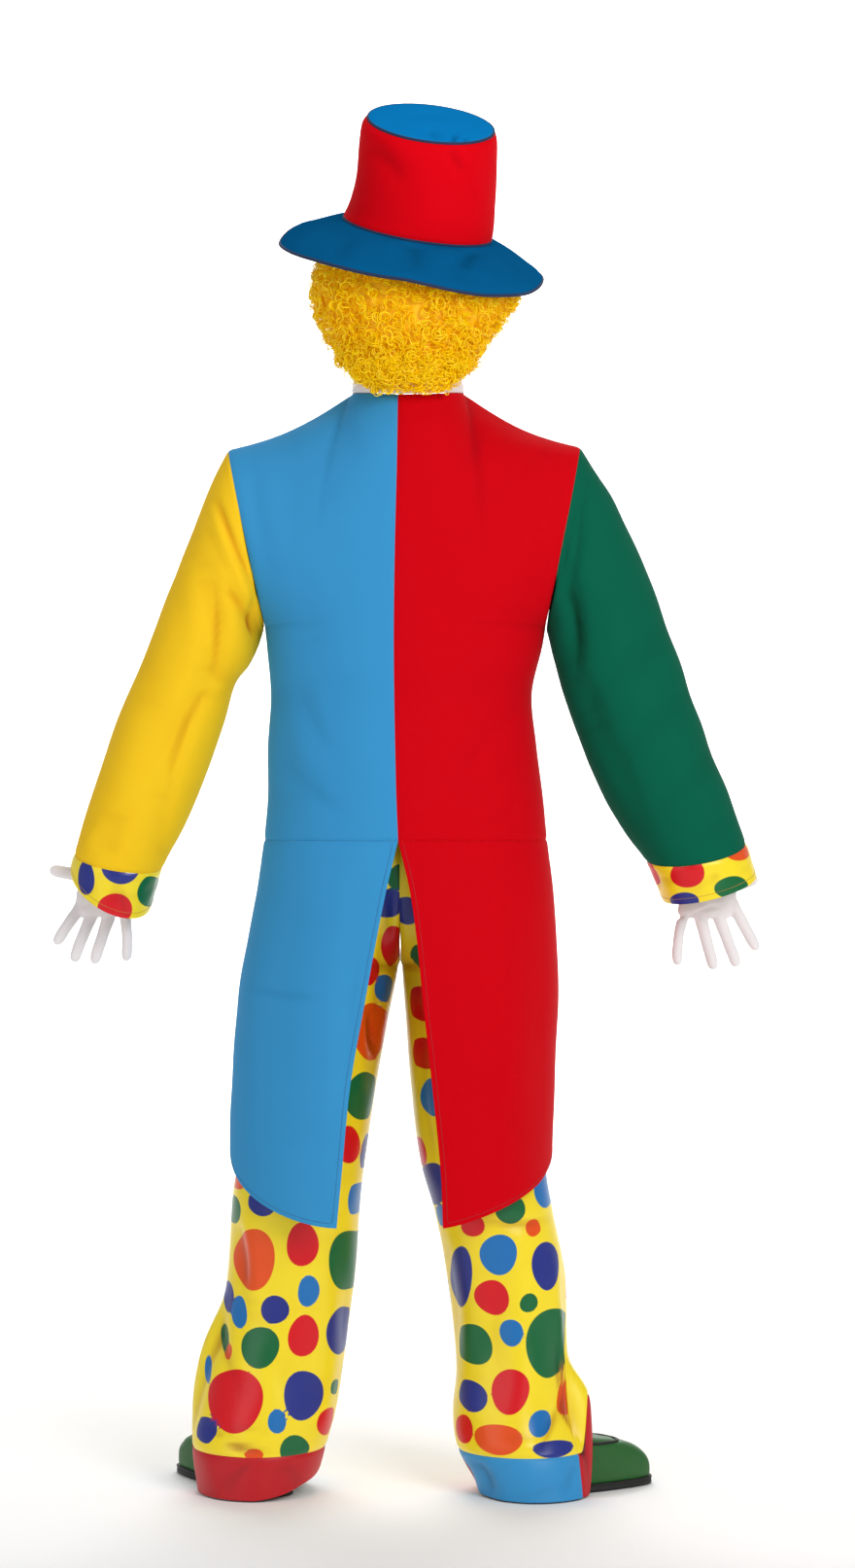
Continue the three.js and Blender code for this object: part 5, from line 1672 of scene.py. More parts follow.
@dataclass
class Trousers:
    """The dotted satin trousers: four leg panels, four hem bands and a waistband."""

    waist_z: float = 945.0
    waistband: float = 38.0
    seat_top_z: float = 850.0
    crotch_z: float = 726.0
    band: float = 60.0
    band_low: float = 2.0
    cloth: float = 1.0
    # Below this height every dot on the back is charted
    charted_below: float = 445.0
    # The front panels' bare strip beside the side seam: its share of the width, and its top
    bare_share: float = 0.3
    bare_top: float = 230.0
    lift: dict[Side, float] = field(default_factory=lambda: {Side.LEFT: 68.0, Side.RIGHT: 74.0})
    ahead: dict[Side, tuple[float, float]] = field(
        default_factory=lambda: {Side.LEFT: (-89.0, 142.0), Side.RIGHT: (129.0, 82.0)}
    )
    lift_angles: dict[Side, tuple[float, float]] = field(
        default_factory=lambda: {Side.LEFT: (40.0, 68.0), Side.RIGHT: (32.0, 58.0)}
    )
    front_spread: float = 1.3
    inseam_rise: dict[Side, float] = field(default_factory=lambda: {Side.LEFT: 90.0, Side.RIGHT: 0.0})
    rises_from: float = 0.5
    lift_fades: float = 340.0
    legs: dict[Side, Table] = field(
        default_factory=lambda: {
            Side.LEFT: Table(
                LEG_COLUMNS,
                (
                    (0, -280, -120, -140, 50, 0),
                    (62, -288, -102, -134, 56, 0),
                    (108, -282, -89, -125, 58, 0),
                    (163, -269, -80, -114, 62, 0),
                    (244, -246, -69, -104, 68, 0),
                    (298, -240, -62, -102, 72, 0),
                    (407, -233, -54, -102, 74, 0),
                    (470, -222, -46, -103, 76, 0),
                    (550, -210, -34, -106, 82, 0),
                    (640, -197, -18, -112, 90, 0),
                    (726, -188, -2, -122, 100, 0),
                    (790, -184, 0, -130, 106, 0),
                    (860, -176, 0, -124, 108, 0),
                    (945, -158, 0, -104, 104, 0),
                ),
            ),
            Side.RIGHT: Table(
                LEG_COLUMNS,
                (
                    (0, 266, 108, -152, 20, 36),
                    (62, 260, 79, -143, 34, 33),
                    (108, 236, 73, -128, 46, 24),
                    (163, 231, 78, -114, 58, 14),
                    (217, 231, 74, -106, 66, 6),
                    (298, 229, 64, -102, 70, 0),
                    (380, 213, 48, -102, 73, 0),
                    (450, 202, 28, -103, 76, 0),
                    (550, 204, 15, -106, 82, 0),
                    (640, 204, 8, -112, 90, 0),
                    (726, 198, 2, -122, 100, 0),
                    (790, 192, 0, -130, 106, 0),
                    (860, 180, 0, -124, 108, 0),
                    (945, 160, 0, -104, 104, 0),
                ),
            ),
        }
    )
    rise: Table = Table(
        ("z", "back", "front"),
        ((726, 0, 0), (750, -72, 58), (790, -112, 94), (860, -122, 107), (945, -104, 104))
    )
    creases: dict[Side, tuple[Crease, ...]] = field(
        default_factory=lambda: {
            Side.LEFT: (
                Crease((-224, 370), (-214, 280), -7, 7, 16, -4),
                Crease((-214, 386), (-198, 266), 4, 14, 20, -5),
                Crease((-79, 370), (-52, 160), -5, 14, 20, 8),
                Crease((-98, 333), (-90, 80), 3, 18, 20, 4),
                Crease((-252, 253), (-228, 160), -5, 10, 16, 5),
                Crease((-262, 94), (-148, 58), -4, 7, 10, 5),
                Crease((-252, 80), (-198, 86), 3.5, 6, 8, -2),
                Crease((-228, 71), (-175, 54), -3, 5, 7, 2),
                Crease((-60, 213), (-87, 67), -4.5, 8, 12, 5),
                Crease((-161, 333), (-153, 94), -2.5, 24, 30, 5),
                Crease((-135, 399), (-95, 383), -3, 8, 10, 2),
                Crease((-188, 187), (-175, 94), 2.5, 18, 24, -5),
                Crease((-26, 771), (-44, 545), -5, 7, 12, -4),
                Crease((-42, 665), (-26, 585), -6, 4, 6, 2),
                Crease((-10, 851), (-20, 718), -4, 10, 12, 3),
            ),
            Side.RIGHT: (
                Crease((139, 343), (134, 120), -6, 22, 26, 7),
                Crease((237, 341), (243, 117), -6, 9, 14, 5),
                Crease((216, 319), (235, 133), 4, 12, 12, 5),
                Crease((62, 346), (82, 187), -5, 12, 16, 5),
                Crease((177, 319), (171, 94), 3.5, 22, 24, -5),
                Crease((231, 133), (192, 64), -4, 9, 12, 4),
                Crease((251, 133), (259, 83), -5, 5, 6, 2),
                Crease((78, 133), (104, 67), -3, 10, 14, -3),
                Crease((118, 379), (197, 375), -3.5, 7, 12, 3),
                Crease((144, 74), (197, 80), 3, 6, 8, 2),
                Crease((98, 240), (88, 94), 3, 14, 18, 3),
                Crease((19, 771), (38, 559), -4, 9, 12, 4),
                Crease((27, 612), (49, 439), -4, 8, 10, 3),
            ),
        }
    )
    dots: dict[Side, tuple[Dot, ...]] = field(
        default_factory=lambda: {
            Side.LEFT: (
                Dot(-201, 323, 31, 41, Dye.ORANGE),
                Dot(-133, 345, 23, 29, Dye.RED),
                Dot(-68, 317, 29, 43, Dye.GREEN),
                Dot(-188, 402, 20, 20, Dye.NAVY),
                Dot(-59, 402, 21, 21, Dye.BLUE),
                Dot(-224, 431, 15, 16, Dye.ORANGE),
                Dot(-230, 386, 11, 19, Dye.GREEN),
                Dot(-125, 281, 15, 21, Dye.BLUE),
                Dot(-171, 256, 19, 20, Dye.NAVY),
                Dot(-221, 249, 12, 21, Dye.BLUE),
                Dot(-237, 266, 8, 21, Dye.NAVY),
                Dot(-191, 205, 27, 27, Dye.GREEN),
                Dot(-132, 220, 20, 29, Dye.RED),
                Dot(-82, 221, 20, 33, Dye.NAVY),
                Dot(-238, 196, 7, 11, Dye.ORANGE),
                Dot(-244, 212, 7, 19, Dye.GREEN),
                Dot(-225, 133, 40, 41, Dye.RED),
                Dot(-132, 140, 25, 35, Dye.NAVY),
                Dot(-90, 144, 8, 11, Dye.GREEN),
                Dot(-167, 107, 13, 16, Dye.BLUE),
                Dot(-265, 90, 17, 17, Dye.NAVY),
                Dot(-100, 98, 15, 19, Dye.RED),
                Dot(-143, 68, 20, 19, Dye.GREEN),
                Dot(-198, 64, 13, 8, Dye.ORANGE),
                Dot(-265, 167, 5, 19, Dye.BLUE),
                Dot(-71, 479, 16, 27, Dye.RED),
                Dot(-47, 466, 19, 24, Dye.NAVY),
                Dot(-51, 545, 25, 32, Dye.GREEN),
                Dot(-38, 634, 27, 40, Dye.ORANGE),
                Dot(-20, 693, 11, 20, Dye.BLUE),
                Dot(-7, 750, 16, 32, Dye.RED),
                Dot(-1, 848, 16, 17, Dye.GREEN),
                Dot(-15, 812, 23, 20, Dye.NAVY),
                Dot(-38, 718, 13, 19, Dye.RED),
            ),
            Side.RIGHT: (
                Dot(152, 392, 20, 20, Dye.GREEN),
                Dot(200, 415, 15, 24, Dye.BLUE),
                Dot(100, 370, 17, 15, Dye.RED),
                Dot(184, 366, 11, 12, Dye.ORANGE),
                Dot(135, 331, 27, 27, Dye.BLUE),
                Dot(83, 298, 16, 43, Dye.NAVY),
                Dot(200, 313, 19, 33, Dye.NAVY),
                Dot(126, 272, 24, 24, Dye.RED),
                Dot(176, 265, 12, 13, Dye.GREEN),
                Dot(152, 225, 16, 19, Dye.BLUE),
                Dot(205, 209, 32, 48, Dye.GREEN),
                Dot(100, 206, 25, 27, Dye.GREEN),
                Dot(150, 147, 27, 29, Dye.RED),
                Dot(99, 137, 19, 21, Dye.NAVY),
                Dot(229, 132, 13, 24, Dye.ORANGE),
                Dot(192, 104, 17, 17, Dye.BLUE),
                Dot(134, 84, 32, 21, Dye.ORANGE),
                Dot(87, 91, 12, 19, Dye.RED),
                Dot(209, 71, 29, 11, Dye.NAVY),
                Dot(9, 802, 19, 19, Dye.NAVY),
                Dot(26, 738, 13, 17, Dye.GREEN),
                Dot(27, 673, 21, 25, Dye.RED),
                Dot(33, 604, 23, 21, Dye.RED),
                Dot(45, 544, 19, 27, Dye.BLUE),
                Dot(18, 519, 11, 11, Dye.NAVY),
                Dot(27, 466, 13, 19, Dye.RED),
                Dot(46, 423, 19, 32, Dye.NAVY),
                Dot(58, 379, 11, 16, Dye.BLUE),
                Dot(237, 386, 8, 16, Dye.BLUE),
            ),
        }
    )

    def hem_lift(self, side: Side, x: Array, y: Array) -> Array:
        """How far the hem rides up over the shoe, by the way round the leg from the shoe's toe."""
        low = self.legs[side].read(0.0)
        way = math.atan2(*self.ahead[side])
        turn = np.arctan2(x - (low["out"] + low["inner"]) / 2, y - (low["back"] + low["front"]) / 2) - way
        off = np.degrees(np.abs(np.arctan2(np.sin(turn), np.cos(turn))))
        return self.lift[side] * (1 - ease(*self.lift_angles[side], off))

    def leg_point(self, side: Side, face: Face, u: Array, z: Array) -> Array:
        """Points of a leg.

        Args:
            side: the wearer's side.
            face: back or front.
            u: 0 at the side seam and 1 at the inseam or seat seam.
            z: the height.

        Returns:
            Below the crotch half an oval from side seam, turned back by `seam` degrees, to inseam;
            well above it a quarter oval from side to seat seam; a blend between. The hem's lift
            fades upwards.
        """
        row, rise = self.legs[side].read(z), self.rise.read(z)
        behind = face is Face.BACK
        seat = rise["back"] if behind else rise["front"]
        side_y = (row["back"] + row["front"]) / 2
        inner_y = mix(seat, side_y, 1 - ease(620, self.crotch_z, z))
        inner_x = np.where(z >= self.crotch_z, 0.0, row["inner"])
        seam = np.radians(row["seam"]) * (1 if behind else -1)
        turn = mix(seam, math.pi, u if behind else u**self.front_spread)
        half = np.abs(turn)
        depth = np.where(behind == (turn >= 0), row["back"], row["front"])
        chord = mix(side_y, inner_y, (1 - np.cos(half)) / 2)
        x = (row["out"] + inner_x) / 2 + (row["out"] - inner_x) / 2 * np.cos(half)
        rounded = points_of(x, chord + (depth - chord) * np.sin(half), z)
        quarter = points_of(
            mix(inner_x, row["out"], np.cos(half / 2)), mix(side_y, inner_y, np.sin(half / 2)), z
        )
        split = 1 - ease(self.crotch_z, self.seat_top_z, z)
        point = mix(quarter, rounded, split[..., None])
        point[..., 2] += self.hem_lift(side, point[..., 0], point[..., 1]) * (
            1 - ease(self.band, self.lift_fades, z)
        )
        return point

    def leg_middle(self, side: Side, z: Array) -> Array:
        """The middle of a leg at each height."""
        row = self.legs[side].read(z)
        return points_of(
            (row["out"] + np.where(z > self.crotch_z, 0, row["inner"])) / 2,
            (row["back"] + row["front"]) / 2,
            z,
        )

    def creased(self, side: Side, face: Face, grid: Grid, fade: Array) -> Grid:
        """Lays the satin's creases on a panel, charted behind and seeded in front."""
        x, z = grid.points[..., 0], grid.points[..., 2]
        if face is Face.BACK:
            heights = relief(self.creases[side], x, z)
        else:
            low, high = (40.0, 120.0), (220.0, 800.0)
            made = scattered(101 + side.value, 16, low, high, (10.0, -150.0), 5.5, 13.0)
            made += scattered(105 + side.value, 7, (90.0, 120.0), (250.0, 190.0), (50.0, -25.0), 4.0, 8.0)
            heights = relief(made, np.abs(x), z)
        under = scattered(111 + side.value, 7, (60.0, 480.0), (200.0, 780.0), (6.0, -140.0), 4.0, 14.0)
        hidden = (z > 450) & (np.abs(x) > 60)
        heights = heights + np.where(hidden & (face is Face.BACK), relief(under, np.abs(x), z), 0)
        heights = heights + waviness(x, z, 121 + side.value, 70.0, 1.2)
        return grid.raised(heights * fade)

    def panel(self, side: Side, face: Face, finishes: Finishes) -> bpy.types.Object:
        """Builds one printed leg panel, from the waist seam to its hem band.

        Args:
            side: the wearer's side.
            face: back or front.
            finishes: the costume's materials.

        Returns:
            The panel.
        """
        across, along = (50, 168) if face is Face.BACK else (56, 90)
        crowded = 1.0 if face is Face.BACK else 1.5
        u, z = np.meshgrid(spaced(across) ** crowded, mix(self.waist_z, self.band, spaced(along)))
        grid = Grid(self.leg_point(side, face, u, z), self.leg_middle(side, z[:, 0]))
        fade = np.minimum(1, (z - self.band) / 12) * np.minimum(1, np.minimum(u, 1 - u) * 9)
        fade = fade * np.clip((self.waist_z - z) / 60, 0, 1)
        if face is Face.FRONT:
            fade = fade * ease(0.06, 0.4, u)
        plain, grid = grid, self.creased(side, face, grid, fade).rolled(1.4, 2.6)
        if face is Face.BACK:
            print_ = DotPrint(
                self.dots[side], 131 + side.value, clear_below=self.charted_below, upright=True
            )
        else:
            print_ = DotPrint((), 135 + side.value, upright=True)
        # the `trough` mark paints shade into the panel's creases and dots
        marks = {"trough": trough_of(grid), **print_.on(plain, across // 2 if face is Face.BACK else 12)}
        if face is Face.BACK:
            marks = self.clear_between_tails(side, plain, marks)
        else:
            marks["dot_edge"] = np.where(
                (u < self.bare_share) & (z < self.bare_top), 1e3, marks["dot_edge"]
            )
        node = f"trouser_{face.word}_{side.word}"
        piece = wall(f"satin_{node}", grid, self.cloth, marks)
        settle(piece, finishes.dotted_satin, "dotted_satin", node)
        return piece

    def clear_between_tails(self, side: Side, grid: Grid, marks: dict[str, Array]) -> dict[str, Array]:
        """Keeps seeded dots out of the gap between the tails, where only charted ones show."""
        charted = DotPrint(self.dots[side], 131 + side.value, clear_below=1e9, upright=True).on(grid, 25)
        x, z = grid.points[..., 0], grid.points[..., 2]
        gap = (
            (np.abs(x - mix(-8.0, 0.0, ease(400, 860, z))) < mix(92.0, 20.0, ease(430, 880, z)))
            | (z < self.charted_below)
        )
        return {**marks, **joined_print(gap, charted, marks)}

    def hem_band(self, side: Side, face: Face, finishes: Finishes) -> bpy.types.Object:
        """Builds one plain satin hem band, a straight strip that stands out a little at its hem."""
        u, down = np.meshgrid(spaced(50), spaced(18))
        z = mix(
            self.band,
            self.band_low + self.inseam_rise[side] * np.maximum(u - self.rises_from, 0) ** 1.5,
            down,
        )
        grid = Grid(self.leg_point(side, face, u, z), self.leg_middle(side, z[:, 0]))
        x, way = grid.points[..., 0], (self.band - z) / (self.band - self.band_low)
        folds = {
            Side.LEFT: (
                Crease((-200, 62), (-236, 6), -3.0, 9, 14, 4),
                Crease((-150, 58), (-128, 10), -2.6, 10, 14, 3),
                Crease((-262, 60), (-252, 10), 2.0, 10, 12, 0),
            ),
            Side.RIGHT: (
                Crease((96, 58), (128, 4), -5.0, 8, 16, -6),
                Crease((88, 40), (104, 6), -3.5, 5, 9, 0),
                Crease((238, 58), (232, 8), -2.5, 8, 12, 2),
                Crease((170, 56), (182, 14), 1.6, 18, 20, 0),
            ),
        }[side]
        shown = (
            relief(folds, x, z)
            if face is Face.BACK
            else relief(
                scattered(141 + side.value, 6, (90.0, 30.0), (260.0, 60.0), (14.0, -40.0), 3.0, 10.0),
                np.abs(x),
                z,
            )
        )
        grid = grid.raised(
            (shown + waviness(x, z, 145, 50.0, 0.8)) * np.minimum(1, way * 5)
        ).rolled(1.4, 2.6, "lrt")
        red = (side is Side.LEFT) == (face is Face.BACK)
        node = f"hem_band_{face.word}_{side.word}"
        # the `trough` mark paints shade into the hem band's folds
        piece = wall(f"satin_{node}", grid, self.cloth + 0.4, {"trough": trough_of(grid)})
        settle(
            piece,
            finishes.red_satin if red else finishes.blue_satin,
            "red_satin" if red else "blue_satin",
            node,
        )
        return piece

    def build_waistband(self, finishes: Finishes) -> None:
        """Builds the waistband, the waist's line carried straight up."""
        quarters = [
            (Side.RIGHT, Face.BACK, False),
            (Side.LEFT, Face.BACK, True),
            (Side.LEFT, Face.FRONT, False),
            (Side.RIGHT, Face.FRONT, True),
        ]
        lines = []
        for side, face, turned in quarters:
            u = np.linspace(0, 1, 24, endpoint=False)
            lines.append(self.leg_point(side, face, 1 - u if turned else u, np.full(24, self.waist_z)))
        ring = np.concatenate(lines)
        up = self.waistband * spaced(6)
        points = ring[None] + points_of(0.0, 0.0, up)[:, None, :]
        grid = Grid(points, points_of(0.0, 0.0, self.waist_z + up), tube=True)
        gathers = waviness(
            grid.across(), grid.along(), 151, 16.0, 1.2
        ) * np.sin(spaced(6) * math.pi)[:, None]
        grid = grid.raised(gathers).rolled(1.2, 2.5, "tb")
        # the `trough` mark paints shade into the waistband's gathers
        marks = {"trough": trough_of(grid), **DotPrint((), 153).on(grid, 48)}
        piece = wall("satin_waistband", grid, self.cloth + 0.4, marks)
        settle(piece, finishes.dotted_satin, "dotted_satin", "waistband")
        LOG.info("%s", piece.name)

    def build(self, finishes: Finishes) -> None:
        """Builds and dresses the trousers.

        Args:
            finishes: the costume's materials.
        """
        for side in Side:
            for face in Face:
                LOG.info("%s", self.panel(side, face, finishes).name)
                LOG.info("%s", self.hem_band(side, face, finishes).name)
        self.build_waistband(finishes)


@dataclass
class Hat:
    """The soft top hat: a crown band, a shallow top and a waved brim, with dark cords along its seams that
    paint their shade.
    """

    crown: Table = Table(
        ("step", "x", "y", "z", "wide", "deep", "lean", "roll"),
        (
            (0, 24, 15, 1753, 106, 110, 18, 9.8),
            (0.35, 31, 6, 1777, 101.5, 106.5, 19.4, 9.4),
            (0.8, 35.5, -6, 1808, 97.5, 102.5, 21.2, 8.9),
            (1.5, 39, -25, 1856, 96, 98.5, 24, 8.2),
            (1.85, 41, -34, 1880, 94, 96, 25.4, 7.8),
            (2, 43, -38, 1890, 89, 92, 26, 7.6),
        ),
    )
    brim: Table = Table(
        ("angle", "out", "down"),
        (
            (0, 82, 38),
            (45, 86, 47),
            (90, 79, 41),
            (135, 76, 38),
            (180, 82, 36),
            (225, 82, 28),
            (270, 82, 48),
            (315, 84, 42),
            (360, 82, 38),
        ),
    )
    cloth: float = 2.4
    dome: float = 5.0
    # the radius of the dark cords that paint the seams' shade
    seam_shade_cord: float = 2.1
    crown_creases: tuple[Crease, ...] = (
        Crease((-46, 1850), (4, 1800), -3.5, 9, 16, -3),
        Crease((-20, 1856), (30, 1822), 2.0, 12, 14, 2),
        Crease((66, 1846), (88, 1808), -3.6, 7, 9, -2),
        Crease((88, 1842), (104, 1792), 2.2, 10, 10, 0),
        Crease((-62, 1800), (-74, 1752), -2.0, 14, 18, 3),
        Crease((116, 1800), (110, 1745), 1.8, 14, 16, 0),
        Crease((20, 1770), (80, 1740), 1.4, 26, 30, 0),
    )
    brim_creases: tuple[Crease, ...] = (
        Crease((22, 1731), (30, 1672), -5.5, 14, 22, 4),
        Crease((108, 1730), (84, 1680), -4.5, 12, 16, -4),
        Crease((-52, 1734), (-88, 1690), -4.0, 14, 20, 3),
        Crease((62, 1728), (70, 1680), 4.5, 18, 18, 0),
        Crease((134, 1728), (178, 1688), -4.5, 9, 18, -5),
        Crease((-104, 1748), (-150, 1712), 3.0, 16, 16, 4),
        Crease((-10, 1732), (-22, 1690), 3.0, 14, 18, 0),
    )
    top_creases: tuple[Crease, ...] = (
        Crease((30, -96), (36, -44), -6.0, 5, 11, 2),
        Crease((47, -92), (50, -50), -4.0, 4, 6, 1),
        Crease((40, -90), (43, -52), 3.0, 4, 4, 0),
        Crease((14, -90), (8, -40), -3.0, 12, 18, -4),
        Crease((-40, 30), (50, 50), -2.0, 30, 30, 5),
    )

    def frame(self, step: Array | float) -> tuple[Array, Array, Array, Array]:
        """The way up, right and ahead of the crown's section at a step, and its middle."""
        row = self.crown.read(step)
        lean, roll = np.radians(row["lean"]), np.radians(row["roll"])
        up = points_of(np.sin(roll) * np.cos(lean), -np.sin(lean), np.cos(roll) * np.cos(lean))
        right = points_of(np.cos(roll), 0.0, -np.sin(roll))
        return up, right, np.cross(up, right), points_of(row["x"], row["y"], row["z"])

    def crown_point(self, step: Array | float, angle: Array, size: Array | float = 1.0) -> Array:
        """Points of the crown: an oval at each step, its angle run from the back to the right."""
        row = self.crown.read(step)
        _, right, ahead, middle = self.frame(step)
        a = np.radians(angle)
        wide = (size * row["wide"] * np.sin(a))[..., None]
        deep = (size * row["deep"] * np.cos(a))[..., None]
        return middle + right * wide - ahead * deep

    def brim_point(self, angle: Array, v: Array) -> Array:
        """Points of the brim: the crown's foot moved out and down by the brim's table."""
        edge = self.brim.read(np.mod(angle, 360))
        up, right, ahead, _ = self.frame(0.0)
        a = np.radians(angle)
        out = edge["out"] * v
        drop = edge["down"] * (0.75 * v + 0.25 * v * v)
        foot = self.crown_point(np.zeros_like(angle), angle)
        return (
            foot
            + right * (out * np.sin(a))[..., None]
            - ahead * (out * np.cos(a))[..., None]
            - up * drop[..., None]
        )

    def below(self, points: Array, clear: float) -> Array:
        """Presses points down until they are clear of the brim, outside the crown.

        Args:
            points: points of the hair, in mm.
            clear: the least room under the brim.

        Returns:
            The points, moved along the hat's own axis where they stood too high.
        """
        up, right, ahead, middle = self.frame(0.0)
        row = self.crown.read(0.0)
        rel = points - middle
        x, y, h = rel @ right / row["wide"], rel @ ahead / row["deep"], rel @ up
        r = np.hypot(x, y)
        angle = np.mod(np.degrees(np.arctan2(x, -y)), 360)
        edge = self.brim.read(angle)
        v = np.maximum(r - 1, 0) * row["wide"] / edge["out"]
        ceiling = -edge["down"] * (0.75 * v + 0.25 * v * v) - self.cloth - clear
        excess = np.where((r > 0.86) & (v < 1.4), np.maximum(h - ceiling, 0), 0)
        return points - up * excess[..., None]

    def build(self, finishes: Finishes) -> None:
        """Builds and dresses the hat.

        Args:
            finishes: the costume's materials.
        """
        self.build_crown(finishes)
        self.build_brim(finishes)
        self.build_top(finishes)

    def build_crown(self, finishes: Finishes) -> None:
        """Builds the crown band, with its dents and the soft roll at its seams."""
        step, angle = np.meshgrid(2 * spaced(44), np.linspace(0, 360, 136, endpoint=False), indexing="ij")
        plain = Grid(self.crown_point(step, angle), self.frame(2 * spaced(44))[3], tube=True)
        x, z = plain.points[..., 0], plain.points[..., 2]
        behind = ease(-0.1, 0.3, -plain.normals()[..., 1])
        hidden = scattered(161, 7, (-60.0, 1760.0), (110.0, 1880.0), (12.0, -60.0), 3.2, 14.0)
        heights = behind * relief(self.crown_creases, x, z) + (1 - behind) * relief(hidden, x, z)
        heights = heights + waviness(x, z, 163, 90.0, 1.0)
        v = step / 2
        bulge = 1.0 * np.sin(v * math.pi)
        grid = plain.raised(
            heights * np.minimum(1, np.minimum(v, 1 - v) * 12) + bulge
        ).rolled(1.5, 2.6, "tb")
        # painted shade: the `trough` mark, scaled down, darkens the crown's dents
        piece = wall("hat_crown_cloth", grid, self.cloth, {"trough": 0.45 * trough_of(grid)})
        settle(piece, finishes.hat_red, "hat_red", "hat_crown")
        # dark cords on the crown's foot and top seams: painted seam shade
        cords = [
            self.cord("hat_seam_shade_cord_foot", grid.points[0], finishes),
            self.cord("hat_seam_shade_cord_top", grid.points[-1], finishes),
        ]
        LOG.info("%s", piece.name)

    def cord(self, name: str, line: Array, finishes: Finishes, radius: float = 0.0) -> bpy.types.Object:
        """Makes a dark cord that closes on itself along a seam, painted shade for the seam."""
        made = tube_along(name, line, radius or self.seam_shade_cord, 8, ring=True)
        return settle(made, finishes.seam_shade_cord, "hat_blue")

    def build_brim(self, finishes: Finishes) -> None:
        """Builds the brim, waved towards its edge, which rolls under into a corded rim: the dark cord
        paints the rim's shade, and painted shade darkens the whole brim's colour.
        """
        v, angle = np.meshgrid(spaced(28), np.linspace(0, 360, 180, endpoint=False), indexing="ij")
        plain = Grid(self.brim_point(angle, v), np.array([18.0, 15.0, 1300.0]), tube=True)
        x, z = plain.points[..., 0], plain.points[..., 2]
        behind = ease(-0.2, 0.4, np.cos(np.radians(angle)))
        a = np.radians(angle)
        waves = 3.0 * np.sin(4 * a + 1.2) * ease(-0.3, 0.3, -np.cos(a)) + 1.2 * np.sin(9 * a + 0.6)
        heights = behind * relief(self.brim_creases, x, z) + waves * v**1.5 + waviness(x, z, 171, 60.0, 0.8)
        grid = plain.raised(heights * np.minimum(1, v * 6)).rolled(1.4, 2.6, "t")
        grid = grid.raised(
            -1.4 * np.exp(-(((1 - v) * 80 / 5.0) ** 2)) + 0.5 * np.exp(-(((1 - v) * 80 - 9) ** 2) / 30)
        )
        # painted shade: the whole brim goes 0.68 of the way to the deep colour, for the shade it hangs in,
        # with a little more in its creases
        shaded = np.clip(0.15 * trough_of(grid) + 0.68, 0, 1)
        piece = wall("hat_brim_cloth", grid, self.cloth, {"trough": shaded})
        settle(piece, finishes.hat_blue, "hat_blue", "hat_brim")
        # a dark cord round the brim's edge: painted shade at the rim
        rim = grid.points[-1] - grid.normals()[-1] * self.cloth / 2
        cords = [self.cord("hat_seam_shade_cord_rim", rim, finishes, self.cloth / 2 + 1.0)]
        LOG.info("%s", piece.name)

    def build_top(self, finishes: Finishes) -> None:
        """Builds the top: a square of points eased into a disc, domed a little and pinched."""
        s, t = np.meshgrid(2 * spaced(56) - 1, 2 * spaced(56) - 1)
        x, y = s * np.sqrt(1 - t * t / 2), t * np.sqrt(1 - s * s / 2)
        r = np.hypot(x, y)
        row = self.crown.read(2.0)
        up, _, _, middle = self.frame(2.0)
        flat = self.crown_point(np.full(x.shape, 2.0), np.degrees(np.arctan2(x, -y)), r)
        creases = relief(self.top_creases, x * row["wide"], y * row["deep"])
        height = (
            self.dome * (1 - r**4)
            + 0.6
            + creases * (1 - r**8)
            + waviness(s * 88, t * 92, 181, 50.0, 0.7) * (1 - r**6)
        )
        grid = Grid(flat + up * height[..., None], middle - up * 400)
        # painted shade: the `trough` mark, scaled down, darkens the top's pinch and creases
        piece = wall("hat_top_cloth", grid, self.cloth * 0.6, {"trough": 0.5 * trough_of(grid)})
        settle(piece, finishes.hat_blue, "hat_blue", "hat_top")
        LOG.info("%s", piece.name)


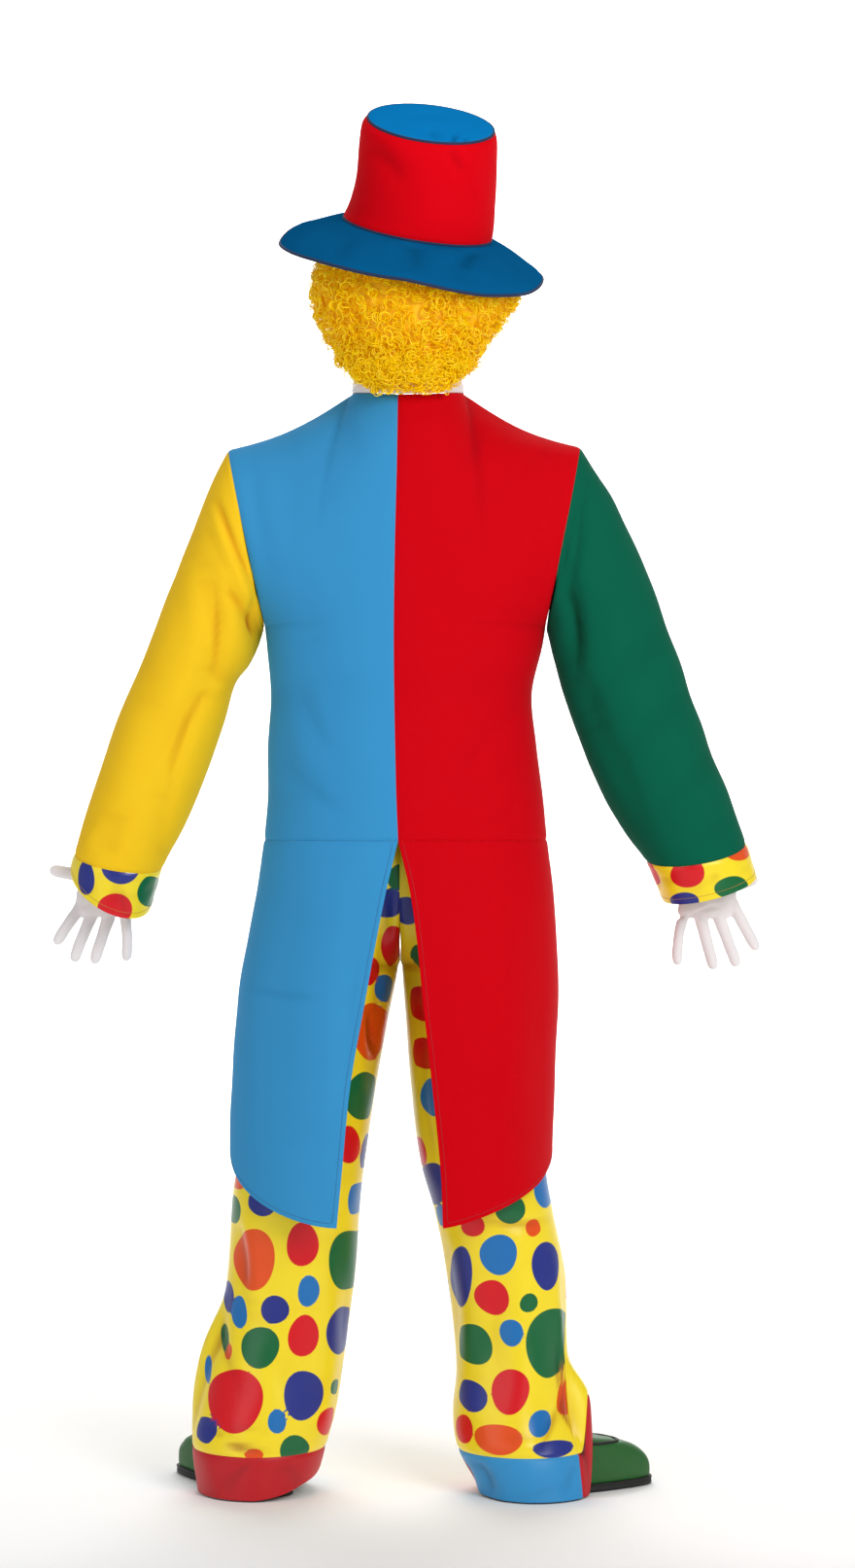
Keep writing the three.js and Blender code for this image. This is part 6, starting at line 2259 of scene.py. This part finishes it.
@dataclass
class Wig:
    """The curly wig: a lumpy mat under thousands of small ringlets.

    A ringlet is a short coil. A point of its strand is the coil's middle, plus radius times
    (cos of the turn times one way, plus sin of the turn times the other), plus pitch times the
    turn over a whole turn along its axis, with a thin three-sided section round that line.
    """

    hat: Hat
    table: Table = Table(
        ("z", "x", "wide", "back", "front", "open"),
        (
            (1518, 12, 92, -94.4, 60, 36),
            (1545, 12, 96, -116, 70, 60),
            (1575, 10, 100, -124, 84, 108),
            (1613, 14, 126, -130, 100, 128),
            (1650, 20, 142, -130, 106, 130),
            (1690, 22, 140, -118, 108, 140),
            (1722, 22, 112, -98, 108, 172),
            (1760, 22, 92, -92, 104, 176),
            (1800, 26, 76, -84, 82, 176),
            (1826, 28, 46, -64, 42, 176),
        ),
    )
    mat_depth: float = 7.0
    curls: int = 3100
    segments: int = 16
    strays: tuple[tuple[float, float, float], ...] = (
        (-117, 1648, 13.0),
        (-112, 1630, 11.0),
        (-104, 1596, 15.0),
        (-50, 1528, 9.0),
        (-74, 1545, 8.0),
        (156, 1655, 8.0),
        (-88, 1570, 7.0),
        (24, 1514, 6.0),
        (74, 1534, 6.5),
        (-121, 1668, 9.0),
        (-110, 1612, 8.0),
        (-96, 1584, 9.5),
        (-66, 1536, 7.5),
        (-36, 1522, 6.5),
        (2, 1516, 5.5),
        (48, 1524, 6.0),
        (96, 1556, 7.0),
        (112, 1580, 8.0),
        (132, 1606, 7.5),
        (146, 1634, 9.0),
    )
    hollows: tuple[Crease, ...] = (
        Crease((32, 1556), (24, 1534), -7.0, 7, 7, 0),
        Crease((58, 1560), (60, 1538), -6.0, 6, 6, 0),
        Crease((-44, 1574), (-36, 1552), -5.0, 6, 6, 0),
        Crease((-70, 1640), (-60, 1590), -3.0, 12, 12, 0),
        Crease((96, 1640), (84, 1580), -3.0, 12, 12, 0),
    )

    def point(self, u: Array, z: Array, inset: Array | float) -> Array:
        """Points of the wig's outer form: an oval open in front, u from one edge to the other."""
        row = self.table.read(z)
        a = np.radians(mix(-row["open"], row["open"], u))
        deep = (row["front"] - row["back"]) / 2 - inset
        middle = (row["back"] + row["front"]) / 2
        return points_of(row["x"] + (row["wide"] - inset) * np.sin(a), middle - deep * np.cos(a), z)

    def build(self, finishes: Finishes) -> None:
        """Builds and dresses the wig.

        Args:
            finishes: the costume's materials.
        """
        u, z = np.meshgrid(spaced(58), mix(1820.0, 1534.0, spaced(62)))
        x = self.point(u, z, 0.0)[..., 0]
        lumps = waviness(x, z, 191, 26.0, 3.0) + relief(self.hollows, x, z)
        mat = Grid(self.hat.below(self.point(u, z, 10.0), 11.0), np.array([20.0, 0.0, 1640.0]))
        mat = mat.raised(lumps * ease(1722, 1690, z))
        piece = wall("wig_mat", mat, self.mat_depth, None)
        settle(piece, finishes.curls, "curls", "wig")
        # painted shade: the mat under the curls takes nearly the root's shade colour
        set_mark(piece, "lift", np.full((len(piece.data.vertices), 1), 0.12))
        coils = self.coils()
        for k, part in enumerate(np.array_split(coils, 2)):
            bunch = self.strands(f"wig_ringlets_{k + 1}", part)
            settle(bunch, finishes.curls, "curls")
        LOG.info("%s with %d ringlets", piece.name, len(coils))

    def coils(self) -> Array:
        """Draws the ringlets' places, axes and sizes.

        Returns:
            One row for each: its middle, its axis, its radius, pitch, turns, starting turn and
            how far out it stands, 0 at the mat and 1 at the tips.
        """
        draw = np.random.default_rng(201)
        count = self.curls
        z = np.where(
            draw.random(count) < 0.86, draw.uniform(1526, 1722, count), draw.uniform(1514, 1560, count)
        )
        edge = draw.random(count)
        u = np.where(edge < 0.1, draw.beta(0.4, 0.4, count), draw.uniform(0, 1, count))
        lift = draw.beta(2.2, 1.6, count)
        inset = mix(11.0, -2.5, lift)
        place = self.point(u, z, inset)
        normal = unit(self.point(u, z, 0.0) - self.point(u, z, 10.0))
        hollow = relief(self.hollows, place[:, 0], z)
        place = place + normal * (waviness(place[:, 0], z, 191, 26.0, 3.0) + hollow * 1.2)[:, None]
        place = self.hat.below(place, 15.0)
        axis = unit(normal * draw.uniform(-0.3, 1.3, (count, 1)) + draw.normal(0, 0.75, (count, 3)))
        radius = draw.uniform(3.0, 7.4, count) * mix(0.85, 1.15, lift)
        pitch, turns = draw.uniform(1.4, 4.6, count), draw.uniform(1.2, 2.3, count)
        rows = np.column_stack([place, axis, radius, pitch, turns, draw.uniform(0, 6.28, count), lift])
        loose = np.array(
            [
                [x, -20.0 - 40 * (abs(x) < 60), z, *unit(draw.normal(0, 1, 3) * [0.6, 1, 0.3])]
                + [r * 0.5, 3.0, 1.2, i * 1.7, 1.0]
                for i, (x, z, r) in enumerate(self.strays)
            ]
        )
        return np.concatenate([rows, loose])

    def strands(self, name: str, coils: Array) -> bpy.types.Object:
        """Joins many ringlets into one mesh.

        Args:
            name: the piece's name.
            coils: the rows that `coils` gives.

        Returns:
            The mesh, with each coil's standing out, plus a random share, as its `lift`, which sets how much
            painted shade it takes.
        """
        draw = np.random.default_rng(300 + len(coils))
        steps = np.linspace(0, 1, self.segments)
        centre, axis = coils[:, None, 0:3], coils[:, None, 3:6]
        radius, pitch, turns, start, lift = (coils[:, 6 + k, None, None] for k in range(5))
        first = unit(np.cross(axis, draw.normal(0, 1, axis.shape)))
        second = np.cross(axis, first)
        turn = start + steps[None, :, None] * turns * 2 * math.pi
        swell = 0.75 + 0.4 * np.sin(steps * math.pi)[None, :, None]
        line = (
            centre
            + radius * swell * (np.cos(turn) * first + np.sin(turn) * second)
            + axis * pitch * turns * (steps[None, :, None] - 0.5)
        )
        way = unit(np.gradient(line, axis=1))
        out = unit(np.cross(way, np.broadcast_to(axis, way.shape)))
        side = np.cross(way, out)
        thick = (0.78 * (0.5 + 0.5 * np.sin(steps * math.pi) ** 0.5))[None, :, None, None]
        corner = np.linspace(0, 2 * math.pi, 3, endpoint=False)[None, None, :, None]
        points = (
            line[:, :, None, :]
            + thick * (np.cos(corner) * out[:, :, None, :] + np.sin(corner) * side[:, :, None, :])
        )
        ids = np.arange(self.segments * 3).reshape(self.segments, 3)
        quads = np.stack(
            [ids[:-1], np.roll(ids, -1, 1)[:-1], np.roll(ids, -1, 1)[1:], ids[1:]], axis=-1
        ).reshape(-1, 4)
        base = (np.arange(len(coils)) * self.segments * 3)[:, None, None]
        caps = [
            (ids[None, 0, ::-1] + base[:, 0]).reshape(-1, 3), (ids[None, -1] + base[:, 0]).reshape(-1, 3)
        ]
        made = new_object(name, points.reshape(-1, 3), [(quads[None] + base).reshape(-1, 4), *caps], 80)
        # painted shade with random tone: loops that stand less far out get more of the root's shade colour,
        # and a random share varies it
        depth = np.broadcast_to(lift * 0.7 + 0.3 * draw.random((len(coils), 1, 1)), points.shape[:3])
        set_mark(made, "lift", np.clip(depth, 0, 1).reshape(-1, 1))
        return made


def lofted(name: str, rings: Array) -> bpy.types.Object:
    """Makes a closed solid through rings, with a fan over each end.

    Args:
        name: the object's name.
        rings: the rings' points, first axis the rings, second the points round them.

    Returns:
        The object.
    """
    rows, columns = rings.shape[:2]
    points = np.concatenate([rings.reshape(-1, 3), rings[:1].mean(axis=1), rings[-1:].mean(axis=1)])
    quads = grid_faces(rows, columns, True)
    ids = np.arange(rows * columns).reshape(rows, columns)
    first = np.stack([np.full(columns, rows * columns), np.roll(ids[0], -1), ids[0]], axis=-1)
    last = np.stack([np.full(columns, rows * columns + 1), ids[-1], np.roll(ids[-1], -1)], axis=-1)
    faces = [quads, first, last]
    a, b, c = (points[quads[:, k]] for k in range(3))
    if np.sum(np.cross(b - a, c - a) * (a - rings.mean(axis=(0, 1)))) < 0:
        faces = [f[:, ::-1] for f in faces]
    return new_object(name, points, faces, 60)


@dataclass(frozen=True)
class Finger:
    """A finger of a glove: its middle line's three points, in mm, and its radius."""

    base: tuple[float, float, float]
    mid: tuple[float, float, float]
    tip: tuple[float, float, float]
    radius: float


@dataclass
class Glove:
    """A white knitted glove, hollow and open at the wrist."""

    side: Side
    knit: float = 1.2
    voxel: float = 2.0
    wrists: dict[Side, tuple] = field(
        default_factory=lambda: {
            Side.LEFT: ((-428.4, 42, 880), (-418, 50, 838), (-419, 55, 797)),
            Side.RIGHT: ((456.3, 42, 884), (438, 50, 838), (431, 55, 795)),
        }
    )
    fingers: dict[Side, tuple[Finger, ...]] = field(
        default_factory=lambda: {
            Side.LEFT: (
                Finger((-432, 54, 842), (-474, 64, 850), (-497, 62, 853), 9.5),
                Finger((-449, 56, 806), (-474, 56, 770), (-487, 52, 748), 8.6),
                Finger((-434, 55, 794), (-452, 55, 752), (-461, 50, 724), 8.8),
                Finger((-412, 55, 787), (-424, 55, 751), (-433, 50, 721), 8.8),
                Finger((-389, 54, 788), (-386, 55, 752), (-388, 51, 725), 8.0),
            ),
            Side.RIGHT: (
                Finger((451, 57, 825), (487, 64, 836), (506, 64, 842), 9.5),
                Finger((467, 56, 808), (491, 56, 764), (503, 52, 740), 8.6),
                Finger((448, 55, 791), (464, 55, 748), (475, 50, 717), 8.8),
                Finger((424, 55, 786), (435, 55, 742), (443, 50, 713), 8.8),
                Finger((398, 55, 785), (391, 54, 746), (392, 51, 719), 8.0),
            ),
        }
    )
    wrinkles: dict[Side, tuple[Crease, ...]] = field(
        default_factory=lambda: {
            Side.LEFT: (
                Crease((-448, 822), (-392, 812), -1.6, 3, 5, 3),
                Crease((-440, 846), (-396, 840), -1.4, 3, 5, -2),
                Crease((-452, 800), (-430, 812), -1.2, 3, 4, 0),
                Crease((-400, 800), (-384, 770), -1.0, 4, 4, 0),
            ),
            Side.RIGHT: (
                Crease((398, 784), (458, 806), -2.0, 3, 5, -3),
                Crease((404, 824), (462, 832), -1.5, 3, 6, 2),
                Crease((430, 806), (470, 792), -1.2, 3, 4, 0),
                Crease((412, 846), (462, 852), -1.4, 3, 5, 0),
            ),
        }
    )

    @staticmethod
    def oval(middle: Array, wide: float, deep: float, tilt: Array, count: int = 28) -> Array:
        """A ring about a middle: wide along its tilt and deep along Y."""
        a = np.linspace(0, 2 * math.pi, count, endpoint=False)[:, None]
        return middle + wide * np.cos(a) * tilt + deep * np.sin(a) * np.array([0.0, 1.0, 0.0])

    def finger_rings(self, finger: Finger, heart: Array) -> Array:
        """A finger's rings, from inside the palm to its rounded end."""
        base, mid, tip = (np.array(p, float) for p in (finger.base, finger.mid, finger.tip))
        root = mix(base, heart, 0.5)
        steps = np.linspace(0, 1, 9)[:, None]
        bend = (
            (1 - steps) ** 2 * base
            + 2 * steps * (1 - steps) * (2 * mid - (base + tip) / 2)
            + steps**2 * tip
        )
        line = np.concatenate([root[None], bend])
        way = unit(line[-1] - line[-2])
        tilt = unit(np.cross([0.0, 1.0, 0.0], way))
        sizes = np.array([1.1, 1.12, 1.05, 1.0, 1.0, 0.97, 0.98, 0.96, 0.9]) * finger.radius
        body = [self.oval(p, s, s * 0.98, tilt) for p, s in zip(line[:-1], sizes)]
        end = line[-1] - way * finger.radius
        turns = np.radians([8, 28, 48, 66, 80])
        body[-1] = self.oval(end, sizes[-1], sizes[-1], tilt)
        dome = [
            self.oval(
                end + way * finger.radius * math.sin(t),
                sizes[-1] * math.cos(t),
                sizes[-1] * math.cos(t),
                tilt,
            )
            for t in turns
        ]
        return np.array(body + dome)

    def build(self, finishes: Finishes) -> None:
        """Builds the glove: solids joined by voxels, smoothed, cut open at the wrist and shelled.

        Args:
            finishes: the costume's materials.
        """
        wrist, palm, knuckles = (np.array(p, float) for p in self.wrists[self.side])
        across = np.array([1.0, 0.0, 0.0])
        sections = [
            (wrist + [0, 0, 14], 27, 21),
            (wrist, 27.5, 20.5),
            (mix(wrist, palm, 0.5), 30.5, 19.5),
            (palm, 36, 17.5),
            (mix(palm, knuckles, 0.5), 39.5, 15.5),
            (knuckles, 41, 13.5),
            (knuckles + [0, 0, -9], 35, 8.5),
        ]
        solids = [lofted("palm", np.array([self.oval(m, w, d, across, 48) for m, w, d in sections]))]
        for k, finger in enumerate(self.fingers[self.side]):
            heart = palm if k == 0 else knuckles
            solids.append(lofted(f"finger_{k}", self.finger_rings(finger, heart)))
        points, faces = self.fused(solids)
        piece = self.shelled(points, faces, float(wrist[2]))
        settle(piece, finishes.knit, "white_knit", f"glove_{self.side.word}")
        LOG.info("%s", piece.name)

    def fused(self, solids: list[bpy.types.Object]) -> tuple[Array, Array]:
        """Joins overlapping solids into one smooth skin.

        Args:
            solids: closed objects, which are used up.

        Returns:
            The skin's points in mm and its quads.
        """
        head = solids[0]
        with bpy.context.temp_override(
            active_object=head, selected_editable_objects=solids, selected_objects=solids
        ):
            bpy.ops.object.join()
        joined = head.modifiers.new("fuse", "REMESH")
        joined.mode = "VOXEL"
        joined.voxel_size = self.voxel * 0.001
        smooth = head.modifiers.new("smooth", "SMOOTH")
        smooth.iterations = 6
        smooth.factor = 0.6
        graph = bpy.context.evaluated_depsgraph_get()
        skin = bpy.data.meshes.new_from_object(head.evaluated_get(graph))
        points = np.empty(len(skin.vertices) * 3, np.float32)
        skin.vertices.foreach_get("co", points)
        corners = np.empty(len(skin.loops), np.int32)
        skin.loops.foreach_get("vertex_index", corners)
        bpy.data.objects.remove(head, do_unlink=True)
        return points.reshape(-1, 3).astype(float) * 1000 + FRAME_ORIGIN, corners.reshape(-1, 4)

    def shelled(self, points: Array, faces: Array, top: float) -> bpy.types.Object:
        """Cuts the skin open at the wrist, wrinkles it and gives it an inner face.

        Args:
            points: the skin's points, in mm.
            faces: its quads.
            top: the height of the cut.

        Returns:
            The glove: its skin, the skin moved in by the knit's thickness, and the rim between.
        """
        points[:, 2] = np.where((points[:, 2] > top) & (points[:, 2] < top + self.voxel), top, points[:, 2])
        faces = faces[(points[faces, 2] <= top + 0.01).all(axis=1)]
        used, packed = np.unique(faces, return_inverse=True)
        points, faces = points[used], packed.reshape(-1, 4)
        flat = np.cross(
            points[faces[:, 2]] - points[faces[:, 0]], points[faces[:, 3]] - points[faces[:, 1]]
        )
        normals = np.zeros_like(points)
        for k in range(4):
            np.add.at(normals, faces[:, k], flat)
        normals = unit(normals)
        x, z = points[:, 0], points[:, 2]
        heights = (
            relief(self.wrinkles[self.side], x, z) * ease(-0.3, 0.3, -normals[:, 1])
            + waviness(x, z, 211, 20.0, 0.5)
        )
        points = points + normals * heights[:, None]
        count = len(points)
        edges = np.concatenate([faces[:, [k, (k + 1) % 4]] for k in range(4)])
        key = np.sort(edges, axis=1) @ np.array([count, 1])
        _, index, times = np.unique(key, return_index=True, return_counts=True)
        rim = edges[index[times == 1]]
        band = np.stack([rim[:, 1], rim[:, 0], rim[:, 0] + count, rim[:, 1] + count], axis=-1)
        shell = np.concatenate([points, points - normals * self.knit])
        return new_object(f"knit_glove_{self.side.word}", shell, [faces, faces[:, ::-1] + count, band], 60)


@dataclass
class Shoe:
    """A round-toed shoe: its upper, with a corded apron seam, and its flared sole."""

    side: Side
    ends: dict[Side, tuple] = field(
        default_factory=lambda: {Side.LEFT: ((-181, -72), (-270, 70)), Side.RIGHT: ((172, -80), (301, 2))}
    )
    heel_radius: float = 33.0
    toe_radius: float = 47.0
    sole: float = 11.0
    upper: float = 2.6
    throat_back: float = 4.0
    throat_length: float = 92.0
    throat_wide: float = 27.0
    heel_z: float = 84.0
    front_z: float = 72.0

    def axes(self) -> tuple[Array, Array, Array, Array]:
        """The heel's and toe's middles, and the ways ahead and across."""
        heel, toe = (np.array([*p, 0.0]) for p in self.ends[self.side])
        ahead = unit(toe - heel)
        return heel, toe, ahead, np.array([ahead[1], -ahead[0], 0.0])

    def sole_point(self, angle: Array, grow: Array | float, z: Array | float) -> Array:
        """Points of the outline round the heel's and the toe's circles, from the toe."""
        heel, toe, ahead, across = self.axes()
        a = np.radians(angle)
        blend = ease(-1, 1, np.cos(a) * 1.25)
        radius = mix(self.heel_radius, self.toe_radius, blend) + grow
        flat = mix(heel, toe, blend[..., None])
        flat = flat + ahead * (radius * np.cos(a))[..., None] + across * (radius * np.sin(a))[..., None]
        return flat + points_of(0.0, 0.0, np.broadcast_to(z, np.shape(a)))

    def throat_point(self, angle: Array) -> Array:
        """Points of the foot opening's rim: an oval that is higher at the heel."""
        heel, _, ahead, across = self.axes()
        a = np.radians(angle)
        half = self.throat_length / 2
        middle = heel + ahead * (half - self.heel_radius + self.throat_back + 4)
        flat = (
            middle
            + ahead * (half * np.cos(a))[..., None]
            + across * (self.throat_wide * np.sin(a))[..., None]
        )
        return flat + points_of(0.0, 0.0, mix(self.heel_z, self.front_z, (1 + np.cos(a)) / 2))

    def upper_point(self, angle: Array, v: Array) -> Array:
        """Points of the upper, which rises from the sole and closes in to the opening's rim."""
        base, rim = self.sole_point(angle, 0.0, 0.0), self.throat_point(angle)
        low = self.sole + 0.3
        level = rim * [1, 1, 0]
        a = v * math.pi / 2
        bulge = 3 * np.sin(math.pi * np.minimum(v * 1.6, 1))
        flat = mix(base, level, (1 - np.cos(a) ** 0.9)[..., None]) + unit(base - level) * bulge[..., None]
        return flat + points_of(0.0, 0.0, mix(low, rim[..., 2], np.sin(a) ** 0.8))

    def build(self, finishes: Finishes) -> None:
        """Builds and dresses the shoe.

        Args:
            finishes: the costume's materials.
        """
        word = self.side.word
        angle = np.linspace(0, 360, 110, endpoint=False)
        profile = (
            (0.5, 0),
            (2.4, 0.6),
            (3.0, 2.5),
            (2.6, 6.8),
            (1.9, 7.3),
            (1.9, 7.9),
            (3.2, 8.4),
            (3.4, 9.6),
            (2.6, 10.7),
            (1.0, 11.0),
        )
        sole = lofted(f"rubber_sole_{word}", np.array([self.sole_point(angle, g, z) for g, z in profile]))
        settle(sole, finishes.sole, "black_sole", f"sole_{word}")
        v, around = np.meshgrid(spaced(32), np.linspace(0, 360, 130, endpoint=False), indexing="ij")
        heel, toe, _, _ = self.axes()
        plain = Grid(
            self.upper_point(around, np.clip(v, 0, 0.999)), mix(heel, toe, 0.4) + [0, 0, 24.0], tube=True
        )
        seam = self.apron(around)
        groove = -1.3 * np.exp(-(((v - seam) / 0.03) ** 2)) * (np.cos(np.radians(around)) > -0.45)
        heights = groove + waviness(plain.across(), plain.along(), 221, 40.0, 0.7) * np.minimum(1, v * 6)
        grid = plain.raised(heights).rolled(1.0, 2.0, "t")
        upper = wall(f"leather_upper_{word}", grid, self.upper, None)
        settle(upper, finishes.shoe, "green_shoe", f"shoe_{word}")
        turns = np.linspace(-104, 104, 90)
        row = np.interp(self.apron(turns), v[:, 0], np.arange(len(v)))
        points, normals = grid.path(row, np.mod(turns, 360) / 360 * 130)
        cord = tube_along(f"apron_cord_{word}", points + normals * 0.8, 2.2, 8)
        binding = tube_along(
            f"throat_binding_{word}",
            grid.points[-1] - grid.normals()[-1] * self.upper / 2,
            2.0,
            8,
            ring=True,
        )
        for trim in (cord, binding):
            settle(trim, finishes.shoe_trim, "black_sole")
        LOG.info("%s, %s", upper.name, sole.name)

    def apron(self, angle: Array) -> Array:
        """How high the apron seam runs on the upper, 0 at the sole and 1 at the rim."""
        return 0.56 + 0.06 * np.cos(np.radians(angle))


@dataclass(frozen=True)
class Studio:
    """A pale studio: floor, surround, soft boxes, and a level camera behind the wearer."""

    ground: float = 0.0
    eye: tuple[float, float, float] = (38.0, -5000.0, 975.0)
    lens: float = 82.24

    def build(self) -> None:
        """Sets the floor, the light, the camera and plain, undimmed colours."""
        bpy.context.scene.view_settings.view_transform = "Standard"
        self.floor()
        self.surround()
        self.soft_box("key", (1900, -3000, 2500), (100, 0, 1050), 1800, 74.0)
        self.soft_box("fill", (-2300, -2700, 1500), (0, 0, 950), 2000, 18.0)
        self.soft_box("top", (0, -600, 3600), (0, 0, 1200), 1800, 9.0)
        self.soft_box("backdrop", (0, 3600, 5200), (0, 7400, 700), 3000, 520.0)
        self.camera()

    def floor(self) -> None:
        """Lays a wide pale floor that curves up into the backdrop, and is clear seen from its back."""
        x, run = np.meshgrid(np.linspace(-14000, 14000, 3), np.linspace(0, 20000, 60))
        bend = np.clip((run - 14600) / 3000, 0, 1) * math.pi / 2
        y = np.where(run < 14600, run - 9000, 5600 + 1900 * np.sin(bend))
        z = np.where(run < 17600, 1900 * (1 - np.cos(bend)), 1900 + (run - 17600) * 2)
        points = points_of(x, y, self.ground + z - 0.5)
        made = new_object("studio_floor", points.reshape(-1, 3), [grid_faces(60, 3, False)])
        paint = bpy.data.materials.new("white_studio_paper")
        paint.use_nodes = True
        tree = paint.node_tree
        tree.nodes.clear()
        side = add(tree, "ShaderNodeNewGeometry").outputs["Backfacing"]
        shader = add(
            tree, "ShaderNodeBsdfPrincipled", {"Base Color": linear("#f7f7f6"), "Roughness": 0.9}
        ).outputs[0]
        clear = add(tree, "ShaderNodeBsdfTransparent").outputs[0]
        surface = add(tree, "ShaderNodeMixShader", {}, {0: side, 1: shader, 2: clear}).outputs[0]
        add(tree, "ShaderNodeOutputMaterial", {}, {"Surface": surface})
        made.data.materials.append(paint)

    def surround(self) -> None:
        """Gives the world an even, near-white light."""
        world = bpy.data.worlds.new("studio_surround")
        world.use_nodes = True
        back = world.node_tree.nodes["Background"]
        back.inputs["Color"].default_value = (1.0, 1.0, 1.0, 1.0)
        back.inputs["Strength"].default_value = 0.37
        bpy.context.scene.world = world

    def soft_box(self, name: str, place: tuple, aim: tuple, size: float, watts: float) -> None:
        """Hangs a square area light.

        Args:
            name: its name.
            place: where it hangs, in mm above the floor.
            aim: what it points at.
            size: its side, in mm.
            watts: its power.
        """
        light = bpy.data.lights.new(name, "AREA")
        light.shape = "SQUARE"
        light.size = size * 0.001
        light.energy = watts
        made = bpy.data.objects.new(name, light)
        made.location = to_frame(np.array(place, float))
        way = to_frame(np.array(aim, float)) - to_frame(np.array(place, float))
        made.rotation_euler = Vector(way).to_track_quat("-Z", "Y").to_euler()
        bpy.context.scene.collection.objects.link(made)

    def camera(self) -> None:
        """Stands a level camera behind the costume."""
        data = bpy.data.cameras.new("camera")
        data.sensor_fit = "AUTO"
        data.sensor_width = 36.0
        data.lens = self.lens
        made = bpy.data.objects.new("camera", data)
        made.location = to_frame(np.array(self.eye))
        made.rotation_euler = (math.pi / 2, 0.0, 0.0)
        bpy.context.scene.collection.objects.link(made)
        bpy.context.scene.camera = made


def main() -> None:
    """Builds the costume piece by piece, then the studio round it."""
    finishes = Finishes.all()
    Coat().build(finishes)
    for side in Side:
        Sleeve(side).build(finishes)
    Collar().build(finishes)
    Trousers().build(finishes)
    hat = Hat()
    hat.build(finishes)
    Wig(hat).build(finishes)
    for side in Side:
        Glove(side).build(finishes)
        Shoe(side).build(finishes)
    Studio().build()


if __name__ == "__main__":
    main()
